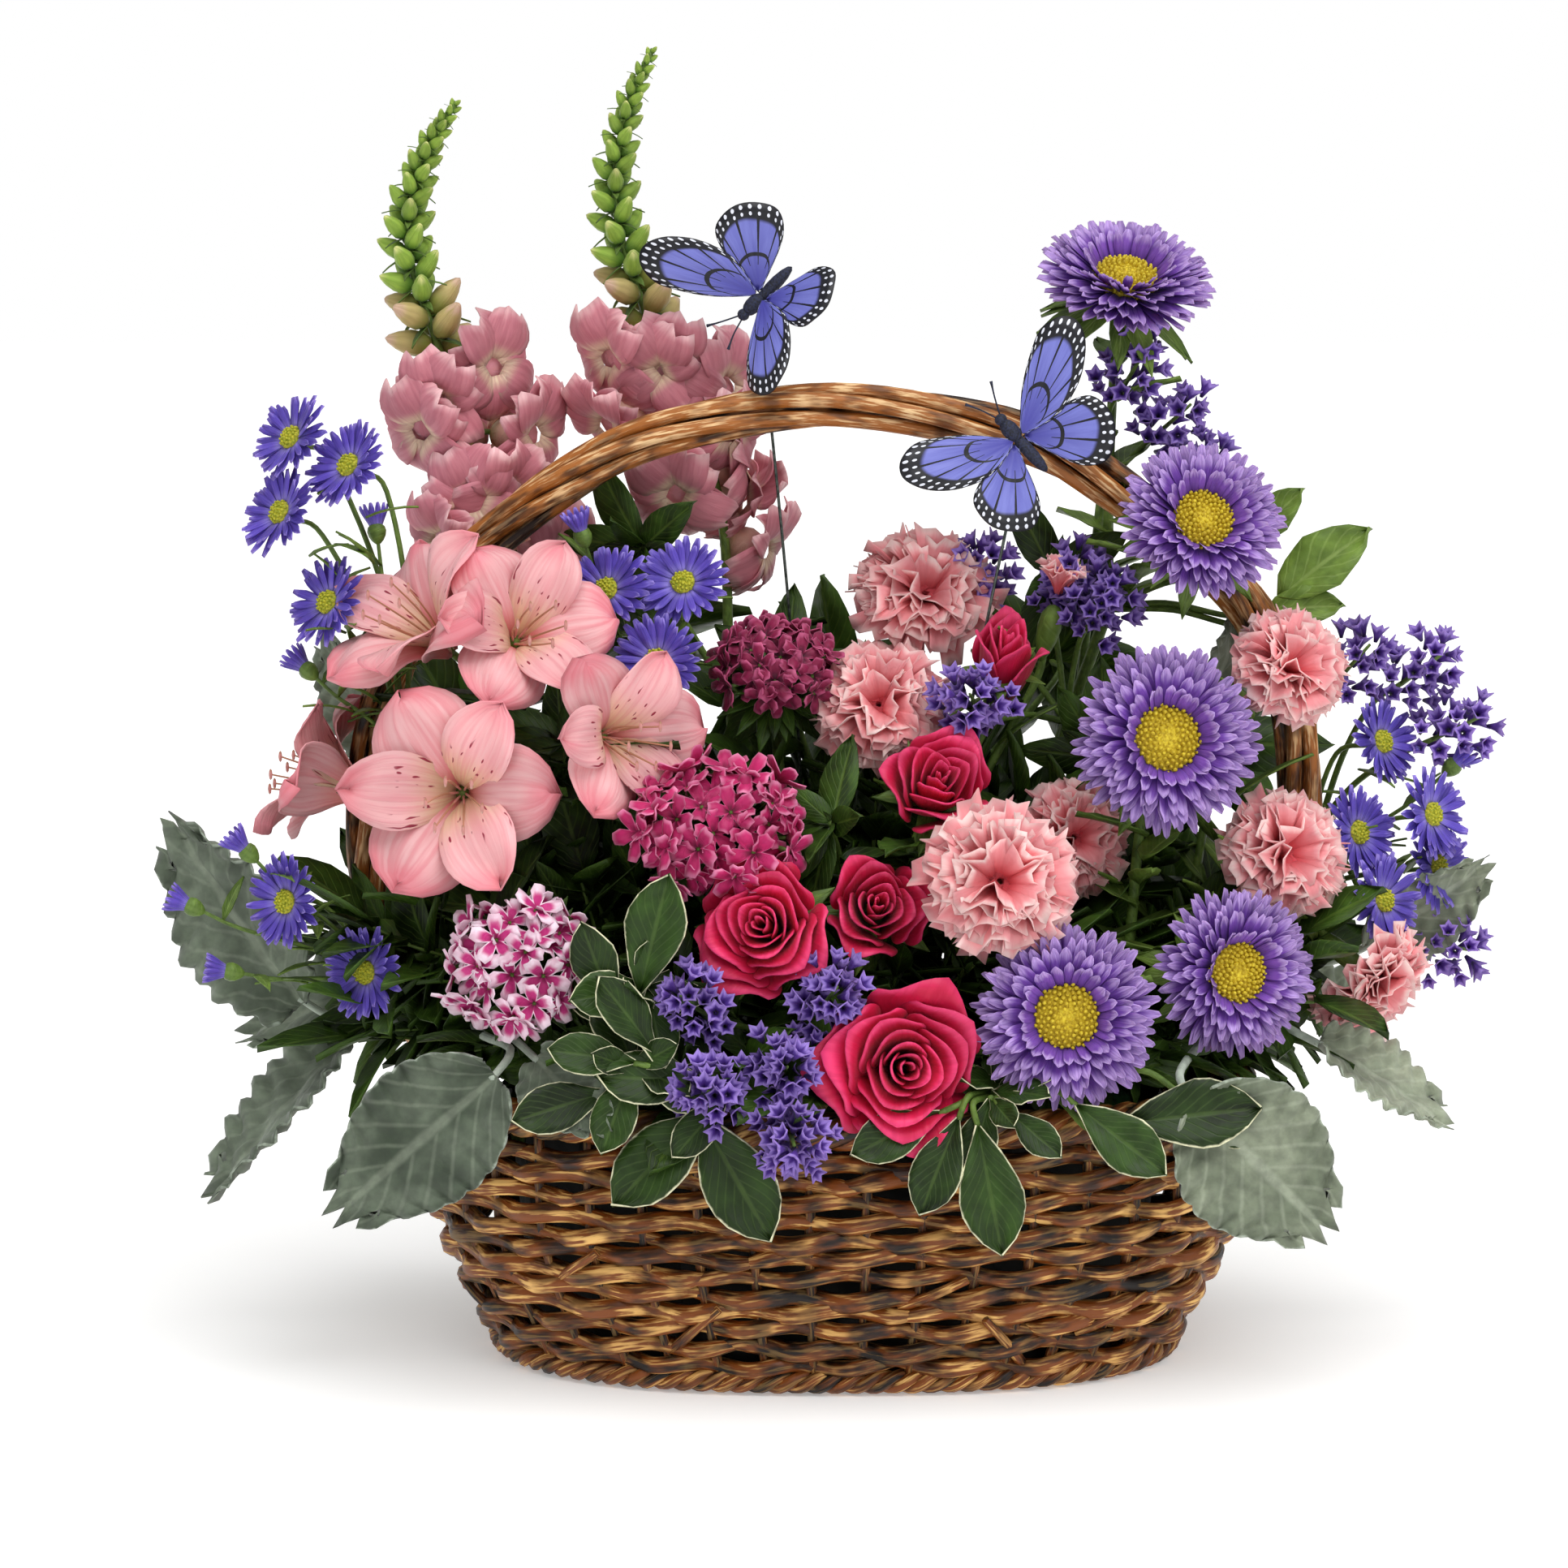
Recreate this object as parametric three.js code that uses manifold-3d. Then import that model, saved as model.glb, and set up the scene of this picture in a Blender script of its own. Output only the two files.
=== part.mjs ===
// Flower basket arrangement: an oblong willow basket with a twisted hoop handle, lined and
// filled with wet foam, in which a mixed bouquet and two butterfly picks stand.
// Millimetres, +Z up, the front of the arrangement faces -Y.
// The origin is the middle of the basket's underside.
import * as THREE from 'three';
import { mergeVertices } from 'three/addons/utils/BufferGeometryUtils.js';
import Module from 'manifold-3d';

const wasm = await Module();
wasm.setup();

// ---------------------------------------------------------------- driving dimensions
const GAP = 0.35;
const FREE_GAP = 0.6;
const MERGE_DISTANCE = 1e-3;
const SOLID_TOLERANCE = 0.01;
const SEAM_TOLERANCE = 0.3;

const FOOT_HALF_LENGTH = 109;
const RIM_HALF_LENGTH = 131;
const DEPTH_RATIO = 0.69;
const CORNER_EXPONENT = 2.6;
const WALL_HEIGHT = 80;
const WALL_THICKNESS = 4.5;
const BULGE_HEIGHT = 62;
const FOOT_ROUNDING = 4;
const WEAVE_ROWS = 8;
const STAKE_COLUMNS = 28;
const WEAVE_OUT = 1.5;
const WEAVE_IN = 1.0;
const WEAVE_GROOVE = 1.7;

const RIM_RADIUS = 6;
const RIM_SIDES = 5;
const RIM_STEPS = 32;
const RIM_TURNS = 4;

const FLOOR_THICKNESS = 5;

const HANDLE_RADIUS = 7.6;
const HANDLE_GROOVE_RADIUS = 5.6;
const HANDLE_LOBES = 4;
const HANDLE_STEPS = 26;
const HANDLE_TURNS = 3.5;
const HANDLE_LEG_RATIO = 0.6;
const HANDLE_LEG_SPAN = 0.16;

const LINER_HALF_LENGTH = 106;
const LINER_HALF_DEPTH = 76;
const LINER_TAPER = 8;
const LINER_TOP = 84;
const LINER_THICKNESS = 1;
const FOAM_TOP = 98;
const FOAM_SHOULDER = 80;
const FOAM_SEGMENTS = 16;

const LEAF_THICKNESS = 0.8;
const LEAF_FOLD = 0.12;
const LEAF_ARCH = 0.06;
const LOBED_ROWS = 6;
const STEM_SIDES = 4;
const TWIG_SIDES = 3;

// ---------------------------------------------------------------- colours
const PAINT = {
  willow: { color: '#7a4a20', roughness: 0.6 },
  willowDark: { color: '#5e3517', roughness: 0.65 },
  willowPale: { color: '#8c5a2a', roughness: 0.55 },
  liner: { color: '#2f3b2c', roughness: 0.45 },
  foam: { color: '#3c6b3a', roughness: 0.95 },
  aster: { color: '#7a58b4', roughness: 0.7 },
  asterDisc: { color: '#d8c020', roughness: 0.85 },
  rose: { color: '#d8235f', roughness: 0.6 },
  carnation: { color: '#f2b8b8', roughness: 0.7 },
  alstroemeria: { color: '#efa5a0', roughness: 0.6 },
  snapdragon: { color: '#d9858f', roughness: 0.65 },
  daisy: { color: '#6a5ec0', roughness: 0.7 },
  sweetWilliam: { color: '#c0307f', roughness: 0.7 },
  statice: { color: '#6a4cb0', roughness: 0.8 },
  stem: { color: '#4f7434', roughness: 0.6 },
  dustyMiller: { color: '#8a9c8c', roughness: 0.9 },
  pittosporum: { color: '#4b6130', roughness: 0.5 },
  greens: { color: '#3c5527', roughness: 0.55 },
  butterfly: { color: '#6f74c8', roughness: 0.6 },
};

// ---------------------------------------------------------------- small helpers
const TAU = Math.PI * 2;
const UP = new THREE.Vector3(0, 0, 1);

function vector(point) {
  return new THREE.Vector3(point[0], point[1], point[2]);
}

function makeRandom(seed) {
  let state = seed;
  return () => {
    state = (state + 0x6d2b79f5) | 0;
    let value = Math.imul(state ^ (state >>> 15), 1 | state);
    value = (value + Math.imul(value ^ (value >>> 7), 61 | value)) ^ value;
    return ((value ^ (value >>> 14)) >>> 0) / 4294967296;
  };
}

// A frame at a place whose local +Z looks along a direction, turned by roll about it.
function frameAt(place, direction, roll = 0) {
  const z = vector(direction).normalize();
  const reference = Math.abs(z.z) > 0.95 ? new THREE.Vector3(0, -1, 0) : UP;
  const x = new THREE.Vector3().crossVectors(reference, z).normalize();
  const y = new THREE.Vector3().crossVectors(z, x);
  const frame = new THREE.Matrix4().makeBasis(x, y, z);
  frame.multiply(new THREE.Matrix4().makeRotationZ(roll));
  return frame.setPosition(place[0], place[1], place[2]);
}

function meshOf(geometry) {
  const bare = geometry.clone();
  bare.deleteAttribute('normal');
  bare.deleteAttribute('uv');
  const merged = mergeVertices(bare, MERGE_DISTANCE);
  return { points: merged.attributes.position.array, faces: merged.index.array };
}

// A closed three.js geometry as a solid, with its faces turned out and slivers dropped.
function toSolid(geometry) {
  const { points, faces } = meshOf(geometry);
  const kept = [];
  for (let i = 0; i < faces.length; i += 3) {
    const [a, b, c] = [faces[i], faces[i + 1], faces[i + 2]];
    if (a !== b && b !== c && c !== a) kept.push(a, b, c);
  }
  const make = (triangles) => new wasm.Manifold(new wasm.Mesh({
    numProp: 3,
    vertProperties: new Float32Array(points),
    triVerts: new Uint32Array(triangles),
    tolerance: SOLID_TOLERANCE,
  }));
  const solid = make(kept);
  if (solid.volume() > 0) return solid;
  const turned = [];
  for (let i = 0; i < kept.length; i += 3) turned.push(kept[i], kept[i + 2], kept[i + 1]);
  return make(turned);
}

function toGeometry(solid) {
  const mesh = solid.getMesh();
  const geometry = new THREE.BufferGeometry();
  geometry.setAttribute('position', new THREE.Float32BufferAttribute(mesh.vertProperties, 3));
  geometry.setIndex([...mesh.triVerts]);
  return geometry;
}

function largest(solid) {
  return solid.decompose().sort((a, b) => b.volume() - a.volume())[0];
}

// One body from several that touch: loose scraps are dropped, sealed hollows are filled and
// the slivers along the seams are merged away.
function fuse(solids, tolerance = SEAM_TOLERANCE) {
  const joined = largest(wasm.Manifold.union(solids).simplify(tolerance));
  return largest(toSolid(toGeometry(joined)));
}

function solidAt(frame, geometry) {
  return toSolid(geometry.clone().applyMatrix4(frame));
}

// ---------------------------------------------------------------- clearance between nodes
const placed = [];

function boxesTouch(a, b, margin) {
  for (let axis = 0; axis < 3; axis += 1) {
    if (a.min[axis] > b.max[axis] + margin) return false;
    if (b.min[axis] > a.max[axis] + margin) return false;
  }
  return true;
}

// siblings are the blooms and florets of the same node that a new one must not cross either.
function isClear(solid, siblings = []) {
  const box = solid.boundingBox();
  const others = siblings.map((sibling) => ({ solid: sibling, box: sibling.boundingBox() }));
  return [...placed, ...others].every((other) => !boxesTouch(box, other.box, FREE_GAP)
    || solid.minGap(other.solid, FREE_GAP) >= FREE_GAP);
}

function place(name, solid, paint) {
  placed.push({ name, solid, box: solid.boundingBox(), paint });
  return solid;
}

// ---------------------------------------------------------------- closed blades and petals
// Gives a triangulated surface a thickness. Both faces use the same triangles, and the
// points in sharp have none, so the blade runs out to an edge there.
function thicken(points, faces, thickness, sharp = new Set()) {
  const normals = points.map(() => new THREE.Vector3());
  for (const [a, b, c] of faces) {
    const ab = points[b].clone().sub(points[a]);
    const ac = points[c].clone().sub(points[a]);
    const normal = ab.cross(ac);
    for (const corner of [a, b, c]) normals[corner].add(normal);
  }
  const positions = [];
  const upper = [];
  const lower = [];
  const add = (point) => positions.push(point.x, point.y, point.z) / 3 - 1;
  points.forEach((point, i) => {
    const offset = normals[i].normalize().multiplyScalar(sharp.has(i) ? 0 : thickness / 2);
    upper[i] = add(point.clone().add(offset));
    lower[i] = sharp.has(i) ? upper[i] : add(point.clone().sub(offset));
  });
  const index = [];
  const edges = new Set(faces.flatMap(([a, b, c]) => [`${a} ${b}`, `${b} ${c}`, `${c} ${a}`]));
  for (const [a, b, c] of faces) {
    index.push(upper[a], upper[b], upper[c], lower[a], lower[c], lower[b]);
  }
  for (const edge of edges) {
    const [a, b] = edge.split(' ').map(Number);
    if (edges.has(`${b} ${a}`)) continue;
    if (!sharp.has(a)) index.push(upper[b], upper[a], lower[a]);
    if (!sharp.has(b)) index.push(upper[b], lower[a], lower[b]);
  }
  const geometry = new THREE.BufferGeometry();
  geometry.setAttribute('position', new THREE.Float32BufferAttribute(positions, 3));
  geometry.setIndex(index);
  return geometry;
}

// Ways to bend or shorten a petal or leaf until it clears its neighbours.
const BENDS = [[1, 0], [1, 0.25], [1, -0.25], [0.92, 0.45], [0.9, -0.45], [0.75, 0.1],
  [0.7, 0.6], [0.7, -0.6], [0.5, 0.2], [0.5, -0.4], [0.34, 0.1], [0.15, 0]];

// Where a petal's tip [distance from the axis, height] can go without touching a neighbour.
function clearTip(frame, angle, inner, tip, halfWidth, siblings) {
  for (const [share, lift] of BENDS) {
    const reach = (tip[0] - inner[0]) * share;
    const end = [inner[0] + reach, tip[1] + lift * reach];
    const probe = new THREE.OctahedronGeometry(1);
    const slope = Math.atan2(end[1] - inner[1], reach);
    probe.scale(Math.hypot(reach, end[1] - inner[1]) / 2 + 0.5, halfWidth, 1);
    probe.rotateY(-slope);
    probe.translate((inner[0] + end[0]) / 2, 0, (inner[1] + end[1]) / 2);
    probe.rotateZ(angle);
    if (isClear(solidAt(frame, probe), siblings)) return end;
  }
  return [inner[0] + 1, inner[1]];
}

// A scalloped blade three points wide along local +Z, its upper face to local +Y.
// The fold lifts the edges and the arch drops the tip.
function lobedBlade(length, half) {
  const points = [];
  const faces = [];
  let previous = null;
  for (let row = 0; row <= LOBED_ROWS; row += 1) {
    const along = row / LOBED_ROWS;
    const drop = -LEAF_ARCH * along * along * length;
    const middle = points.push(new THREE.Vector3(0, drop, along * length)) - 1;
    let current = [middle];
    if (row > 0 && row < LOBED_ROWS) {
      const out = lobedOutline(half, row);
      const rise = drop + LEAF_FOLD * out;
      const left = points.push(new THREE.Vector3(-out, rise, along * length)) - 1;
      const right = points.push(new THREE.Vector3(out, rise, along * length)) - 1;
      current = [left, middle, right];
    }
    if (previous && previous.length === 1) {
      faces.push([previous[0], current[0], current[1]], [previous[0], current[1], current[2]]);
    } else if (previous && current.length === 1) {
      faces.push([previous[0], current[0], previous[1]], [previous[1], current[0], previous[2]]);
    } else if (previous) {
      for (const side of [0, 1]) {
        faces.push([previous[side], current[side], current[side + 1]]);
        faces.push([previous[side], current[side + 1], previous[side + 1]]);
      }
    }
    previous = current;
  }
  return thicken(points, faces, LEAF_THICKNESS, new Set([points.length - 1]));
}

function lobedOutline(half, row) {
  const body = Math.sin(Math.PI * Math.min(0.93, 0.14 + (0.8 * row) / LOBED_ROWS)) ** 0.6;
  return half * body * (row % 2 ? 1 : 0.5);
}

// ---------------------------------------------------------------- stems
function tube(points, radius, steps, sides = STEM_SIDES) {
  const path = new THREE.CatmullRomCurve3(points.map(vector), false, 'centripetal');
  const section = new THREE.Shape();
  for (let i = 0; i < sides; i += 1) {
    const angle = (i / sides) * TAU;
    const corner = [radius * Math.cos(angle), radius * Math.sin(angle)];
    if (i === 0) section.moveTo(...corner);
    else section.lineTo(...corner);
  }
  return new THREE.ExtrudeGeometry(section, { steps, extrudePath: path, bevelEnabled: false });
}

// A stem in straight steps, and the places along its middle as it is built.
function makeStem(points, radius, steps, sides = STEM_SIDES) {
  const curve = new THREE.CatmullRomCurve3(points.map(vector), false, 'centripetal');
  const pointAt = (share) => {
    const step = Math.min(Math.floor(share * steps), steps - 1);
    const from = curve.getPointAt(step / steps);
    return from.lerp(curve.getPointAt((step + 1) / steps), share * steps - step);
  };
  return { solid: toSolid(tube(points, radius, steps, sides)), pointAt };
}

// Every stem that stands in the foam leaves a plain hole there.
const foamHoles = [];
const FOOT_BOTTOM = 45;
const FOOT_TOP = FOAM_TOP + 6;
const STEM_START = FOAM_TOP + 4;

function stemFoot([x, y], radius) {
  const top = [x, y, FOOT_TOP];
  foamHoles.push(toSolid(tube([[x, y, FOOT_BOTTOM - GAP], top], radius + GAP * 1.3, 1)));
  return toSolid(tube([[x, y, FOOT_BOTTOM], top], radius, 1));
}

const DETOUR = 4;
const DETOUR_RINGS = 9;
const DETOUR_STEPS = 12;

// The first of a fan of detours between two points that clears everything placed so far.
// A twig goes straight where it can.
function route(start, end, lastDirection, radius, steps = 3, sides = TWIG_SIDES, siblings = []) {
  const a = vector(start);
  const b = vector(end);
  const back = vector(lastDirection).normalize().multiplyScalar(-Math.min(14, a.distanceTo(b) / 3));
  const approach = b.clone().add(back);
  const middle = a.clone().lerp(approach, 0.5);
  const side = new THREE.Vector3().crossVectors(b.clone().sub(a), UP);
  if (side.lengthSq() < 1) side.set(1, 0, 0);
  side.normalize();
  const other = new THREE.Vector3().crossVectors(side, b.clone().sub(a)).normalize();
  const straight = makeStem([a.toArray(), b.toArray()], radius, 1, sides);
  if (sides === TWIG_SIDES && isClear(straight.solid, siblings)) return straight;
  let first = null;
  for (let ring = 0; ring <= DETOUR_RINGS; ring += 1) {
    for (let step = 0; step < (ring ? DETOUR_STEPS : 1); step += 1) {
      const angle = (step / DETOUR_STEPS) * TAU;
      const offset = side.clone().multiplyScalar(Math.cos(angle) * ring * DETOUR);
      offset.addScaledVector(other, Math.sin(angle) * ring * DETOUR);
      const via = middle.clone().add(offset).toArray();
      const path = [a.toArray(), via, approach.toArray(), b.toArray()];
      const stem = makeStem(path, radius, steps, sides);
      first = first ?? stem;
      if (isClear(stem.solid, siblings)) return stem;
    }
  }
  return first;
}

// ---------------------------------------------------------------- basket
function outlinePoint(halfLength, halfDepth, angle) {
  const power = 2 / CORNER_EXPONENT;
  const c = Math.cos(angle);
  const s = Math.sin(angle);
  return [
    halfLength * Math.sign(c) * Math.abs(c) ** power,
    halfDepth * Math.sign(s) * Math.abs(s) ** power,
  ];
}

function wallHalfLength(height) {
  const rise = Math.sin((Math.min(height / BULGE_HEIGHT, 1) * Math.PI) / 2) ** 1.25;
  const foot = 1 - Math.min(height / FOOT_ROUNDING, 1);
  return FOOT_HALF_LENGTH + (RIM_HALF_LENGTH - FOOT_HALF_LENGTH) * rise - 5 * foot;
}

// A lathe whose vertices are moved by formula, ring by ring and column by column.
function shapedLathe(profile, columns, shape) {
  const points = profile.map(([radius, height]) => new THREE.Vector2(radius, height));
  const geometry = new THREE.LatheGeometry(points, columns);
  const position = geometry.attributes.position;
  for (let column = 0; column <= columns; column += 1) {
    for (let ring = 0; ring < profile.length; ring += 1) {
      const [radius, height] = profile[ring];
      const angle = ((column % columns) / columns) * TAU;
      const [x, y, z] = shape(ring, column % columns, radius, height, angle);
      position.setXYZ(column * profile.length + ring, x, y, z);
    }
  }
  return geometry;
}

function basketWall() {
  const pitch = WALL_HEIGHT / WEAVE_ROWS;
  const profile = [];
  for (let ring = 0; ring <= WEAVE_ROWS * 2; ring += 1) profile.push([1, (ring * pitch) / 2]);
  const outerRings = profile.length;
  for (const height of [WALL_HEIGHT, WALL_HEIGHT / 2, 0]) profile.push([0.9, height]);
  profile.push(profile[0]);
  return shapedLathe(profile, STAKE_COLUMNS, (ring, column, radius, height, angle) => {
    const outer = ring < outerRings || ring === profile.length - 1;
    let relief = -WALL_THICKNESS;
    if (outer && ring % 2 === 0) relief = -WEAVE_GROOVE;
    if (outer && (ring === 0 || ring === profile.length - 1)) relief = -WEAVE_GROOVE;
    if (outer && ring % 2 === 1 && ring < outerRings) {
      const over = (column + (ring - 1) / 2) % 2 === 0;
      relief = over ? WEAVE_OUT : -WEAVE_IN;
    }
    const half = wallHalfLength(height) + relief;
    const depth = wallHalfLength(height) * DEPTH_RATIO + relief;
    return [...outlinePoint(half, depth, angle), height];
  });
}

function basketRim() {
  const geometry = new THREE.TorusGeometry(1, 0.5, RIM_SIDES, RIM_STEPS);
  const position = geometry.attributes.position;
  const halfLength = RIM_HALF_LENGTH - 2;
  const halfDepth = RIM_HALF_LENGTH * DEPTH_RATIO - 2;
  for (let side = 0; side <= RIM_SIDES; side += 1) {
    for (let step = 0; step <= RIM_STEPS; step += 1) {
      const along = ((step % RIM_STEPS) / RIM_STEPS) * TAU;
      const around = (side / RIM_SIDES) * TAU + along * RIM_TURNS;
      const radius = RIM_RADIUS * (step % 2 ? 1 : 0.9);
      const out = radius * Math.cos(around);
      const [x, y] = outlinePoint(halfLength + out, halfDepth + out, along);
      const z = WALL_HEIGHT + GAP + RIM_RADIUS + radius * Math.sin(around);
      position.setXYZ(side * (RIM_STEPS + 1) + step, x, y, z);
    }
  }
  return geometry;
}

function outlineShape(halfLength, halfDepth, segments) {
  const corners = [];
  for (let i = 0; i < segments; i += 1) {
    corners.push(new THREE.Vector2(...outlinePoint(halfLength, halfDepth, (i / segments) * TAU)));
  }
  return new THREE.Shape(corners);
}

function basketFloor() {
  const half = wallHalfLength(0) - WALL_THICKNESS - GAP;
  const depth = wallHalfLength(0) * DEPTH_RATIO - WALL_THICKNESS - GAP;
  const shape = outlineShape(half, depth, STAKE_COLUMNS);
  return new THREE.ExtrudeGeometry(shape, { depth: FLOOR_THICKNESS, bevelEnabled: false });
}

const HANDLE_SIDE = [[114.6, 42], [117.5, 68], [121.8, 86], [132, 101], [142, 118], [148, 140],
  [149, 165], [146, 203], [133, 236], [112, 257], [88, 276], [52, 294]];

function handleCurve() {
  const right = HANDLE_SIDE.map(([x, z]) => new THREE.Vector3(x, 0, z));
  const left = [...right].reverse().map((point) => new THREE.Vector3(-point.x, 0, point.z));
  return new THREE.CatmullRomCurve3([...right, new THREE.Vector3(0, 0, 302), ...left]);
}

function legTaper(along) {
  const fromEnd = Math.min(along, 1 - along) / HANDLE_LEG_SPAN;
  const rise = THREE.MathUtils.smoothstep(fromEnd, 0.45, 1);
  return HANDLE_LEG_RATIO + (1 - HANDLE_LEG_RATIO) * rise;
}

// The four rods of the handle, twisted round each other and fused into one fluted rope.
function basketHandle(extra = 0, plain = false) {
  const columns = HANDLE_LOBES * 2;
  const geometry = new THREE.CylinderGeometry(1, 1, 1, columns, HANDLE_STEPS);
  const position = geometry.attributes.position;
  const curve = handleCurve();
  for (let i = 0; i < position.count; i += 1) {
    const along = position.getY(i) + 0.5;
    const size = Math.hypot(position.getX(i), position.getZ(i));
    const angle = Math.atan2(position.getZ(i), position.getX(i));
    const column = Math.round((angle / TAU) * columns);
    const lobe = column % 2 === 0 || plain ? HANDLE_RADIUS : HANDLE_GROOVE_RADIUS;
    const radius = size < 0.5 ? 0 : lobe * legTaper(along) + extra;
    const turned = angle + along * HANDLE_TURNS * TAU;
    const centre = curve.getPointAt(along);
    const tangent = curve.getTangentAt(along);
    const normal = new THREE.Vector3(tangent.z, 0, -tangent.x);
    centre.addScaledVector(normal, radius * Math.cos(turned));
    centre.y += radius * Math.sin(turned);
    position.setXYZ(i, centre.x, centre.y, centre.z);
  }
  return geometry;
}

function linerOutline(inset, share, height, angle) {
  const taper = LINER_TAPER * (1 - height / LINER_TOP);
  const halfLength = LINER_HALF_LENGTH - taper - inset;
  const halfDepth = LINER_HALF_DEPTH - taper - inset;
  return [...outlinePoint(halfLength * share, halfDepth * share, angle), height];
}

function linerShell() {
  const bottom = FLOOR_THICKNESS + GAP;
  const profile = [[0, bottom], [1, bottom], [1, LINER_TOP], [0.9, LINER_TOP],
    [0.9, bottom + LINER_THICKNESS], [0, bottom + LINER_THICKNESS]];
  return shapedLathe(profile, FOAM_SEGMENTS, (ring, column, radius, height, angle) => {
    if (radius === 0) return [0, 0, height];
    return linerOutline(radius === 1 ? 0 : LINER_THICKNESS, 1, height, angle);
  });
}

function foamBlock() {
  const bottom = FLOOR_THICKNESS + LINER_THICKNESS + GAP * 2;
  const profile = [[0, bottom], [1, bottom], [1, FOAM_SHOULDER], [0.9, FOAM_TOP - 9],
    [0.6, FOAM_TOP - 2], [0, FOAM_TOP]];
  return shapedLathe(profile, FOAM_SEGMENTS, (ring, column, radius, height, angle) => {
    if (radius === 0) return [0, 0, height];
    return linerOutline(LINER_THICKNESS + GAP * 2, radius, height, angle);
  });
}

// ---------------------------------------------------------------- ruffled and cupped blooms
// The skin of a bloom in tiers of petals. Rings marked as an edge are pleated or lobed.
function tieredBloom(profile, columns, radius, edgeShape) {
  const rings = profile.map(([r, z]) => [r * radius, z * radius]);
  return shapedLathe(rings, columns, (ring, column, r, z, angle) => {
    const [stretch, lift] = profile[ring][2] ? edgeShape(ring, column, angle) : [1, 0];
    const reach = r * stretch;
    return [reach * Math.cos(angle), reach * Math.sin(angle), z + lift * radius];
  });
}

const CARNATION_PROFILE = [[0, -0.6], [0.22, -0.58], [0.5, -0.25], [1, 0, true], [0.64, 0.1],
  [0.86, 0.42, true], [0.42, 0.38], [0.5, 0.74, true], [0, 0.5]];
const CARNATION_COLUMNS = 10;

function carnationBloom(radius, seed) {
  const random = makeRandom(seed);
  const noise = Array.from({ length: 200 }, () => random() - 0.5);
  return tieredBloom(CARNATION_PROFILE, CARNATION_COLUMNS, radius, (ring, column) => {
    const pleat = (column + ring) % 2;
    const jitter = noise[(ring * CARNATION_COLUMNS + column) % noise.length];
    return [pleat ? 0.86 + jitter * 0.08 : 1 + jitter * 0.1, pleat ? 0.1 : -0.05];
  });
}

const ROSE_PROFILE = [[0, -0.6], [0.3, -0.55], [0.74, -0.18], [1, 0.18, true], [0.74, 0.18],
  [0.8, 0.56, true], [0.5, 0.46], [0.46, 0.8, true], [0, 0.5]];
const ROSE_PETALS = 5;

function roseBloom(radius, seed) {
  const random = makeRandom(seed);
  const noise = Array.from({ length: 100 }, () => random());
  return tieredBloom(ROSE_PROFILE, ROSE_PETALS * 2, radius, (ring, column) => {
    const isTip = (column + (ring % 4 === 3 ? 0 : 1)) % 2 === 0;
    const share = noise[ring * ROSE_PETALS + Math.floor(column / 2)];
    return [isTip ? 1.02 + 0.06 * share : 0.9, isTip ? 0.05 + 0.05 * share : -0.05];
  });
}

// ---------------------------------------------------------------- the bouquet's places
const ASTERS = [
  { place: [92, 18, 338], facing: [0.1, -0.5, 0.86], radius: 29 },
  { place: [113, -26, 266], facing: [0.2, -0.86, 0.46], radius: 27 },
  { place: [101, -48, 201], facing: [0.12, -0.95, 0.25], radius: 30 },
  { place: [69, -84, 121], facing: [0, -0.97, 0.2], radius: 29 },
  { place: [121, -62, 131], facing: [0.4, -0.9, 0.12], radius: 27 },
];

const ROSES = [
  { place: [20, -97, 108], facing: [0.1, -0.95, 0.15], radius: 24 },
  { place: [-23, -82, 149], facing: [-0.2, -0.95, 0.3], radius: 20 },
  { place: [12, -66, 152], facing: [0.1, -0.9, 0.4], radius: 16.5 },
  { place: [31, -50, 188], facing: [0.15, -0.8, 0.6], radius: 18 },
  { place: [53, -26, 225], facing: [0.15, -0.5, 0.85], radius: 12 },
];

const CARNATIONS = [
  { place: [29, 2, 245], facing: [0.1, -0.7, 0.7], radius: 21.5 },
  { place: [13, -22, 211], facing: [-0.05, -0.85, 0.5], radius: 19.5 },
  { place: [50, -84, 164], facing: [0.15, -0.9, 0.35], radius: 22 },
  { place: [76, -24, 168], facing: [0.2, -0.9, 0.3], radius: 17 },
  { place: [143, -34, 224], facing: [0.4, -0.75, 0.5], radius: 18 },
  { place: [142, -38, 165], facing: [0.35, -0.85, 0.3], radius: 19.5 },
  { place: [172, -32, 120], facing: [0.65, -0.5, -0.55], radius: 19 },
];

const ALSTROEMERIAS = [
  { place: [-132, -30, 238], facing: [-0.55, -0.5, 0.65], radius: 31 },
  { place: [-97, -40, 236], facing: [0.25, -0.85, 0.45], radius: 29 },
  { place: [-66, -56, 204], facing: [0.5, -0.8, 0.15], radius: 28 },
  { place: [-118, -62, 187], facing: [-0.1, -0.96, 0.15], radius: 33 },
  { place: [-164, -12, 186], facing: [-0.8, 0.15, 0.35], radius: 27 },
];

const SWEET_WILLIAMS = [
  { place: [-19, -15, 220], facing: [0, -0.55, 0.83], radius: 21, florets: 10, foot: [-14, 4] },
  { place: [-37, -64, 176], facing: [0, -0.85, 0.5], radius: 25, florets: 12, foot: [-34, -26] },
  { place: [-97, -78, 136], facing: [-0.15, -0.9, 0.4], radius: 25, florets: 12, foot: [-70, -36] },
];

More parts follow.
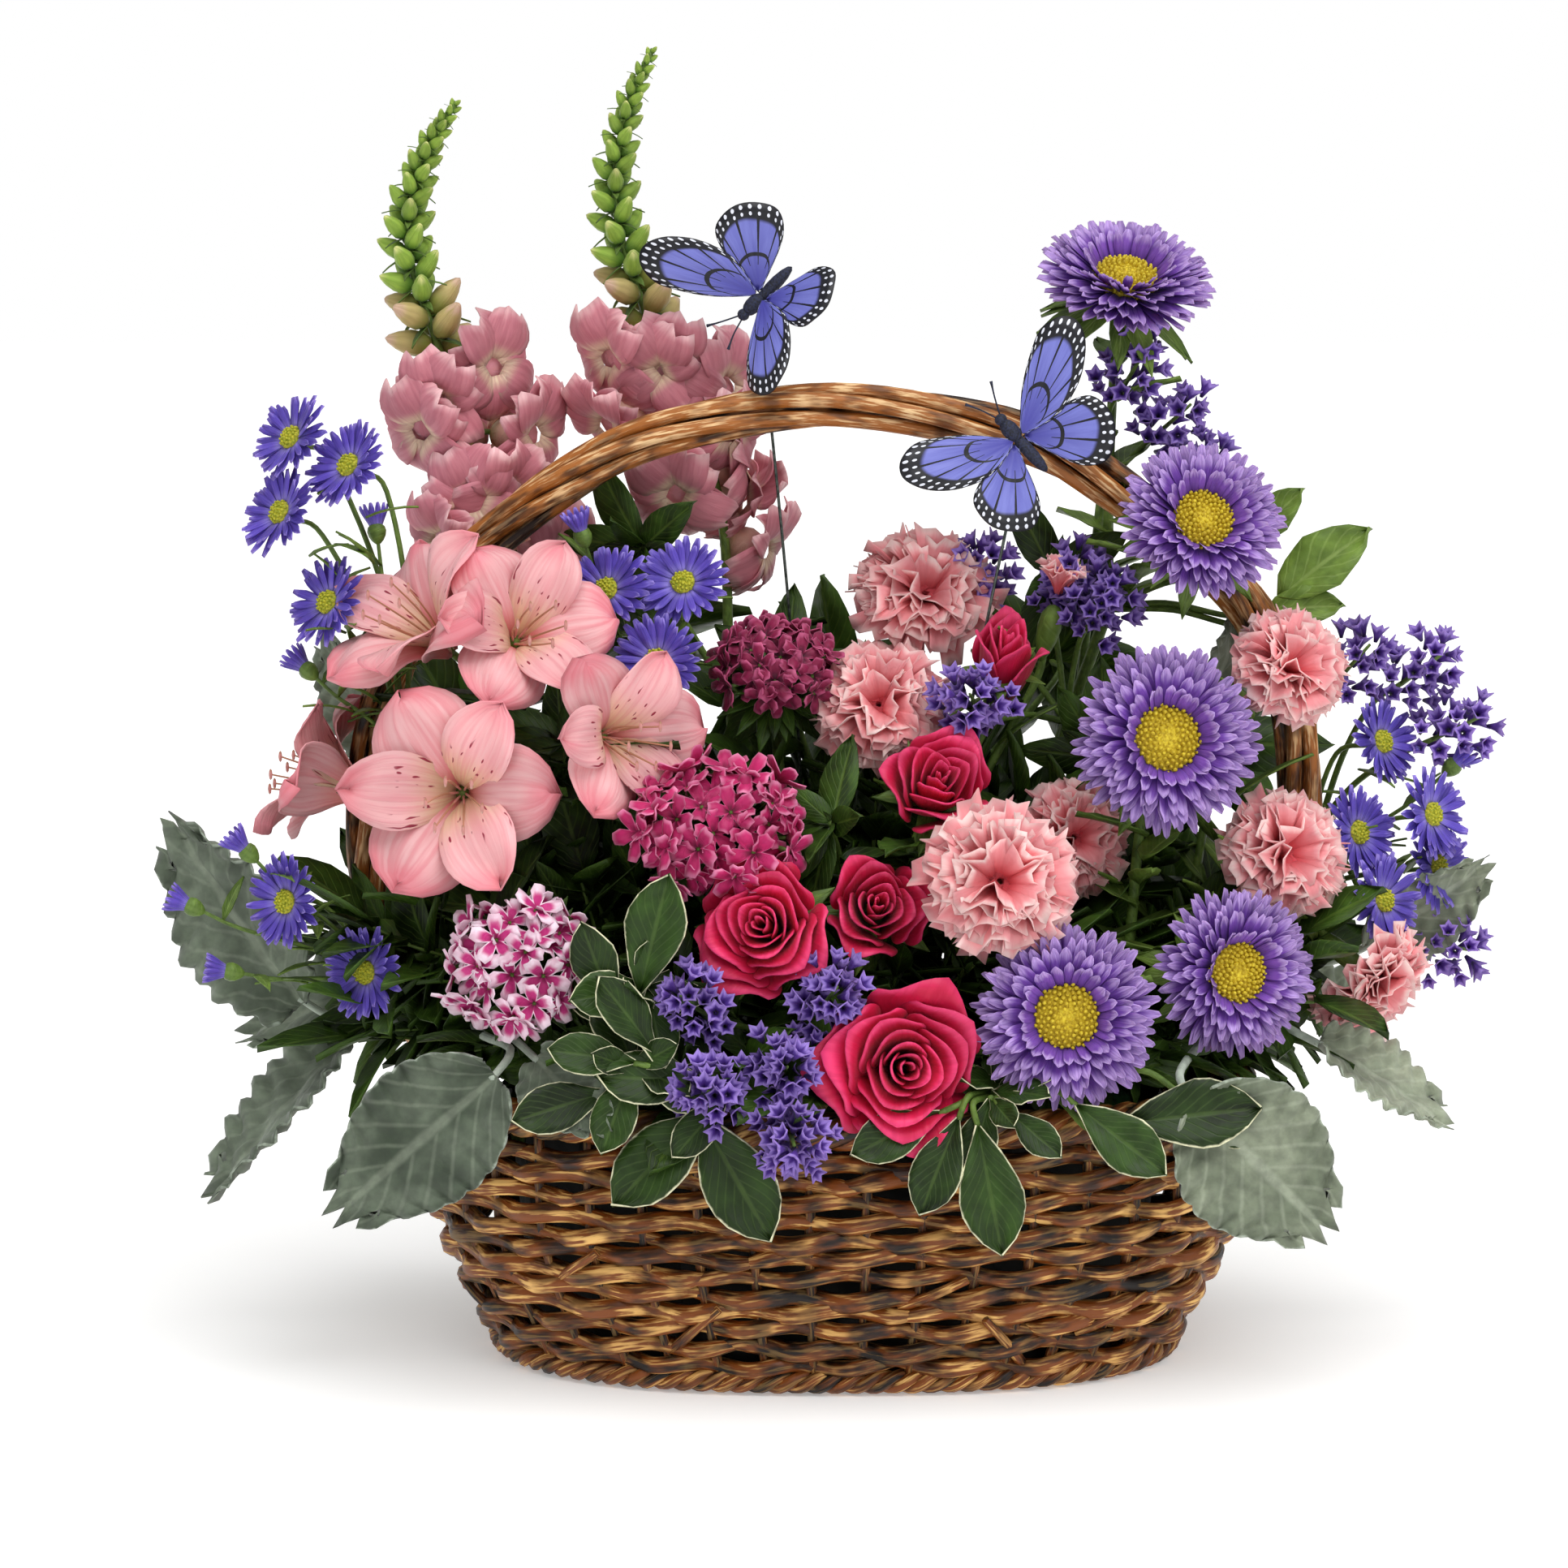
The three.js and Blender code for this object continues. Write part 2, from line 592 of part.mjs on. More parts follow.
const DAISY_SPRAYS = [
  {
    foot: [-82, -10],
    fork: [-136, -24, 192],
    heads: [[-172, 0, 291], [-153, -10, 283], [-175, -7, 268], [-160, -12, 240]],
    buds: [[-168, -5, 218], [-146, 0, 262]],
  },
  {
    foot: [-50, -8],
    fork: [-62, -6, 205],
    heads: [[-72, -22, 245], [-48, -20, 247], [-56, -34, 224]],
    buds: [[-80, -16, 262]],
  },
  {
    foot: [-88, -26],
    fork: [-140, -34, 118],
    heads: [[-171, -45, 150], [-146, -52, 129]],
    buds: [[-184, -40, 165], [-203, -30, 146], [-190, -40, 127]],
  },
  {
    foot: [86, 8],
    fork: [150, 16, 140],
    heads: [[165, -14, 167], [189, -8, 172], [172, -24, 147], [174, 2, 194], [192, -2, 154]],
    buds: [[198, 4, 186]],
  },
];

// ---------------------------------------------------------------- blooms
const GOLDEN_ANGLE = 2.399963;
const FLORET_PETALS = 5;

// A bloom as one skin round its axis. A ring of [radius, height] is round; a ring of
// { tip, valley, phase } runs out to the petals' tips, a petal every few columns, whose
// sides reach the shoulder share of the tip and are raised by fold. A ring of { share,
// heart, drop, valley } lies a drop below the line from the heart to the next ring's tips.
function starBloom(frame, rings, columns, perPetal, halfWidth, siblings = []) {
  const profile = rings.map((ring) => ring.valley || ring);
  const reached = rings.map((ring) => {
    if (!ring.tip) return null;
    return Array.from({ length: columns }, (_, column) => {
      const step = (column + ring.phase) % perPetal;
      if (step === 0) return ring.valley;
      const angle = (column / columns) * TAU;
      const isTip = perPetal === 2 || step === perPetal / 2;
      const [reach, height] = ring.tip(column);
      const end = isTip ? [reach, height] : [reach * ring.shoulder, height + ring.fold];
      return clearTip(frame, angle, ring.valley, end, halfWidth, siblings);
    });
  });
  rings.forEach((ring, i) => {
    if (!ring.share) return;
    reached[i] = reached[i + 1].map(([reach, height], column) => {
      if (column % perPetal === 0) return ring.valley;
      return [reach * ring.share, ring.heart + (height - ring.heart) * ring.share - ring.drop];
    });
  });
  return solidAt(frame, shapedLathe(profile, columns, (ring, column, r, z, angle) => {
    const [reach, height] = reached[ring] ? reached[ring][column] : [r, z];
    return [reach * Math.cos(angle), reach * Math.sin(angle), height];
  }));
}

const ASTER_COLUMNS = 22;

function asterHead(frame, radius, seed) {
  const random = makeRandom(seed);
  const tier = (reach, height, valley, phase) => ({
    tip: () => [radius * (reach + 0.08 * random()), height + 2.5 * random()],
    valley,
    phase,
  });
  const rings = [[0, -5], [0.2 * radius, -5],
    tier(0.95, 2, [0.46 * radius, -0.6], 0), [0.43 * radius, 1],
    tier(0.78, 6.5, [0.45 * radius, 2.6], 1), [0.415 * radius, 3.3], [0, 3]];
  return starBloom(frame, rings, ASTER_COLUMNS, 2, 1.6);
}

function asterDisc(frame, radius) {
  const profile = [[0, 3.7], [0.35 * radius, 4], [0.28 * radius, 7], [0, 7.6]];
  return solidAt(frame, shapedLathe(profile, 8, (ring, column, r, z, angle) => {
    const isBump = (column + ring) % 2 === 0;
    const reach = r * (isBump ? 1.04 : 0.92);
    return [reach * Math.cos(angle), reach * Math.sin(angle), z + (isBump || r === 0 ? 0 : 0.6)];
  }));
}

// The green cup under a bloom, ending a gap short of the bloom's flat base.
function calyx(place, facing, depth, topRadius, length, sides = 4) {
  const geometry = new THREE.CylinderGeometry(topRadius, topRadius * 0.35, length, sides);
  geometry.rotateX(Math.PI / 2);
  geometry.translate(0, 0, -depth - GAP - length / 2);
  return solidAt(frameAt(place, facing), geometry);
}

function behind(place, facing, distance) {
  return vector(place).addScaledVector(vector(facing).normalize(), -distance).toArray();
}

const ALSTROEMERIA_COLUMNS = 24;
const ALSTROEMERIA_HEART = -7;

function alstroemeriaBloom(frame, radius, seed) {
  const random = makeRandom(seed);
  const petals = {
    tip: (column) => {
      const outer = Math.floor(column / 4) % 2;
      return [radius * (outer ? 1 : 0.93) * (0.98 + 0.05 * random()), 4 + 3 * outer];
    },
    shoulder: 0.86,
    fold: 0,
    valley: [0.3 * radius, 1.4],
    phase: 0,
  };
  const underside = {
    share: 0.52,
    heart: ALSTROEMERIA_HEART,
    drop: 2,
    valley: [0.25 * radius, -2.2],
  };
  const rings = [[0, -18], [2.6, -16], underside, petals, [0, ALSTROEMERIA_HEART]];
  return starBloom(frame, rings, ALSTROEMERIA_COLUMNS, 4, 2.5);
}

const DAISY_PETALS = 8;
const DAISY_RADIUS = 14.5;

function daisyHead(frame, radius, seed, siblings) {
  const random = makeRandom(seed);
  const rays = {
    tip: () => [radius * (0.94 + 0.16 * random()), 1 + 2 * random()],
    valley: [0.4 * radius, 0],
    phase: 0,
  };
  const rings = [[0, -2.4], rays, [0, 3.4]];
  return starBloom(frame, rings, DAISY_PETALS * 2, 2, 1.2, siblings);
}

// A dome of five-sided florets, each a cone with its point sunk in the head.
function sweetWilliamHead(spec, seed) {
  const random = makeRandom(seed);
  const frame = frameAt(spec.place, spec.facing);
  const core = new THREE.SphereGeometry(spec.radius * 0.7, 7, 4);
  core.rotateX(Math.PI / 2);
  core.scale(1, 1, 0.75);
  const florets = [];
  for (let i = 0; i < spec.florets; i += 1) {
    const tilt = Math.acos(1 - (1.05 * (i + 0.5)) / spec.florets);
    const turn = i * GOLDEN_ANGLE + random() * 0.2;
    const direction = new THREE.Vector3(
      Math.sin(tilt) * Math.cos(turn), Math.sin(tilt) * Math.sin(turn), Math.cos(tilt) * 0.8);
    const world = direction.clone().transformDirection(frame);
    const centre = direction.clone().multiplyScalar(spec.radius * 0.64).applyMatrix4(frame);
    const size = spec.radius * (0.4 + 0.05 * random());
    const roll = random() * TAU;
    for (const share of [1, 0.88, 0.76, 0.64, 0.5]) {
      const cone = new THREE.ConeGeometry(size * share, spec.radius * 0.72, FLORET_PETALS);
      cone.rotateX(-Math.PI / 2);
      const floret = solidAt(frameAt(centre.toArray(), world.toArray(), roll), cone);
      if (isClear(floret, share > 0.6 ? florets : [])) {
        florets.push(floret);
        break;
      }
    }
  }
  return [solidAt(frame, core), ...florets];
}

// ---------------------------------------------------------------- build the basket
place('basket_wall', toSolid(basketWall()), PAINT.willow);
place('basket_floor', toSolid(basketFloor()), PAINT.willowDark);
place('basket_handle', toSolid(basketHandle()), PAINT.willowPale);
const handleTwin = toSolid(basketHandle(GAP, true));
place('basket_rim', fuse([toSolid(basketRim()).subtract(handleTwin)]), PAINT.willow);
place('basket_liner', toSolid(linerShell()), PAINT.liner);
const foam = place('floral_foam', toSolid(foamBlock()), PAINT.foam);

// ---------------------------------------------------------------- build the blooms
CARNATIONS.forEach((spec, i) => {
  const frame = frameAt(spec.place, spec.facing, i);
  place(`carnation_${i + 1}`, solidAt(frame, carnationBloom(spec.radius, 40 + i)), PAINT.carnation);
});

ROSES.forEach((spec, i) => {
  const frame = frameAt(spec.place, spec.facing, i * 0.7);
  place(`rose_${i + 1}`, solidAt(frame, roseBloom(spec.radius, 20 + i)), PAINT.rose);
});

ASTERS.forEach((spec, i) => {
  const frame = frameAt(spec.place, spec.facing);
  place(`aster_disc_${i + 1}`, asterDisc(frame, spec.radius), PAINT.asterDisc);
  place(`aster_head_${i + 1}`, asterHead(frame, spec.radius, 60 + i), PAINT.aster);
});

ALSTROEMERIAS.forEach((spec, i) => {
  const frame = frameAt(spec.place, spec.facing, i * 0.4);
  place(`alstroemeria_${i + 1}`, alstroemeriaBloom(frame, spec.radius, 80 + i), PAINT.alstroemeria);
});

// ---------------------------------------------------------------- stems that carry blooms
// A trunk from its foot in the foam to a fork, and a branch from there to each bloom's cup.
function bloomStems(name, { foot, fork, radius = 1.9, buds = [] }, blooms) {
  const main = route([...foot, STEM_START], fork, [0, 0, 1], radius, 3, STEM_SIDES);
  const solids = [stemFoot(foot, radius), main.solid];
  blooms.forEach(({ place: spot, facing, depth, cup, cupLength }, i) => {
    const end = behind(spot, facing, depth + GAP + cupLength * 0.7);
    if (cup > 0) solids.push(calyx(spot, facing, depth, cup, cupLength));
    const start = main.pointAt(1 - 0.12 * i).toArray();
    solids.push(route(start, end, facing, radius * 0.8, 2).solid);
  });
  buds.forEach(({ place: spot, facing, length, width }) => {
    const start = main.pointAt(0.6).toArray();
    solids.push(route(start, spot, facing, radius * 0.7, 2).solid);
    solids.push(budSolid(behind(spot, facing, 3), facing, length, width));
  });
  place(name, fuse(solids), PAINT.stem);
}

const cupped = (list, depth, cup, cupLength) => list.map((spec) => ({
  ...spec, depth: depth(spec), cup: cup(spec), cupLength }));

const asterCups = cupped(ASTERS, () => 5, () => 5, 9);
bloomStems('aster_stem_high', { foot: [44, 26], fork: [88, 20, 235] }, asterCups.slice(0, 2));
bloomStems('aster_stem_low', { foot: [62, -26], fork: [92, -30, 130] }, asterCups.slice(2));

const roseCups = cupped(ROSES, (rose) => rose.radius * 0.6, (rose) => rose.radius * 0.3, 8);
bloomStems('rose_stem', { foot: [4, -38], fork: [10, -44, 128] }, roseCups);

const carnationCups = cupped(CARNATIONS, (bloom) => bloom.radius * 0.6,
  (bloom) => bloom.radius * 0.22, 16);
const CARNATION_BUDS = [{ place: [70, -10, 232], facing: [0.2, -0.3, 0.9], length: 20, width: 5 }];
bloomStems('carnation_stem_left', { foot: [22, 4], fork: [32, -6, 150], buds: CARNATION_BUDS },
  carnationCups.slice(0, 3));
bloomStems('carnation_stem_right', { foot: [88, -20], fork: [112, -14, 128] },
  carnationCups.slice(3));

const lilyCups = cupped(ALSTROEMERIAS, () => 18.4, () => 0, 0);
bloomStems('alstroemeria_stem', { foot: [-64, 14], fork: [-92, 2, 160] }, lilyCups);

// ---------------------------------------------------------------- snapdragons
const SNAPDRAGONS = [
  {
    foot: [-80, 34],
    path: [[-80, 34, 102], [-106, 33, 180], [-114, 30, 250], [-126, 34, 310],
      [-138, 38, 350], [-133, 40, 378], [-122, 40, 397]],
    florets: [[-134, 22, 292], [-109, 25, 313], [-96, 30, 291], [-117, 18, 270], [-89, 18, 253],
      [-112, 48, 288]],
    budsFrom: 0.76,
  },
  {
    foot: [-27, 30],
    path: [[-27, 30, 102], [-34, 36, 200], [-38, 38, 270], [-60, 42, 325],
      [-71, 45, 362], [-68, 48, 392], [-59, 50, 414]],
    florets: [[-74, 32, 315], [-54, 26, 312], [-34, 36, 307], [-75, 32, 293], [-52, 20, 272],
      [-30, 46, 282]],
    budsFrom: 0.7,
  },
];
const BUD_RINGS = 8;
const BUD_COLUMNS = 6;

// A ruffled five-lobed face with a swollen throat, on a funnel that grows out of the stem.
function snapdragonFloret(spot, stemPoint, seed, siblings) {
  const out = vector(spot).sub(stemPoint);
  const frame = frameAt(spot, out.toArray());
  const random = makeRandom(seed);
  const lips = {
    tip: () => [15.5 * (0.92 + 0.14 * random()), 3 * random() - 1.5],
    valley: [9.5, 1],
    phase: 0,
  };
  return starBloom(frame, [[0, -out.length()], lips, [0, 6]], 10, 2, 3, siblings);
}

// The closed buds at the top of a spike, three to a ring, raised in turn from its skin.
function budSpike(curve, from, turn) {
  const profile = [[0, from]];
  for (let ring = 0; ring < BUD_RINGS; ring += 1) {
    profile.push([1, from + ((ring + 0.5) / BUD_RINGS) * (0.97 - from)]);
  }
  profile.push([0, 1]);
  const across = new THREE.Vector3(1, 0, 0);
  return toSolid(shapedLathe(profile, BUD_COLUMNS, (ring, column, r, along, angle) => {
    const point = curve.getPointAt(along);
    if (r === 0) return point.toArray();
    const tangent = curve.getTangentAt(along);
    const side = across.clone().addScaledVector(tangent, -across.dot(tangent)).normalize();
    const other = new THREE.Vector3().crossVectors(tangent, side);
    const isBud = (column + ring) % 2 === 0;
    const size = 1 - 0.62 * (ring / BUD_RINGS) ** 1.3;
    const reach = size * (isBud ? 10 + Math.sin(column * 3 + ring * 7 + turn) : 3.2);
    point.addScaledVector(side, reach * Math.cos(angle));
    point.addScaledVector(other, reach * Math.sin(angle));
    point.addScaledVector(tangent, isBud ? 4 * size : -2 * size);
    return point.toArray();
  }));
}

function budSolid(from, direction, length, width) {
  const geometry = new THREE.OctahedronGeometry(1);
  geometry.scale(width, width, length / 2);
  geometry.translate(0, 0, length * 0.42);
  return solidAt(frameAt(from, direction), geometry);
}

const SNAPDRAGON_STEM_STEPS = 6;

SNAPDRAGONS.forEach((spec, i) => {
  const curve = new THREE.CatmullRomCurve3(spec.path.map(vector), false, 'centripetal');
  const stem = makeStem(spec.path.slice(0, -1), 2.1, SNAPDRAGON_STEM_STEPS);
  const florets = [];
  spec.florets.forEach((spot, k) => {
    const aim = vector(spot).add(new THREE.Vector3(0, 0, -7));
    let nearest = stem.pointAt(0.3);
    for (let along = 0.3; along < 0.98; along += 0.01) {
      const point = stem.pointAt(along);
      if (point.distanceTo(aim) < nearest.distanceTo(aim)) nearest = point;
    }
    florets.push(snapdragonFloret(spot, nearest, 90 + i * 10 + k, florets));
  });
  const spike = budSpike(curve, spec.budsFrom, 95 + i);
  const solids = [stemFoot(spec.foot, 2.1), stem.solid, spike, ...florets];
  place(`snapdragon_${i + 1}`, fuse(solids), PAINT.snapdragon);
});

// ---------------------------------------------------------------- sprays of small blooms
function sprayTrunk({ foot, fork }, radius) {
  const main = route([...foot, STEM_START], fork, [0, 0, 1], radius, 3, STEM_SIDES);
  const branchPoint = (i, count) => main.pointAt(1 - (0.4 * i) / count).toArray();
  return { solids: [stemFoot(foot, radius), main.solid], branchPoint };
}

function outward([x, y, z], lean) {
  return [x / 190, -0.9 + y / 200, lean + (z - 180) / 300];
}

DAISY_SPRAYS.forEach((spec, i) => {
  const { solids, branchPoint } = sprayTrunk(spec, 1.7);
  const branches = spec.heads.length + spec.buds.length;
  const heads = [];
  spec.heads.forEach((spot, k) => {
    const frame = frameAt(spot, outward(spot, 0.35));
    heads.push(daisyHead(frame, DAISY_RADIUS, 120 + i * 10 + k, heads));
  });
  spec.heads.forEach((spot, k) => {
    const facing = outward(spot, 0.35);
    const end = new THREE.Vector3(2.2, 0, -0.4).applyMatrix4(frameAt(spot, facing)).toArray();
    const others = heads.filter((head, other) => other !== k);
    const start = branchPoint(k, branches);
    solids.push(route(start, end, facing, 1.2, 2, TWIG_SIDES, others).solid);
  });
  spec.buds.forEach((spot, k) => {
    const direction = vector(spot).sub(vector(spec.fork)).normalize().toArray();
    const start = branchPoint(spec.heads.length + k, branches);
    solids.push(route(start, spot, direction, 1.1, 2, TWIG_SIDES, heads).solid);
    solids.push(budSolid(behind(spot, direction, 3), direction, 12, 3.6));
  });
  place(`daisy_spray_${i + 1}`, fuse([...solids, ...heads]), PAINT.daisy);
});

SWEET_WILLIAMS.forEach((spec, i) => {
  const solids = sweetWilliamHead(spec, 150 + i);
  const end = behind(spec.place, spec.facing, spec.radius * 0.3);
  solids.push(stemFoot(spec.foot, 2));
  solids.push(route([...spec.foot, STEM_START], end, spec.facing, 2, 3, STEM_SIDES).solid);
  place(`sweet_william_${i + 1}`, fuse(solids), PAINT.sweetWilliam);
});

const STATICES = [
  {
    foot: [-16, -46],
    fork: [-22, -64, 110],
    tips: [[-44, -92, 126], [-38, -104, 102], [-16, -98, 108], [-3, -90, 128], [-14, -108, 88]],
  },
  {
    foot: [50, 6],
    fork: [74, 6, 200],
    tips: [[75, 0, 245], [46, 14, 246], [84, -12, 240], [43, -33, 211]],
  },
  {
    foot: [70, 34],
    fork: [86, 30, 270],
    tips: [[95, 16, 312], [108, 18, 296], [116, 22, 280]],
  },
  {
    foot: [90, 26],
    fork: [158, 24, 165],
    tips: [[166, 8, 219], [188, 8, 217], [199, 6, 198], [196, 2, 128]],
  },
];
const STATICE_COLUMNS = 6;

// Each branch ends in a brush of papery florets, raised in turn from its surface.
STATICES.forEach((spec, i) => {
  const random = makeRandom(170 + i);
  const brushes = [];
  const { solids, branchPoint } = sprayTrunk(spec, 1.7);
  spec.tips.forEach((tip, k) => {
    const start = branchPoint(k, spec.tips.length);
    const direction = vector(tip).sub(vector(start)).normalize();
    const inside = new THREE.Vector3(1.6, 0, -12).applyMatrix4(frameAt(tip, direction.toArray()));
    solids.push(route(start, inside.toArray(), direction.toArray(), 1.2, 2).solid);
    const floretRing = (radius, height, phase) => ({
      tip: () => [radius * (0.8 + 0.4 * random()), height + 5],
      valley: [radius * 0.42, height],
      phase,
    });
    const rings = [[0, -17], floretRing(8.5, -12, 0), floretRing(9, -3, 1), [0, 4]];
    const frame = frameAt(tip, direction.toArray());
    const brush = starBloom(frame, rings, STATICE_COLUMNS, 2, 1.5, brushes);
    if (isClear(brush)) brushes.push(brush);
  });
  place(`statice_${i + 1}`, fuse([...solids, ...brushes]), PAINT.statice);
});

// ---------------------------------------------------------------- butterflies on wire picks
const WING_THICKNESS = 0.8;
const FORE_WING = [[0, 0], [27, 20], [34, 18], [35, 11], [28, 3], [15, -3]];
const HIND_WING = [[0, -1], [13, -2], [24, -6], [25, -15], [16, -23], [7, -17]];

const BUTTERFLIES = [
  {
    place: [-24, 14, 335], heading: [-0.25, 0.1, -0.3], back: [-0.35, -0.9, 0.25], spread: 0.5,
    foot: [-8, 22],
  },
  {
    place: [56, -24, 293], heading: [-0.5, -0.1, 0.6], back: [0.1, -0.95, 0.2], spread: 0.25,
    foot: [34, -8],
  },
];

function wingGeometry(outline, mirror) {
  const corners = outline.map(([x, y]) => new THREE.Vector2(x * mirror, y));
  const shape = new THREE.Shape(corners);
  return new THREE.ExtrudeGeometry(shape, { depth: WING_THICKNESS, bevelEnabled: false });
}

BUTTERFLIES.forEach((spec, i) => {
  const z = vector(spec.back).normalize();
  const y = vector(spec.heading);
  y.addScaledVector(z, -y.dot(z)).normalize();
  const x = new THREE.Vector3().crossVectors(y, z);
  const frame = new THREE.Matrix4().makeBasis(x, y, z).setPosition(...spec.place);
  const body = new THREE.SphereGeometry(1, 6, 4);
  body.scale(2.6, 12, 2.6);
  const solids = [solidAt(frame, body)];
  for (const mirror of [-1, 1]) {
    for (const outline of [FORE_WING, HIND_WING]) {
      const wing = wingGeometry(outline, mirror);
      wing.rotateY(-mirror * spec.spread * (outline === FORE_WING ? 1 : 0.8));
      wing.translate(mirror * 0.6, 0, outline === FORE_WING ? 0.4 : -0.6);
      solids.push(solidAt(frame, wing));
    }
  }
  const wireEnd = new THREE.Vector3(0, -3, -1).applyMatrix4(frame).toArray();
  solids.push(stemFoot(spec.foot, 1.2));
  solids.push(route([...spec.foot, STEM_START], wireEnd, [0, 0, 1], 0.9, 4).solid);
  place(`butterfly_${i + 1}`, fuse(solids), PAINT.butterfly);
});

// ---------------------------------------------------------------- foliage
// A scalloped leaf from its base to its tip, its face to a side, shortened till it clears.
function clearLeaf(base, tip, face, half) {
  const length = vector(base).distanceTo(vector(tip));
  const z = vector(tip).sub(vector(base)).normalize();
  for (const [reach, lift] of BENDS) {
    const y0 = vector(face);
    const along = z.clone().addScaledVector(y0, lift * 0.5).normalize();
    const y = y0.addScaledVector(along, -y0.dot(along)).normalize();
    const x = new THREE.Vector3().crossVectors(y, along);
    const frame = new THREE.Matrix4().makeBasis(x, y, along).setPosition(...base);
    const solid = solidAt(frame, lobedBlade(length * reach, half));
    if (isClear(solid)) return solid;
  }
  return null;
}

// A branching stem whose large scalloped leaves each have a stalk of their own.
function stalkedLeaves(name, { foot, fork, leaves }, paint) {
  const { solids, branchPoint } = sprayTrunk({ foot, fork }, 1.8);
  leaves.forEach(({ base, tip, half, face }, i) => {
    const direction = vector(tip).sub(vector(base)).toArray();
    const stalk = route(branchPoint(i, leaves.length), base, direction, 1.6, 2);
    solids.push(stalk.solid);
    const leaf = clearLeaf(stalk.pointAt(0.93).toArray(), tip, face, half);
    if (leaf) solids.push(leaf);
  });
  place(name, fuse(solids), paint);
}

// A whorl of leaves about a twig's end as one skin, each leaf with its own length.
function leafWhorl(frame, { leaves, reach, shoulder, cup }, random, siblings) {
  const lengths = Array.from({ length: leaves }, () => reach * (0.78 + 0.36 * random()));
  const blades = {
    tip: (column) => [lengths[Math.floor(column / 4)], cup * reach],
    shoulder,
    fold: 0.04 * reach,
    valley: [0.13 * reach, 0],
    phase: 0,
  };
  return starBloom(frame, [[0, -2.4], blades, [0, 0.9]], leaves * 4, 4, 0.15 * reach, siblings);
}

const WHORL_SIZES = [1, 0.8, 0.62, 0.45];

function clearWhorl(frame, whorl, random, siblings) {
  for (const size of WHORL_SIZES) {
    const head = leafWhorl(frame, { ...whorl, reach: whorl.reach * size }, random, siblings);
    if (isClear(head)) return head;
  }
  return null;
}

// A branching leafy stem: each target gets a twig with a whorl of leaves at its end.
function leafyBranch(name, { foot, fork, targets, whorl, seed }, paint) {
  const random = makeRandom(seed);
  const { solids, branchPoint } = sprayTrunk({ foot, fork }, 1.8);
  const whorls = [];
  targets.forEach(([target, face], i) => {
    const lean = face.map((share) => share + 0.5 * (random() - 0.5));
    const frame = frameAt(target, lean, random() * TAU);
    const others = [...whorls];
    const head = clearWhorl(frame, whorl, random, others);
    if (!head) return;
    whorls.push(head);
    const end = new THREE.Vector3(0, 0, -0.5).applyMatrix4(frame).toArray();
    solids.push(route(branchPoint(i, targets.length), end, lean, 1.2, 2, TWIG_SIDES, others).solid);
  });
  place(name, fuse([...solids, ...whorls]), paint);
}

const FRONT = [0, -1, 0.25];
const LEFT = [-0.8, -0.5, 0.5];
const RIGHT = [0.8, -0.5, 0.5];
const BACK = [0, 0.9, 0.4];

const DUSTY_LEFT = {
  foot: [-88, -2],
  fork: [-118, -22, 112],
  leaves: [
    { base: [-104, -90, 104], tip: [-152, -100, 64], half: 19, face: FRONT },
    { base: [-152, -24, 104], tip: [-199, -44, 62], half: 15, face: LEFT },
    { base: [-170, -14, 112], tip: [-216, -12, 168], half: 21, face: LEFT },
    { base: [-146, 24, 186], tip: [-168, 28, 224], half: 12, face: LEFT },
    { base: [-140, 26, 112], tip: [-196, 34, 96], half: 17, face: LEFT },
  ],
};
const DUSTY_RIGHT = {
  foot: [93, 16],
  fork: [126, 4, 112],
  leaves: [
    { base: [108, -92, 96], tip: [148, -98, 58], half: 21, face: FRONT },
    { base: [150, -50, 106], tip: [192, -50, 84], half: 13, face: RIGHT },
    { base: [172, 2, 128], tip: [209, -12, 154], half: 13, face: RIGHT },
    { base: [118, 12, 200], tip: [134, 6, 240], half: 13, face: RIGHT },
    { base: [146, 30, 112], tip: [186, 42, 88], half: 15, face: RIGHT },
  ],
};
stalkedLeaves('dusty_miller_left', DUSTY_LEFT, PAINT.dustyMiller);
stalkedLeaves('dusty_miller_right', DUSTY_RIGHT, PAINT.dustyMiller);

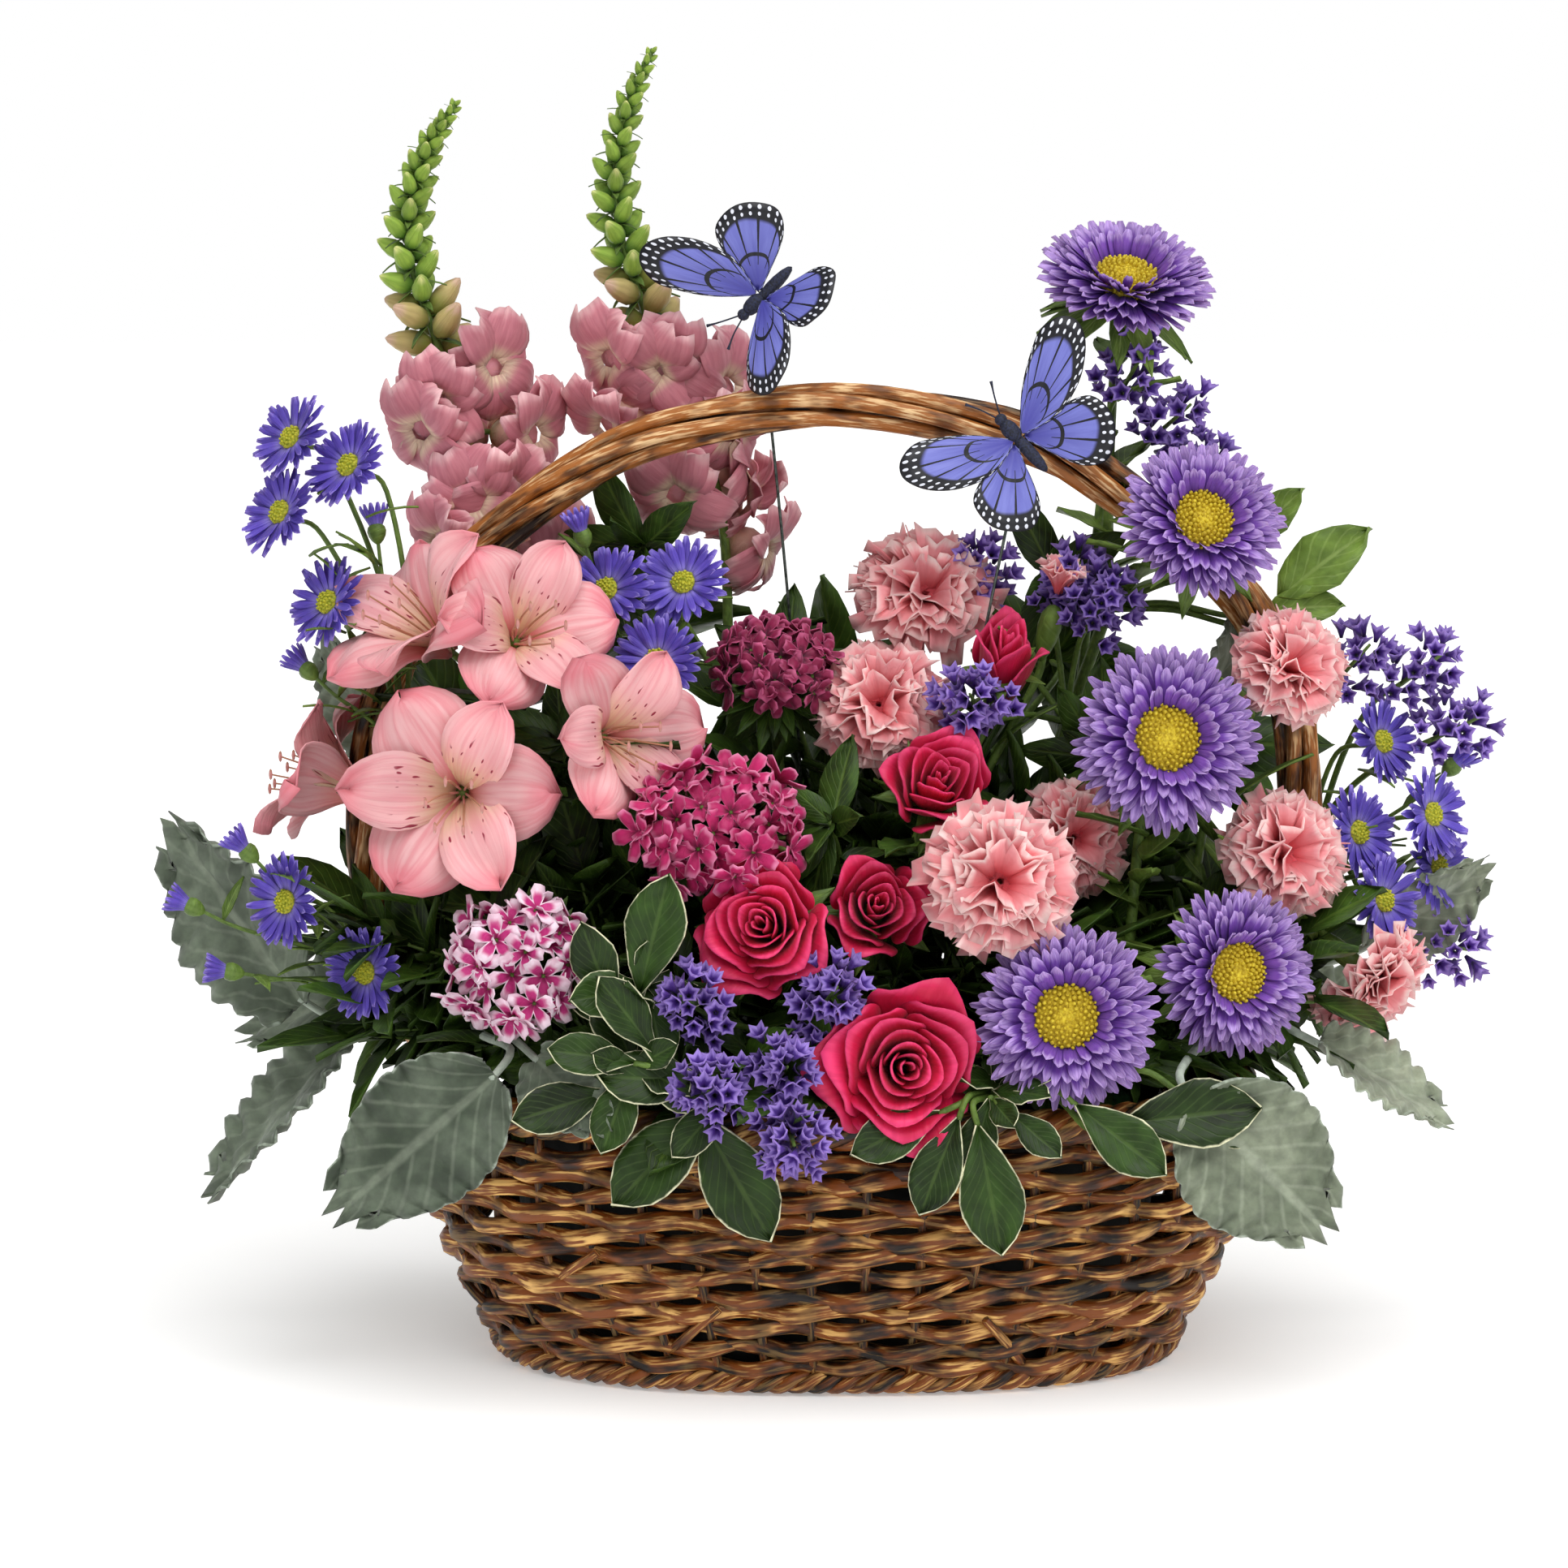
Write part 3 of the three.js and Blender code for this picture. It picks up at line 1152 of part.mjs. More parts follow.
const PITTOSPORUM_WHORL = { leaves: 5, reach: 24, shoulder: 0.62, cup: 0.12 };
const GREENS_WHORL = { leaves: 4, reach: 40, shoulder: 0.5, cup: 0.1 };
const BACK_WHORL = { leaves: 5, reach: 46, shoulder: 0.5, cup: 0.08 };
const FOLIAGE = [
  ['pittosporum_left', {
    foot: [-44, -44], fork: [-58, -72, 104], whorl: PITTOSPORUM_WHORL, seed: 203,
    targets: [[[-58, -96, 146], FRONT], [[-76, -104, 108], FRONT], [[-58, -112, 78], FRONT],
      [[-30, -114, 66], FRONT], [[-104, -102, 84], FRONT]],
  }, PAINT.pittosporum],
  ['pittosporum_right', {
    foot: [36, -46], fork: [52, -72, 100], whorl: PITTOSPORUM_WHORL, seed: 204,
    targets: [[[30, -114, 72], FRONT], [[56, -112, 62], FRONT], [[62, -108, 92], FRONT],
      [[94, -104, 78], FRONT], [[132, -80, 98], RIGHT]],
  }, PAINT.pittosporum],
  ['greens_front', {
    foot: [12, -14], fork: [10, -16, 120], whorl: GREENS_WHORL, seed: 205,
    targets: [[[-62, 6, 256], FRONT], [[-16, 12, 214], FRONT], [[70, 14, 246], FRONT],
      [[-86, -20, 196], FRONT], [[62, -50, 198], FRONT], [[-2, -54, 176], FRONT]],
  }, PAINT.greens],
  ['greens_back', {
    foot: [0, 44], fork: [0, 46, 122], whorl: BACK_WHORL, seed: 206,
    targets: [[[-122, 50, 190], BACK], [[-104, 72, 126], BACK], [[-68, 60, 220], BACK],
      [[-38, 78, 150], BACK], [[0, 62, 202], BACK], [[42, 80, 142], BACK],
      [[72, 58, 214], BACK], [[112, 68, 128], BACK], [[126, 44, 188], BACK]],
  }, PAINT.greens],
];
FOLIAGE.forEach((entry) => leafyBranch(...entry));

// ---------------------------------------------------------------- foam and its holes
placed.find(({ name }) => name === 'floral_foam').solid = fuse(
  [foam.subtract(wasm.Manifold.union(foamHoles))]);

// ---------------------------------------------------------------- scene graph
const group = new THREE.Group();
for (const { name, solid, paint } of placed) {
  const material = new THREE.MeshStandardMaterial({ ...paint, metalness: 0 });
  const mesh = new THREE.Mesh(toGeometry(solid), material);
  mesh.name = name;
  group.add(mesh);
}

export default group;
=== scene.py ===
"""Looks of a mixed flower basket arrangement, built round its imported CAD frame.

A willow basket with a twisted handle holds a liner and a block of floral foam. Cut
flowers, foliage and two butterfly picks stand in the foam.
"""

import functools
import logging
import math
import random
from collections.abc import Callable, Iterable, Sequence
from dataclasses import dataclass
from enum import Enum

import bpy
import numpy as np
from mathutils import Euler, Matrix, Vector


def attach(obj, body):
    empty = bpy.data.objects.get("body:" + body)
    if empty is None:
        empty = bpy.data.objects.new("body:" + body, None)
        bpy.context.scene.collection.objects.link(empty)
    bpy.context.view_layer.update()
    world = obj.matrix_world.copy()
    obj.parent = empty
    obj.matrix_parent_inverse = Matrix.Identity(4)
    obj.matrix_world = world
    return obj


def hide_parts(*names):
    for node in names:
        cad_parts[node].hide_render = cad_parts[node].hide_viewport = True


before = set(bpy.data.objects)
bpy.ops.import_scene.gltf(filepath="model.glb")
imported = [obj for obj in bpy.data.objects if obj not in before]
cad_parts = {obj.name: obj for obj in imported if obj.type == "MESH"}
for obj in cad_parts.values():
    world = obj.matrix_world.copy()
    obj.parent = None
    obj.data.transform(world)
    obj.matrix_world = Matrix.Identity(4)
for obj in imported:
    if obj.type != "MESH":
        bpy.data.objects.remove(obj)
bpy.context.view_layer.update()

LOG = logging.getLogger("flower_basket")
MM = 0.001
TAU = math.tau
GOLDEN_ANGLE = math.radians(137.508)
UP = Vector((0, 0, 1))
STEM_FOOT = 47
STEM_FREE = 104

Triple = tuple[float, float, float]
Rows = tuple[np.ndarray, np.ndarray, np.ndarray]
Form = Callable[[np.ndarray, np.ndarray], Rows]


# ---------------------------------------------------------------- places and directions
def frame_at(place: Sequence[float], facing: Sequence[float], roll: float = 0.0) -> Matrix:
    """The matrix of a bloom whose middle is at place and whose face looks along facing.

    Args:
        place: The bloom's middle.
        facing: Where its face looks.
        roll: Turn about its own axis.

    Returns:
        The matrix.
    """
    z = Vector(facing).normalized()
    x = UP.cross(z) if abs(z.z) < 0.98 else Vector((1, 0, 0))
    x = (x - z * x.dot(z)).normalized()
    turned = Matrix((x, z.cross(x), z)).transposed().to_4x4() @ Matrix.Rotation(roll, 4, "Z")
    turned.translation = Vector(place)
    return turned


def blade_at(base: Vector, along: Vector, face: Vector, scale: Triple) -> Matrix:
    """The matrix of a blade that grows from base along a direction, its upper side to face.

    Args:
        base: Where the blade starts.
        along: The way it grows.
        face: Where its upper side looks.
        scale: Width, length and lift.

    Returns:
        The matrix.
    """
    y = along.normalized()
    z = face - y * face.dot(y)
    z = z.normalized() if z.length > 1e-6 else y.orthogonal().normalized()
    turned = Matrix((y.cross(z), y, z)).transposed().to_4x4() @ Matrix.Diagonal((*scale, 1))
    turned.translation = base
    return turned


def petal_at(turn: float, tilt: float, length: float, width: float, out: float = 0.0,
             lift: float = 0.0, twist: float = 0.0) -> Matrix:
    """The matrix of a petal round a bloom's axis, raised by tilt from the bloom's plane.

    Args:
        turn: Turn about the bloom's axis.
        tilt: Rise from the bloom's plane.
        length: The petal's length.
        width: Its width.
        out: How far its base lies from the axis.
        lift: How far its base lies above the bloom's middle.
        twist: Turn about its own length.

    Returns:
        The matrix.
    """
    return (Matrix.Rotation(turn, 4, "Z") @ Matrix.Translation((0, out, lift))
            @ Matrix.Rotation(tilt, 4, "X") @ Matrix.Rotation(twist, 4, "Y")
            @ Matrix.Diagonal((width, length, length, 1)))


def sized_at(place: Sequence[float], size: Sequence[float]) -> Matrix:
    """Moves to a place after a change of size along each axis."""
    return Matrix.Translation(place) @ Matrix.Diagonal((*size, 1))


def around(turn: float, rise: float) -> Vector:
    """A level way at a turn, with a rise."""
    return Vector((math.cos(turn), math.sin(turn), rise))


def smooth_path(points: Sequence[Sequence[float]], steps: int) -> list[Vector]:
    """Points along a Catmull-Rom curve through the given ones, steps to each span.

    Args:
        points: The points that it passes.
        steps: Steps to each span.

    Returns:
        Points along the curve.
    """
    given = [Vector(p) for p in points]
    held = [given[0] * 2 - given[1], *given, given[-1] * 2 - given[-2]]
    path = []
    for a, b, c, d in zip(held, held[1:], held[2:], held[3:]):
        for step in range(steps):
            t = step / steps
            path.append(0.5 * (2 * b + (c - a) * t + (2 * a - 5 * b + 4 * c - d) * t * t
                               + (3 * b - a - 3 * c + d) * t ** 3))
    return [*path, given[-1]]


def bezier(controls: Sequence[tuple[float, float]], t: np.ndarray) -> tuple[np.ndarray, np.ndarray]:
    """Distance out and height of a Bezier profile at each share t.

    Args:
        controls: Control points, each a distance out and a height.
        t: Shares of the way.

    Returns:
        The distances out and the heights.
    """
    rows = [(np.full_like(t, a), np.full_like(t, b)) for a, b in controls]
    while len(rows) > 1:
        rows = [((1 - t) * p[0] + t * q[0], (1 - t) * p[1] + t * q[1])
                for p, q in zip(rows, rows[1:])]
    return rows[0]


# ---------------------------------------------------------------- shapes and pieces
@dataclass
class Shape:
    """A modelled shape in millimetres, with across, along and tone marked on each point."""

    points: np.ndarray
    quads: np.ndarray
    tris: np.ndarray
    marks: np.ndarray


def deselect() -> None:
    """Leaves nothing selected."""
    for obj in bpy.context.selected_objects:
        obj.select_set(False)


def mark_points(mesh: bpy.types.Mesh, marks: np.ndarray) -> None:
    """Stores across, along and tone on the points of a mesh."""
    layer = mesh.attributes.get("mark") or mesh.attributes.new("mark", "FLOAT_VECTOR", "POINT")
    layer.data.foreach_set("vector", marks.astype(np.float32).ravel())


def points_of(mesh: bpy.types.Mesh) -> np.ndarray:
    """The points of a mesh as rows of three.

    Args:
        mesh: The mesh.

    Returns:
        A row for each point.
    """
    flat = np.empty(len(mesh.vertices) * 3)
    mesh.vertices.foreach_get("co", flat)
    return flat.reshape(-1, 3)


def lift_out(obj: bpy.types.Object) -> Shape:
    """Takes the shape of a modelled object and removes the object.

    Args:
        obj: The modelled object.

    Returns:
        Its shape.
    """
    mesh = obj.data
    marks = np.empty(len(mesh.vertices) * 3, np.float32)
    mesh.attributes["mark"].data.foreach_get("vector", marks)
    faces = [tuple(face.vertices) for face in mesh.polygons]
    shape = Shape(points_of(mesh), np.array([f for f in faces if len(f) == 4]).reshape(-1, 4),
                  np.array([f for f in faces if len(f) == 3]).reshape(-1, 3),
                  marks.reshape(-1, 3).astype(float))
    bpy.data.objects.remove(obj)
    bpy.data.meshes.remove(mesh)
    return shape


def model_sheet(form: Form, across: int, along: int, thickness: float,
                is_round: bool = False) -> Shape:
    """Models a petal, leaf or funnel from a grid.

    Args:
        form: Gives x, y and z from across, -1 to 1, and along, 0 to 1.
        across: Faces across the grid.
        along: Faces along the grid.
        thickness: Wall thickness, in the form's own unit.
        is_round: True where the two sides of the grid meet or a side closes to a point.

    Returns:
        The finished shape, with its wall.
    """
    deselect()
    bpy.ops.mesh.primitive_grid_add(x_subdivisions=across, y_subdivisions=along, size=2)
    obj = bpy.context.object
    flat = points_of(obj.data)
    u, v = flat[:, 0], (flat[:, 1] + 1) / 2
    obj.data.vertices.foreach_set("co", np.stack(form(u, v), axis=1).ravel())
    mark_points(obj.data, np.stack([u, v, np.zeros_like(u)], axis=1))
    if is_round:
        bpy.ops.object.mode_set(mode="EDIT")
        bpy.ops.mesh.select_all(action="SELECT")
        bpy.ops.mesh.remove_doubles(threshold=thickness / 20)
        bpy.ops.mesh.normals_make_consistent(inside=False)
        bpy.ops.object.mode_set(mode="OBJECT")
    wall = obj.modifiers.new("wall", "SOLIDIFY")
    wall.thickness = thickness
    wall.offset = 0
    bpy.ops.object.modifier_apply(modifier=wall.name)
    return lift_out(obj)


def model_round(radii: Triple, segments: int, rings: int,
                squeeze: Callable[[np.ndarray], np.ndarray] | None = None) -> Shape:
    """Models a rounded body from a sphere; squeeze gives the girth at each height share.

    Args:
        radii: Half sizes along x, y and z.
        segments: Faces round it.
        rings: Faces from pole to pole.
        squeeze: Gives the girth at each share of the height.

    Returns:
        The finished shape.
    """
    deselect()
    bpy.ops.mesh.primitive_uv_sphere_add(segments=segments, ring_count=rings, radius=1)
    bpy.ops.transform.resize(value=radii)
    bpy.ops.object.transform_apply(location=False, rotation=False, scale=True)
    obj = bpy.context.object
    points = points_of(obj.data)
    share = (points[:, 2] / radii[2] + 1) / 2
    girth = squeeze(share) if squeeze else np.ones_like(share)
    points[:, 0] *= girth
    points[:, 1] *= girth
    obj.data.vertices.foreach_set("co", points.ravel())
    angle = np.arctan2(points[:, 1], points[:, 0]) / math.pi
    mark_points(obj.data, np.stack([angle, share, np.zeros_like(share)], axis=1))
    return lift_out(obj)


def model_tube(path: Sequence[Vector], radius: Callable[[float], float], sides: int = 8,
               is_loop: bool = False) -> Shape:
    """A rod or stem along a path, its radius given at each share of the way.

    Args:
        path: Points along its middle.
        radius: Gives its radius at each share of the way.
        sides: Faces round it.
        is_loop: True where its end meets its start.

    Returns:
        The finished shape.
    """
    count = len(path)
    tangents = [(path[(i + 1) % count if is_loop else min(i + 1, count - 1)]
                 - path[i - 1 if is_loop else max(i - 1, 0)]).normalized() for i in range(count)]
    side = tangents[0].orthogonal().normalized()
    rings, marks, gone = [], [], 0.0
    for i, (point, tangent) in enumerate(zip(path, tangents)):
        side = (side - tangent * side.dot(tangent)).normalized()
        other = tangent.cross(side)
        gone += (point - path[i - 1]).length if i else 0.0
        reach = radius(i / (count - 1))
        for k in range(sides):
            turn = TAU * k / sides
            rings.append(point + (side * math.cos(turn) + other * math.sin(turn)) * reach)
            marks.append((abs(2 * k / sides - 1) * 2 - 1, gone / 10, 0.0))
    spans = count if is_loop else count - 1
    low = np.arange(spans)[:, None] * sides
    high = (np.arange(spans)[:, None] + 1) % count * sides
    a, b = np.arange(sides)[None, :], (np.arange(sides)[None, :] + 1) % sides
    quads = np.stack([low + a, low + b, high + b, high + a], axis=2).reshape(-1, 4)
    tris = np.empty((0, 3), int)
    if not is_loop:
        rings += [path[0], path[-1]]
        marks += [(0.0, 0.0, 0.0), (0.0, gone / 10, 0.0)]
        first, last, ends = count * sides, count * sides + 1, (count - 1) * sides
        tris = np.array([(first, (k + 1) % sides, k) for k in range(sides)]
                        + [(last, ends + k, ends + (k + 1) % sides) for k in range(sides)])
    return Shape(np.array([tuple(p) for p in rings]), quads, tris, np.array(marks))


class Piece:
    """One visible piece, made up of copies of modelled shapes."""

    def __init__(self, name: str, slot: str, finishes: Sequence["Finish"],
                 nodes: Sequence[str] = ()) -> None:
        """Starts an empty piece.

        Args:
            name: The piece's name.
            slot: A slot name; stored, but not used.
            finishes: Its finishes, in the order of their paint numbers.
            nodes: The CAD nodes that it replaces.
        """
        self.name = name
        self.slot = slot
        self.finishes = finishes
        self.nodes = nodes
        self.points: list[np.ndarray] = []
        self.marks: list[np.ndarray] = []
        self.faces: list[list[int]] = []
        self.paints: list[int] = []
        self.count = 0

    def add(self, shape: Shape, at: Matrix | None = None, tone: float = 0.5,
            paint: int = 0) -> None:
        """Adds a copy of a shape at a matrix, with its own tone and one of the finishes.

        Args:
            shape: The shape.
            at: Its place and size, or None as modelled.
            tone: The copy's own tone.
            paint: The number of its finish.
        """
        points = shape.points
        if at is not None:
            matrix = np.array(at)
            points = points @ matrix[:3, :3].T + matrix[:3, 3]
        marks = shape.marks.copy()
        marks[:, 2] = tone
        self.points.append(points)
        self.marks.append(marks)
        self.faces += (shape.quads + self.count).tolist()
        self.faces += (shape.tris + self.count).tolist()
        self.paints += [paint] * (len(shape.quads) + len(shape.tris))
        self.count += len(points)

    def publish(self) -> bpy.types.Object:
        """Makes the piece's mesh, dresses it and puts it on the CAD frame.

        Returns:
            The finished object.
        """
        mesh = bpy.data.meshes.new(self.name)
        mesh.from_pydata(np.concatenate(self.points) * MM, [], self.faces)
        mark_points(mesh, np.concatenate(self.marks))
        for finish in self.finishes:
            mesh.materials.append(finish.material())
        mesh.polygons.foreach_set("material_index", self.paints)
        mesh.polygons.foreach_set("use_smooth", [True] * len(self.faces))
        mesh.update()
        obj = bpy.data.objects.new(self.name, mesh)
        bpy.context.scene.collection.objects.link(obj)
        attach(obj, "root")
        if self.nodes:
            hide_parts(*self.nodes)
        LOG.info("%s: %d faces", self.name, len(self.faces))
        return obj


# ---------------------------------------------------------------- finishes
def paint(text: str) -> tuple[float, float, float, float]:
    """A colour from its #RRGGBB name, as linear values.

    Args:
        text: The colour's name.

    Returns:
        Red, green, blue and 1.
    """
    parts = [int(text[i:i + 2], 16) / 255 for i in (1, 3, 5)]
    linear = [p / 12.92 if p <= 0.04045 else ((p + 0.055) / 1.055) ** 2.4 for p in parts]
    return (linear[0], linear[1], linear[2], 1.0)


Value = float | tuple | bpy.types.NodeSocket


class Graph:
    """A node tree in the making. Inputs are values or the outputs of other nodes."""

    def __init__(self, tree: bpy.types.NodeTree) -> None:
        """Starts on a node tree."""
        self.tree = tree

    def put(self, kind: str, inputs: dict[int | str, Value], out: int | str = 0,
            **options: object) -> bpy.types.NodeSocket:
        """Adds a node, sets its options and inputs and returns one output.

        Args:
            kind: The node's type.
            inputs: Its inputs, by number or name.
            out: The output that is wanted.
            **options: The node's other settings.

        Returns:
            That output.
        """
        node = self.tree.nodes.new(kind)
        for key, value in options.items():
            setattr(node, key, value)
        self.feed(node, inputs)
        return node.outputs[out]

    def feed(self, node: bpy.types.Node, inputs: dict[int | str, Value]) -> None:
        """Gives a node its inputs: an output of another node is linked, a value is set.

        Args:
            node: The node.
            inputs: Its inputs, by number or name.
        """
        for key, value in inputs.items():
            if isinstance(value, bpy.types.NodeSocket):
                self.tree.links.new(value, node.inputs[key])
            else:
                node.inputs[key].default_value = value

    def math(self, operation: str, a: Value, b: Value = 0.0) -> bpy.types.NodeSocket:
        """A Math node."""
        return self.put("ShaderNodeMath", {0: a, 1: b}, operation=operation)

    def times(self, a: Value, b: Value) -> bpy.types.NodeSocket:
        """A product."""
        return self.math("MULTIPLY", a, b)

    def plus(self, a: Value, b: Value) -> bpy.types.NodeSocket:
        """A sum."""
        return self.math("ADD", a, b)

    def minus(self, a: Value, b: Value) -> bpy.types.NodeSocket:
        """A difference."""
        return self.math("SUBTRACT", a, b)

    def span(self, value: Value, low: float, high: float, to_low: float = 0.0,
             to_high: float = 1.0) -> bpy.types.NodeSocket:
        """Maps low..high smoothly to to_low..to_high.

        Args:
            value: What is mapped.
            low: Where the span starts.
            high: Where it ends.
            to_low: The result at its start.
            to_high: The result at its end.

        Returns:
            The result.
        """
        return self.put("ShaderNodeMapRange",
                        {0: value, 1: low, 2: high, 3: to_low, 4: to_high},
                        interpolation_type="SMOOTHSTEP")

    def mix(self, share: Value, a: Value, b: Value, blend: str = "MIX") -> bpy.types.NodeSocket:
        """Mixes two colours."""
        return self.put("ShaderNodeMix", {0: share, 6: a, 7: b}, out=2, data_type="RGBA",
                        blend_type=blend)

    def dim(self, colour: Value, level: Value) -> bpy.types.NodeSocket:
        """A colour, made darker or lighter by a level."""
        return self.mix(1.0, colour, self.combine(level, level, level), "MULTIPLY")

    def noise(self, vector: Value, scale: float, detail: float = 3.0) -> bpy.types.NodeSocket:
        """Noise from 0 to 1 over a vector."""
        return self.put("ShaderNodeTexNoise",
                        {"Vector": vector, "Scale": scale, "Detail": detail}, out=0)

    def combine(self, x: Value, y: Value, z: Value) -> bpy.types.NodeSocket:
        """A vector from three values."""
        return self.put("ShaderNodeCombineXYZ", {0: x, 1: y, 2: z})

    def marks(self) -> list[bpy.types.NodeSocket]:
        """Across, along and tone of the surface.

        Returns:
            The three outputs.
        """
        vector = self.put("ShaderNodeAttribute", {}, out="Vector", attribute_name="mark")
        node = self.tree.nodes.new("ShaderNodeSeparateXYZ")
        self.tree.links.new(vector, node.inputs[0])
        return list(node.outputs)

    def bump(self, height: Value, strength: float, distance: float) -> bpy.types.NodeSocket:
        """A normal from a height."""
        return self.put("ShaderNodeBump", {"Height": height, "Strength": strength,
                                           "Distance": distance})


def shared_group(name: str, inputs: Sequence[tuple[str, float]],
                 outputs: Sequence[str]) -> tuple[bpy.types.NodeTree, Graph, list, list]:
    """Starts a shader group with number inputs and outputs.

    Args:
        name: The group's name.
        inputs: Names and starting values.
        outputs: Names of the results.

    Returns:
        The group, its graph, its input sockets and the sockets that its results go to.
    """
    group = bpy.data.node_groups.new(name, "ShaderNodeTree")
    for label, start in inputs:
        socket = group.interface.new_socket(label, in_out="INPUT", socket_type="NodeSocketFloat")
        socket.default_value = start
    for label in outputs:
        group.interface.new_socket(label, in_out="OUTPUT", socket_type="NodeSocketFloat")
    entry = group.nodes.new("NodeGroupInput")
    end = group.nodes.new("NodeGroupOutput")
    return group, Graph(group), list(entry.outputs), list(end.inputs)


def make_streaks() -> bpy.types.NodeTree:
    """Fine lines that run along a petal, leaf or rod, and a slow change of shade.

    Returns:
        The group.
    """
    group, graph, given, results = shared_group(
        "lengthwise_streaks", [("Across", 0.0), ("Along", 0.0), ("Tone", 0.5),
                               ("Density", 8.0), ("Stretch", 1.0)], ["Streak", "Shade"])
    across, along, tone, density, stretch = given[:5]
    place = graph.combine(graph.times(across, density), graph.times(along, stretch),
                          graph.times(tone, 37.0))
    streak = graph.span(graph.noise(place, 1.0, 4.0), 0.36, 0.66)
    slow = graph.combine(graph.times(across, 1.3), graph.times(along, stretch),
                         graph.times(tone, 91.0))
    group.links.new(streak, results[0])
    group.links.new(graph.span(graph.noise(slow, 1.0, 2.0), 0.3, 0.7), results[1])
    return group


def make_ribs() -> bpy.types.NodeTree:
    """A leaf's middle rib and its slanting side veins.

    Returns:
        The group.
    """
    group, graph, given, results = shared_group(
        "leaf_ribs", [("Across", 0.0), ("Along", 0.0), ("Count", 9.0), ("Slant", 0.4)],
        ["Rib", "Vein"])
    across, along, count, slant = given[:4]
    off = graph.math("ABSOLUTE", across)
    rib = graph.span(off, 0.03, 0.11, 1.0, 0.0)
    climb = graph.minus(along, graph.times(off, slant))
    wave = graph.math("FRACT", graph.times(climb, count))
    gap = graph.math("ABSOLUTE", graph.minus(wave, 0.5))
    group.links.new(rib, results[0])
    group.links.new(graph.span(gap, 0.02, 0.16, 1.0, 0.0), results[1])
    return group


STREAKS = make_streaks()
RIBS = make_ribs()


@dataclass(frozen=True)
class Finish:
    """A named look. Its material is made once."""

    name: str

    @functools.cache
    def material(self) -> bpy.types.Material:
        """The material of this finish.

        Returns:
            The material.
        """
        made = bpy.data.materials.new(self.name)
        made.use_nodes = True
        graph = Graph(made.node_tree)
        self.dress(graph, made.node_tree.nodes["Principled BSDF"])
        return made

    def dress(self, graph: Graph, shader: bpy.types.Node) -> None:
        """Wires the finish's nodes to the shader."""

    @staticmethod
    def streaks(graph: Graph, across: Value, along: Value, tone: Value, density: float,
                stretch: float) -> tuple[bpy.types.NodeSocket, bpy.types.NodeSocket]:
        """Places the lengthwise streaks.

        Args:
            graph: The material's graph.
            across: The mark across the surface.
            along: The mark along the surface.
            tone: The copy's own tone, which shifts the pattern.
            density: How many streaks lie side by side.
            stretch: How fast they change along the surface.

        Returns:
            The streaks and the slow change of shade.
        """
        streak = graph.put("ShaderNodeGroup", {
            "Across": across, "Along": along, "Tone": tone, "Density": density,
            "Stretch": stretch}, out="Streak", node_tree=STREAKS)
        return streak, streak.node.outputs["Shade"]


@dataclass(frozen=True)
class PetalFinish(Finish):
    """A petal: a heart colour at its base, a body colour, an edge colour and fine veins."""

    heart: str
    body: str
    edge: str
    vein: str
    heart_to: float = 0.35
    edge_from: float = 0.75
    vein_share: float = 0.35
    density: float = 7.0
    roughness: float = 0.55
    fleck: str = ""

    def dress(self, graph: Graph, shader: bpy.types.Node) -> None:
        """Wires the petal's colours, veins and flecks.

        Args:
            graph: The material's graph.
            shader: The shader that the results go to.
        """
        across, along, tone = graph.marks()
        streak, shade = self.streaks(graph, across, along, tone, self.density, 1.4)
        colour = graph.mix(graph.span(along, self.heart_to * 0.25, self.heart_to),
                           paint(self.heart), paint(self.body))
        rim = graph.plus(along, graph.times(shade, 0.16))
        colour = graph.mix(graph.span(rim, self.edge_from, min(1.12, self.edge_from + 0.28)),
                           colour, paint(self.edge))
        colour = graph.mix(graph.times(streak, self.vein_share), colour, paint(self.vein))
        if self.fleck:
            spot = graph.noise(graph.combine(graph.times(across, 9.0),
                                             graph.times(along, 9.0), tone), 1.0, 0.0)
            near = graph.times(graph.span(spot, 0.7, 0.74), graph.span(along, 0.3, 0.36))
            near = graph.times(near, graph.span(along, 0.6, 0.7, 1.0, 0.0))
            colour = graph.mix(near, colour, paint(self.fleck))
        light = graph.plus(graph.times(tone, 0.35), graph.times(shade, 0.12))
        graph.feed(shader, {
            "Base Color": graph.dim(colour, graph.plus(light, 0.76)),
            "Roughness": graph.span(streak, 0.0, 1.0, self.roughness - 0.08, self.roughness + 0.1),
            "Normal": graph.bump(streak, 0.35, 0.0003), "Sheen Weight": 0.06,
            "Specular IOR Level": 0.3, "Subsurface Weight": 0.12, "Subsurface Scale": 0.3,
            "Subsurface Radius": (0.004, 0.002, 0.002)})


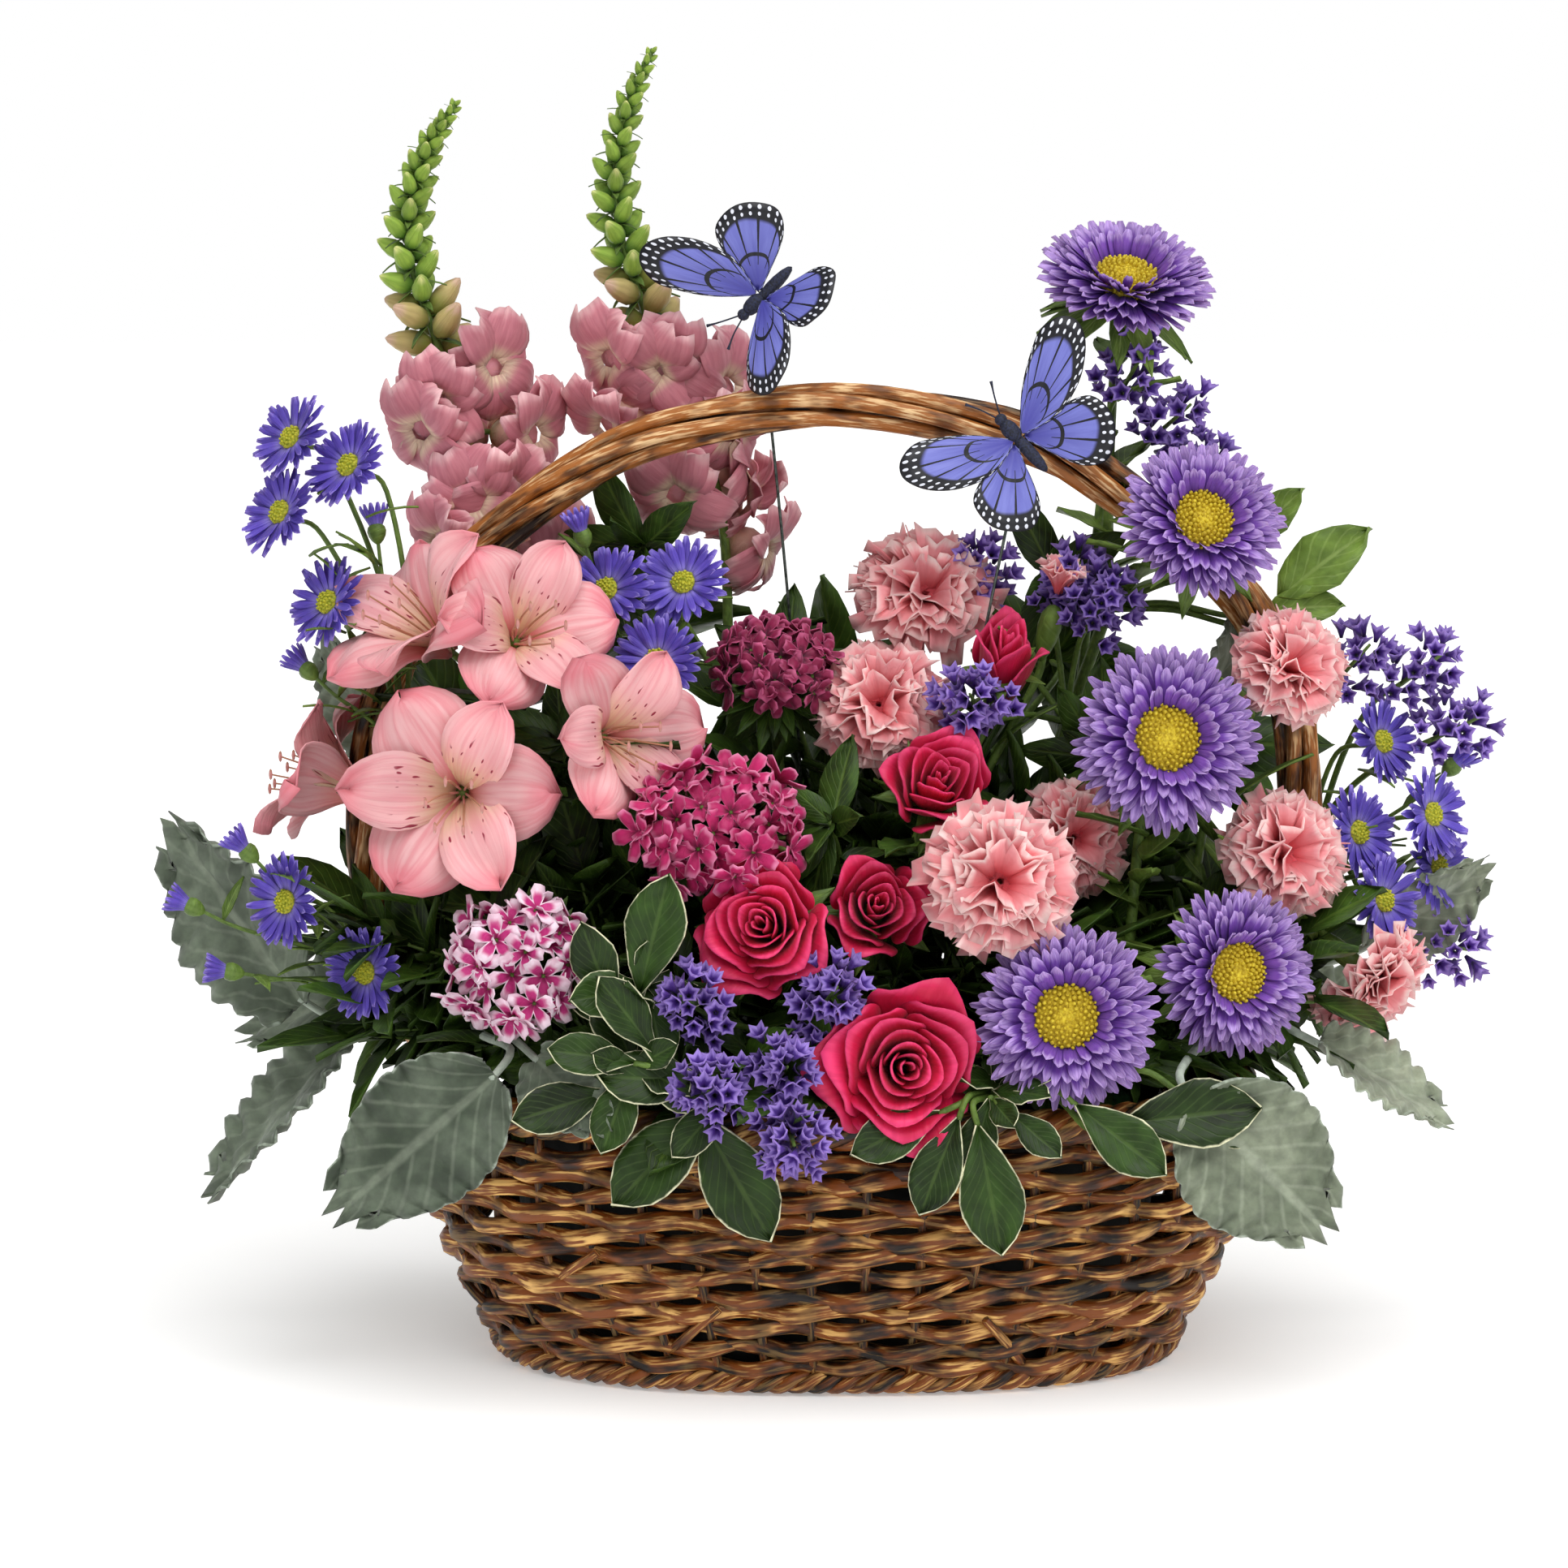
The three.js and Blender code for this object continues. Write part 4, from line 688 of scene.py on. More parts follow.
@dataclass(frozen=True)
class LeafFinish(Finish):
    """A leaf: two greens, ribs, and an edge of its own colour where it has one."""

    dark: str
    light: str
    rib: str
    margin: str = ""
    margin_from: float = 0.8
    veins: float = 9.0
    vein_share: float = 0.4
    roughness: float = 0.42
    felt: float = 0.0
    grain: float = 0.35

    def dress(self, graph: Graph, shader: bpy.types.Node) -> None:
        """Wires the leaf's greens, ribs, edge and felt.

        Args:
            graph: The material's graph.
            shader: The shader that the results go to.
        """
        across, along, tone = graph.marks()
        _, shade = self.streaks(graph, across, along, tone, 3.0, 3.0)
        mottle = graph.noise(graph.put("ShaderNodeTexCoord", {}, out="Object"), 260.0, 4.0)
        mixed = graph.plus(graph.times(shade, 0.45), graph.times(tone, 0.55))
        colour = graph.mix(mixed, paint(self.dark), paint(self.light))
        rib = graph.put("ShaderNodeGroup", {"Across": across, "Along": along,
                                            "Count": self.veins}, out="Rib", node_tree=RIBS)
        line = graph.math("MAXIMUM", rib, graph.times(rib.node.outputs["Vein"], 0.55))
        colour = graph.mix(graph.times(line, self.vein_share), colour, paint(self.rib))
        if self.margin:
            reach = graph.math("MAXIMUM", graph.math("ABSOLUTE", across), graph.minus(along, 0.08))
            reach = graph.plus(reach, graph.times(mottle, 0.12))
            colour = graph.mix(graph.span(reach, self.margin_from, self.margin_from + 0.07),
                               colour, paint(self.margin))
        level = graph.span(mottle, 0.25, 0.75, 1 - self.grain / 2, 1 + self.grain / 2)
        height = graph.minus(mottle, graph.times(line, 0.8))
        graph.feed(shader, {
            "Base Color": graph.dim(colour, level),
            "Roughness": graph.span(mottle, 0.2, 0.8, self.roughness - 0.08, self.roughness + 0.12),
            "Normal": graph.bump(height, 0.4, 0.0005), "Sheen Weight": self.felt,
            "Specular IOR Level": 0.28, "Sheen Roughness": 0.6})


@dataclass(frozen=True)
class RodFinish(Finish):
    """Stained willow: streaks along the rod over a dark, a middle and a pale brown."""

    dark: str
    middle: str
    pale: str
    pale_share: float = 0.8
    roughness: float = 0.4

    def dress(self, graph: Graph, shader: bpy.types.Node) -> None:
        """Wires the three browns, the dark one partly painted shade and the pale streaks partly
        painted highlights, and the thin coat of stain.

        Args:
            graph: The material's graph.
            shader: The shader that the results go to.
        """
        across, along, tone = graph.marks()
        streak, shade = self.streaks(graph, across, along, tone, 3.4, 0.9)
        # Low tone gives the dark brown. On the stakes and the handle's core that is painted shade;
        # elsewhere the noise varies the rods like wear.
        wear_and_painted_shade = graph.plus(graph.times(shade, 0.6), graph.times(tone, 0.4))
        colour = graph.mix(graph.span(wear_and_painted_shade, 0.1, 0.75), paint(self.dark), paint(self.middle))
        # The pale streaks are partly willow grain and partly a painted highlight.
        pale_grain_and_painted_highlight = graph.times(graph.span(streak, 0.35, 1.0),
                             graph.span(wear_and_painted_shade, 0.3, 1.0, 0.15, self.pale_share))
        graph.feed(shader, {
            "Base Color": graph.mix(pale_grain_and_painted_highlight, colour, paint(self.pale)),
            "Roughness": graph.span(streak, 0.0, 1.0, self.roughness, self.roughness + 0.2),
            "Normal": graph.bump(streak, 0.6, 0.0004), "Coat Weight": 0.12,
            "Coat Roughness": 0.35, "Specular IOR Level": 0.35})


@dataclass(frozen=True)
class GrainFinish(Finish):
    """A mottled surface of two colours, for discs, foam, film, wire and bodies."""

    first: str
    second: str
    scale: float
    roughness: float = 0.7
    height: float = 0.0004
    metal: float = 0.0

    def dress(self, graph: Graph, shader: bpy.types.Node) -> None:
        """Wires the mottled colours and their grain.

        Args:
            graph: The material's graph.
            shader: The shader that the results go to.
        """
        fine = graph.noise(graph.put("ShaderNodeTexCoord", {}, out="Object"), self.scale, 5.0)
        graph.feed(shader, {
            "Base Color": graph.mix(graph.span(fine, 0.3, 0.7), paint(self.first),
                                    paint(self.second)),
            "Roughness": graph.span(fine, 0.2, 0.8, self.roughness - 0.1, self.roughness + 0.1),
            "Normal": graph.bump(fine, 0.7, self.height), "Metallic": self.metal})


@dataclass(frozen=True)
class WingFinish(Finish):
    """A printed butterfly wing: violet blue, with dark veins, a dark edge and pale dots."""

    light: str
    deep: str
    ink: str
    dot: str

    def dress(self, graph: Graph, shader: bpy.types.Node) -> None:
        """Wires the wing's blue, its veins and edge, and the two rows of dots.

        Args:
            graph: The material's graph.
            shader: The shader that the results go to.
        """
        across, along, tone = graph.marks()
        streak, shade = self.streaks(graph, across, along, tone, 14.0, 2.0)
        colour = graph.mix(graph.span(along, 0.0, 0.75), paint(self.deep), paint(self.light))
        colour = graph.mix(graph.times(streak, 0.3), colour, paint(self.deep))
        turn = graph.math("FRACT", graph.times(across, 4.0))
        off = graph.math("ABSOLUTE", graph.minus(turn, 0.5))
        vein = graph.math("LESS_THAN", off, graph.plus(0.035, graph.times(along, 0.035)))
        vein = graph.times(vein, graph.math("GREATER_THAN", along, 0.3))
        cell = graph.math("ABSOLUTE", graph.minus(along, 0.42))
        vein = graph.math("MAXIMUM", vein, graph.math("LESS_THAN", cell, 0.022))
        edge = graph.span(graph.plus(along, graph.times(shade, 0.05)), 0.8, 0.85)
        side = graph.span(graph.math("ABSOLUTE", across), 0.94, 0.97)
        ink = graph.math("MAXIMUM", graph.math("MAXIMUM", vein, edge), side)
        colour = graph.mix(ink, colour, paint(self.ink))
        row = graph.math("FRACT", graph.times(across, 11.0))
        step = graph.times(graph.minus(row, 0.5), 0.13)
        dots = 0.0
        for ring, size in ((0.955, 0.026), (0.875, 0.022)):
            rise = graph.minus(along, ring)
            far = graph.plus(graph.times(step, step), graph.times(rise, rise))
            dots = graph.math("MAXIMUM", dots, graph.math("LESS_THAN", far, size * size))
        graph.feed(shader, {
            "Base Color": graph.mix(dots, colour, paint(self.dot)),
            "Roughness": graph.span(streak, 0.0, 1.0, 0.42, 0.58),
            "Normal": graph.bump(ink, 0.4, 0.0003)})


# The dark browns stand partly for painted shade in the gaps, the pale browns partly for painted
# highlights.
WILLOW = RodFinish("willow_stained", "#120602", "#864614", "#FFCB78", pale_share=1.0)
HANDLE_WILLOW = RodFinish("twisted_willow", "#241006", "#B06A2C", "#FFD8A0", pale_share=1.0)
STEM = LeafFinish("stem_green", "#3B5222", "#7C9A45", "#9DB56A", veins=4, vein_share=0.1)
BRACT = LeafFinish("bract_green", "#3C5520", "#7F9C42", "#A5BC6C", veins=6)
GREENS = LeafFinish("dark_leaf", "#121D09", "#45651F", "#78943E", veins=8, vein_share=0.3)
PITTOSPORUM = LeafFinish("variegated_leaf", "#121E08", "#34501A", "#6E8A46",
                         margin="#ECEAC4", margin_from=1.0, veins=9, vein_share=0.2,
                         roughness=0.45)
FELT = {"veins": 7, "vein_share": 0.25, "roughness": 0.85, "felt": 0.25, "grain": 0.45,
        "margin": "#B4C0B0", "margin_from": 1.03}
# One felted leaf in two copies: the darker one on the left is painted shade, the lighter one on the
# right painted light.
DUSTY_SHADED = LeafFinish("felted_leaf_shaded_side", "#2C3828", "#7E8A76", "#AEB8A2", **FELT)
DUSTY_LIT = LeafFinish("felted_leaf_lit_side", "#4A5642", "#A4AC94", "#CED6C0", **FELT)
ASTER_RAY = PetalFinish("aster_ray", "#5A3094", "#8050B4", "#C2A2E2", "#582E90",
                        heart_to=0.6, edge_from=0.7, vein_share=0.4, density=3)
ASTER_DISC = GrainFinish("aster_yellow", "#B89A10", "#EBD53A", 900)
DAISY_RAY = PetalFinish("small_aster_ray", "#8E80D8", "#624EBC", "#A290EA", "#44349C",
                        heart_to=0.5, edge_from=0.84, vein_share=0.4, density=3)
DAISY_DISC = GrainFinish("small_aster_disc", "#8E9A1C", "#D6CE3C", 1100)
ROSE = PetalFinish("rose_velvet", "#7A0A20", "#D21648", "#F04078", "#A80C34",
                   heart_to=0.6, edge_from=0.88, vein_share=0.25, density=9, roughness=0.5)
CARNATION = PetalFinish("carnation_frill", "#D8545E", "#F09A9E", "#FCD6D2", "#E07A82",
                        heart_to=0.85, edge_from=0.92, vein_share=0.35, density=8)
LILY_OUTER = PetalFinish("alstroemeria_outer", "#E08A80", "#F2BABC", "#EA8E98", "#DE6E7C",
                         heart_to=0.5, edge_from=0.78, vein_share=0.45, density=9)
LILY_INNER = PetalFinish("alstroemeria_inner", "#E8CBA2", "#F2B7B9", "#EA949C", "#DC7082",
                         heart_to=0.62, edge_from=0.84, vein_share=0.35, density=9,
                         fleck="#9A2F44")
FILAMENT = PetalFinish("filament", "#F0C4B4", "#E6A49C", "#B08460", "#DC9088")
SNAPDRAGON = PetalFinish("snapdragon_petal", "#EBD0B4", "#D48692", "#F2C2C4", "#B25E70",
                         heart_to=0.4, edge_from=0.86, vein_share=0.4, density=6)
SNAPDRAGON_THROAT = PetalFinish("snapdragon_throat", "#D9C58A", "#E0B4A0", "#D894A0",
                                "#C98474", heart_to=0.6)
SNAPDRAGON_BUD = PetalFinish("snapdragon_bud", "#567E28", "#92B044", "#D8DA8C", "#4A6C20",
                             heart_to=0.5, edge_from=0.86)
SNAPDRAGON_OPENING = PetalFinish("snapdragon_opening", "#8C9440", "#CDB878", "#DDB9A0",
                                 "#9C8450", heart_to=0.6)
MAGENTA_DARK = PetalFinish("sweet_william_dark", "#4F0F2C", "#8E1E4A", "#CC5E8A", "#681236",
                           heart_to=0.6, edge_from=0.86)
MAGENTA = PetalFinish("sweet_william_magenta", "#7C1440", "#C4266A", "#EE8CB4", "#98184E",
                      heart_to=0.5, edge_from=0.84)
MAGENTA_WHITE = PetalFinish("sweet_william_edged", "#8C1A50", "#C2307C", "#F6DCEA", "#AA2068",
                            heart_to=0.35, edge_from=0.62)
STATICE = PetalFinish("statice_calyx", "#2C1650", "#553490", "#9C80D2", "#3A2070",
                      heart_to=0.4, edge_from=0.72)
WING = WingFinish("butterfly_print", "#7B80D2", "#4A48A6", "#0B0B16", "#E9ECF8")
BUTTERFLY_BODY = GrainFinish("butterfly_body", "#0D0E18", "#2E3450", 1400)
WIRE = GrainFinish("pick_wire", "#3C4440", "#6A736C", 700, roughness=0.4, metal=0.8)
# The liner's dark film colour is deepened to near black: painted shade in the gaps of the weave.
LINER_PAINTED_SHADE = GrainFinish("liner_film_painted_shade", "#050605", "#121610", 120, roughness=0.6)
FOAM = GrainFinish("floral_foam", "#173417", "#2C5A2A", 420, roughness=0.95)
BARK_SHADE = RodFinish("base_willow", "#241006", "#5E3214", "#9A6630")


# ---------------------------------------------------------------- basket
@dataclass(frozen=True)
class WallSizes:
    """Millimetre sizes of the basket wall, as in the frame."""

    foot_half: float = 109.0
    bulge: float = 22.0
    bulge_height: float = 62.0
    depth_ratio: float = 0.69
    corner: float = 2.6
    height: float = 80.0


WALL = WallSizes()
BORDER_RATIO = 0.6855
FINE_STEPS = 1440


@functools.cache
def outline(half_length: float, half_depth: float, count: int) -> list[tuple[Vector, Vector]]:
    """Evenly spaced points and outward directions round the basket's rounded rectangle.

    Args:
        half_length: Half its length.
        half_depth: Half its depth.
        count: How many points.

    Returns:
        Each point with its outward direction.
    """
    fine = []
    power = 2 / WALL.corner
    for i in range(FINE_STEPS):
        c, s = math.cos(TAU * i / FINE_STEPS), math.sin(TAU * i / FINE_STEPS)
        fine.append(Vector((half_length * math.copysign(abs(c) ** power, c),
                            half_depth * math.copysign(abs(s) ** power, s), 0)))
    spans = [(fine[(i + 1) % FINE_STEPS] - fine[i]).length for i in range(FINE_STEPS)]
    lengths = np.cumsum([0.0, *spans])
    places = []
    for k in range(count):
        wanted = lengths[-1] * k / count
        i = int(np.searchsorted(lengths, wanted, side="right")) - 1
        share = (wanted - lengths[i]) / (lengths[i + 1] - lengths[i])
        a, b = fine[i % FINE_STEPS], fine[(i + 1) % FINE_STEPS]
        side = b - a
        places.append((a.lerp(b, share), Vector((side.y, -side.x, 0)).normalized()))
    return places


def wall_half(height: float) -> float:
    """Half the wall's length at a height."""
    rise = math.sin(min(max(height, 0) / WALL.bulge_height, 1) * math.pi / 2) ** 1.25
    return WALL.foot_half + WALL.bulge * rise


@dataclass
class WickerBasket:
    """The woven wall, its stakes, the two borders and the woven base."""

    rows: int = 12
    stakes: int = 42
    rod: float = 3.1
    swing: float = 1.9
    steps: int = 10

    def __post_init__(self) -> None:
        """Starts the basket's own random numbers."""
        self.random = random.Random(11)

    def wall_point(self, share: int, count: int, height: float, inset: float) -> Vector:
        """A point on the wall.

        Args:
            share: Steps round the wall.
            count: Steps in a full round.
            height: Height over the floor.
            inset: How far inside the outer face.

        Returns:
            The point.
        """
        half = wall_half(height)
        point, out = outline(half, half * WALL.depth_ratio, count)[share % count]
        return point - out * inset + UP * height

    def weave(self, piece: Piece) -> None:
        """Rods that pass in front of one stake and behind the next, row by row.

        Args:
            piece: The piece that it belongs to.
        """
        count = self.stakes * self.steps
        pitch = (WALL.height - 7.5) / self.rows
        for row in range(self.rows):
            level = 6.5 + (row + 0.5) * pitch
            ring = outline(wall_half(level), wall_half(level) * WALL.depth_ratio, count)
            start = self.random.randrange(count)
            cuts = [int(count * (k + self.random.uniform(-0.2, 0.2)) / 5) for k in range(5)]
            cuts.append(cuts[0] + count)
            for first, last in zip(cuts, cuts[1:]):
                thick = self.rod * self.random.uniform(0.86, 1.08)
                drift = self.random.uniform(-0.5, 0.5)
                slope = self.random.uniform(0.4, 1.1)
                beat = self.random.uniform(3, 6)
                path = []
                for k in range(first, last + self.steps // 2):
                    i = (start + k) % count
                    phase = math.pi * (i / self.steps + row)
                    point, out = ring[i]
                    wave = math.cos(phase)
                    swing = self.swing * math.copysign(abs(wave) ** 0.75, wave)
                    rise = drift + slope * math.sin(TAU * beat * k / count) + math.sin(phase)
                    path.append(point + out * (swing - 2.25) + UP * (level + rise))
                rod = model_tube(path, lambda t, r=thick: r * min(1, 0.45 + 9 * t, 9.45 - 9 * t), 8)
                piece.add(rod, tone=self.random.random())

    def stake_rods(self, piece: Piece) -> None:
        """Upright rods inside the weave.

        Args:
            piece: The piece that it belongs to.
        """
        count = self.stakes
        for k in range(count):
            path = [self.wall_point(k, count, h, 3.0) for h in (3, 12, 24, 38, 52, 66, 78, 84)]
            # Tone 0 gives the stakes the darkest brown: painted shade inside the weave.
            piece.add(model_tube(path, lambda t: 1.7, 6), tone=0.0)

    def loose_ends(self, piece: Piece) -> None:
        """Cut rod ends that slant out of the weave.

        Args:
            piece: The piece that it belongs to.
        """
        for angle, low, high in ((-1.98, 14, 30), (-1.06, 8, 26), (-1.3, 30, 40), (-2.3, 34, 47),
                                 (-0.75, 18, 30), (2.2, 12, 28), (0.9, 20, 34), (-2.75, 16, 27)):
            count = 360
            middle = int((angle % TAU) / TAU * count)
            lean = 5 if low % 4 else -5
            path = [self.wall_point(middle - lean, count, low, 3.0),
                    self.wall_point(middle, count, (low + high) / 2, -0.8),
                    self.wall_point(middle + lean, count, high, -1.4)]
            rod = model_tube(smooth_path(path, 5), lambda t: 1.9 - 0.5 * t, 7)
            piece.add(rod, tone=self.random.random())

    def roll(self, piece: Piece, level: float, half: float, strands: int, thick: float,
             reach: float, turns: int) -> None:
        """A border of rods rolled round each other.

        Args:
            piece: The piece that it belongs to.
            level: Height of the border's middle.
            half: Half its length.
            strands: How many rods.
            thick: Radius of a rod.
            reach: How far the rods lie from the middle.
            turns: Turns of a rod in a full round.
        """
        count = turns * 12
        ring = outline(half, half * BORDER_RATIO, count)
        for strand in range(strands):
            path = []
            for k, (point, out) in enumerate(ring):
                turn = TAU * (k * turns / count + strand / strands)
                path.append(point + out * (reach * math.cos(turn)) + UP * (
                    level + reach * 0.92 * math.sin(turn)))
            piece.add(model_tube(path, lambda t: thick, 8, is_loop=True),
                      tone=self.random.random())

    def base(self, piece: Piece) -> None:
        """Rods laid along the base, woven over and under five cross sticks.

        Args:
            piece: The piece that it belongs to.
        """
        half = wall_half(2) - 7
        depth = half * WALL.depth_ratio
        for k in range(5):
            x = (k - 2) * half * 0.38
            reach = depth * (1 - abs(x / half) ** WALL.corner) ** (1 / WALL.corner)
            path = [Vector((x, y, 4.6)) for y in np.linspace(-reach, reach, 6)]
            piece.add(model_tube(path, lambda t: 1.6, 6), tone=self.random.random())
        rods = int(2 * depth / 5.2)
        for k in range(rods + 1):
            y = -depth + 2 * depth * (k + 0.5) / (rods + 1)
            reach = half * (1 - abs(y / depth) ** WALL.corner) ** (1 / WALL.corner)
            path = [Vector((x, y, 4.6 + 1.5 * math.cos(math.pi * (x / (half * 0.38) + k))))
                    for x in np.linspace(-reach, reach, 34)]
            piece.add(model_tube(path, lambda t: 2.2, 6), tone=self.random.random())

    def build(self) -> None:
        """Builds the wall, the rim and the base."""
        wall = Piece("woven_wall", "willow", [WILLOW], ["basket_wall"])
        self.weave(wall)
        self.stake_rods(wall)
        self.loose_ends(wall)
        self.roll(wall, 4.4, wall_half(3) - 1.6, 3, 2.1, 2.0, 34)
        wall.publish()
        rim = Piece("rolled_border", "willow", [WILLOW], ["basket_rim"])
        self.roll(rim, 86.4, 129.0, 5, 2.9, 3.5, 17)
        rim.publish()
        base = Piece("woven_base", "willow_base", [BARK_SHADE], ["basket_floor"])
        self.base(base)
        base.publish()


HANDLE_SIDE = ((114.6, 42), (117.5, 68), (121.8, 86), (132, 101), (142, 118), (148, 140),
               (149, 165), (146, 203), (133, 236), (112, 257), (88, 276), (52, 294))


@dataclass
class TwistedHandle:
    """Five willow rods twisted into the hoop of the handle."""

    strands: int = 5
    rod: float = 2.5
    reach: float = 5.15
    turns: float = 3.2

    def build(self) -> None:
        """Builds the handle's rods."""
        side = [(x, 0, z) for x, z in HANDLE_SIDE]
        hoop = smooth_path([*side, (0, 0, 302), *[(-x, y, z) for x, y, z in side[::-1]]], 7)
        count = len(hoop)
        piece = Piece("twisted_handle", "handle_willow", [HANDLE_WILLOW], ["basket_handle"])
        rng = random.Random(5)

        def ease(share: float) -> float:
            """How full the rope is, thinner near its two feet."""
            near = min(share, 1 - share) / 0.16
            return 0.62 + 0.38 * min(1, near) ** 0.8

        for strand in range(self.strands):
            path = []
            start, wander = rng.uniform(0, TAU), rng.uniform(0.9, 1.05)
            for k, point in enumerate(hoop):
                share = k / (count - 1)
                ahead = hoop[min(k + 1, count - 1)] - hoop[max(k - 1, 0)]
                out = Vector((0, 1, 0)).cross(ahead.normalized())
                turn = TAU * (self.turns * share + strand / self.strands)
                reach = self.reach * ease(share) * (wander + 0.1 * math.sin(23 * share + start))
                path.append(point + (out * math.cos(turn) + Vector((0, 1, 0)) * math.sin(turn))
                            * reach)
            rod = model_tube(path, lambda t: self.rod * ease(t), 10)
            piece.add(rod, tone=rng.random())
        # A core of tone 0 fills the gaps between the strands with dark brown: painted shade.
        piece.add(model_tube(hoop, lambda t: 1.1 * self.rod * ease(t), 8), tone=0.0)
        piece.publish()


class Filling:
    """The liner and the foam that carries the stems."""

    @staticmethod
    def build() -> None:
        """Dresses the liner and the foam of the frame."""
        for name, finish in (("basket_liner", LINER_PAINTED_SHADE), ("floral_foam", FOAM)):
            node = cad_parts[name]
            node.data.materials.clear()
            node.data.materials.append(finish.material())
            LOG.info("%s: dressed", name)


# ---------------------------------------------------------------- flower parts
def ray_form(width: float, arch: float, channel: float) -> Form:
    """A narrow ray petal of unit length.

    Args:
        width: Half its width.
        arch: How much it arches.
        channel: How far its sides lie off its middle line.

    Returns:
        The form.
    """
    def form(u: np.ndarray, v: np.ndarray) -> Rows:
        """The points of the sheet.

        Args:
            u: Across, from -1 to 1.
            v: Along, from 0 to 1.

        Returns:
            x, y and z.
        """
        half = width * np.sin(np.pi * (0.1 + 0.66 * v)) ** 0.6 * (1 - 0.4 * (v > 0.97))
        y = v * (1 - 0.04 * np.abs(u) * v)
        z = arch * np.sin(np.pi * v * 0.9) + channel * u * u * v + 0.09 * v ** 5
        return u * half, y, z
    return form


def leaf_form(half: float, peak: float, fold: float, arch: float, wave: float = 0.0,
              waves: float = 3.0) -> Form:
    """A leaf of unit length, widest at peak, folded along its rib and arching over.

    Args:
        half: Half its width.
        peak: Where it is widest.
        fold: How steeply it folds.
        arch: How much it arches.
        wave: How much its edge waves.
        waves: How many waves.

    Returns:
        The form.
    """
    def form(u: np.ndarray, v: np.ndarray) -> Rows:
        """The points of the sheet.

        Args:
            u: Across, from -1 to 1.
            v: Along, from 0 to 1.

        Returns:
            x, y and z.
        """
        bent = v ** (math.log(0.5) / math.log(peak))
        width = half * np.clip(np.sin(np.pi * bent), 0, 1) ** 0.8 + 0.02 * (1 - v)
        z = fold * np.abs(u) * half - arch * v * v
        z = z + wave * np.sin(TAU * waves * v + 1.5 * np.sign(u)) * u * u
        return u * width, v, z
    return form


def lobed_form(lobes: int, depth: float, seed: int) -> Form:
    """A broad felted leaf of unit length and unit half width, with shallow rounded lobes.

    Args:
        lobes: Lobes on a side.
        depth: How deep they are cut.
        seed: Seed of the random numbers.

    Returns:
        The form.
    """
    rng = random.Random(seed)
    offsets = [rng.uniform(-0.25, 0.25) for _ in range(2)]

    def form(u: np.ndarray, v: np.ndarray) -> Rows:
        """The points of the sheet.

        Args:
            u: Across, from -1 to 1.
            v: Along, from 0 to 1.

        Returns:
            x, y and z.
        """
        body = 0.1 + 0.95 * np.sin(np.pi * np.clip(0.04 + 0.9 * v ** 0.85, 0, 1)) ** 0.75
        side = np.where(u > 0, offsets[0], offsets[1])
        scallop = np.abs(np.sin(np.pi * (lobes * v + side)))
        width = body * (1 - depth + depth * scallop ** 0.45)
        end = 1 - 0.1 * u * u - 0.06 * np.cos(TAU * 1.5 * u) * (v > 0.9)
        z = 0.14 * np.abs(u) ** 1.5 - 0.2 * v * v
        z = z + 0.045 * np.sin(TAU * lobes * v) * np.abs(u) ** 1.5
        z = z + 0.02 * np.sin(23 * v + 7 * u + seed) + 0.015 * np.sin(17 * u - 11 * v)
        return u * width, v * end, z
    return form


def frilled_form(seed: int) -> Form:
    """A carnation petal of unit length: a fan with a toothed, ruffled edge.

    Args:
        seed: Seed of the random numbers.

    Returns:
        The form.
    """
    rng = random.Random(seed)
    phase, phase2 = rng.uniform(0, TAU), rng.uniform(0, TAU)

    def form(u: np.ndarray, v: np.ndarray) -> Rows:
        """The points of the sheet.

        Args:
            u: Across, from -1 to 1.
            v: Along, from 0 to 1.

        Returns:
            x, y and z.
        """
        tooth = 0.5 + 0.5 * np.cos(np.pi * 5 * u)
        y = v * (1 - 0.09 * tooth * v ** 3 - 0.12 * u * u)
        half = 0.09 + 0.48 * v ** 1.3
        z = 0.17 * v * v * np.sin(4.6 * u + phase) + 0.1 * v ** 3 * np.sin(9 * u + phase2)
        return u * half, y, z - 0.2 * v ** 3
    return form


def rose_form(turn: float, wrap: float, base: float, top: float, low: float, high: float,
              curl: float, tip: float) -> Form:
    """One rose petal, wrapped round the bloom's axis, for a bloom of unit radius.

    Args:
        turn: Where it stands round the axis.
        wrap: Half the angle it spans.
        base: Its base's distance from the axis.
        top: Its edge's distance from the axis.
        low: Height of its base.
        high: Height of its edge.
        curl: How far its edge rolls out.
        tip: How pointed its edge is.

    Returns:
        The form.
    """
    def form(u: np.ndarray, v: np.ndarray) -> Rows:
        """The points of the sheet.

        Args:
            u: Across, from -1 to 1.
            v: Along, from 0 to 1.

        Returns:
            x, y and z.
        """
        end = 1 - 0.2 * np.abs(u) ** 2.4 - tip * np.abs(u)
        t = v * end
        angle = turn + u * wrap * (0.5 + 0.5 * np.sin(np.pi * 0.8 * v))
        over = np.clip((t - 0.66) / 0.34, 0, 1) ** 2
        roll = np.clip((np.abs(u) - 0.5) / 0.5, 0, 1) ** 2 * v
        reach = base + (top - base) * (1 - (1 - v) ** 1.8)
        reach = reach + curl * over + 0.35 * curl * roll
        height = low + (high - low) * t ** 1.15 - 0.5 * curl * over
        height = height + 0.03 * np.sin(6 * u + turn * 3) * v
        return reach * np.cos(angle), reach * np.sin(angle), height
    return form


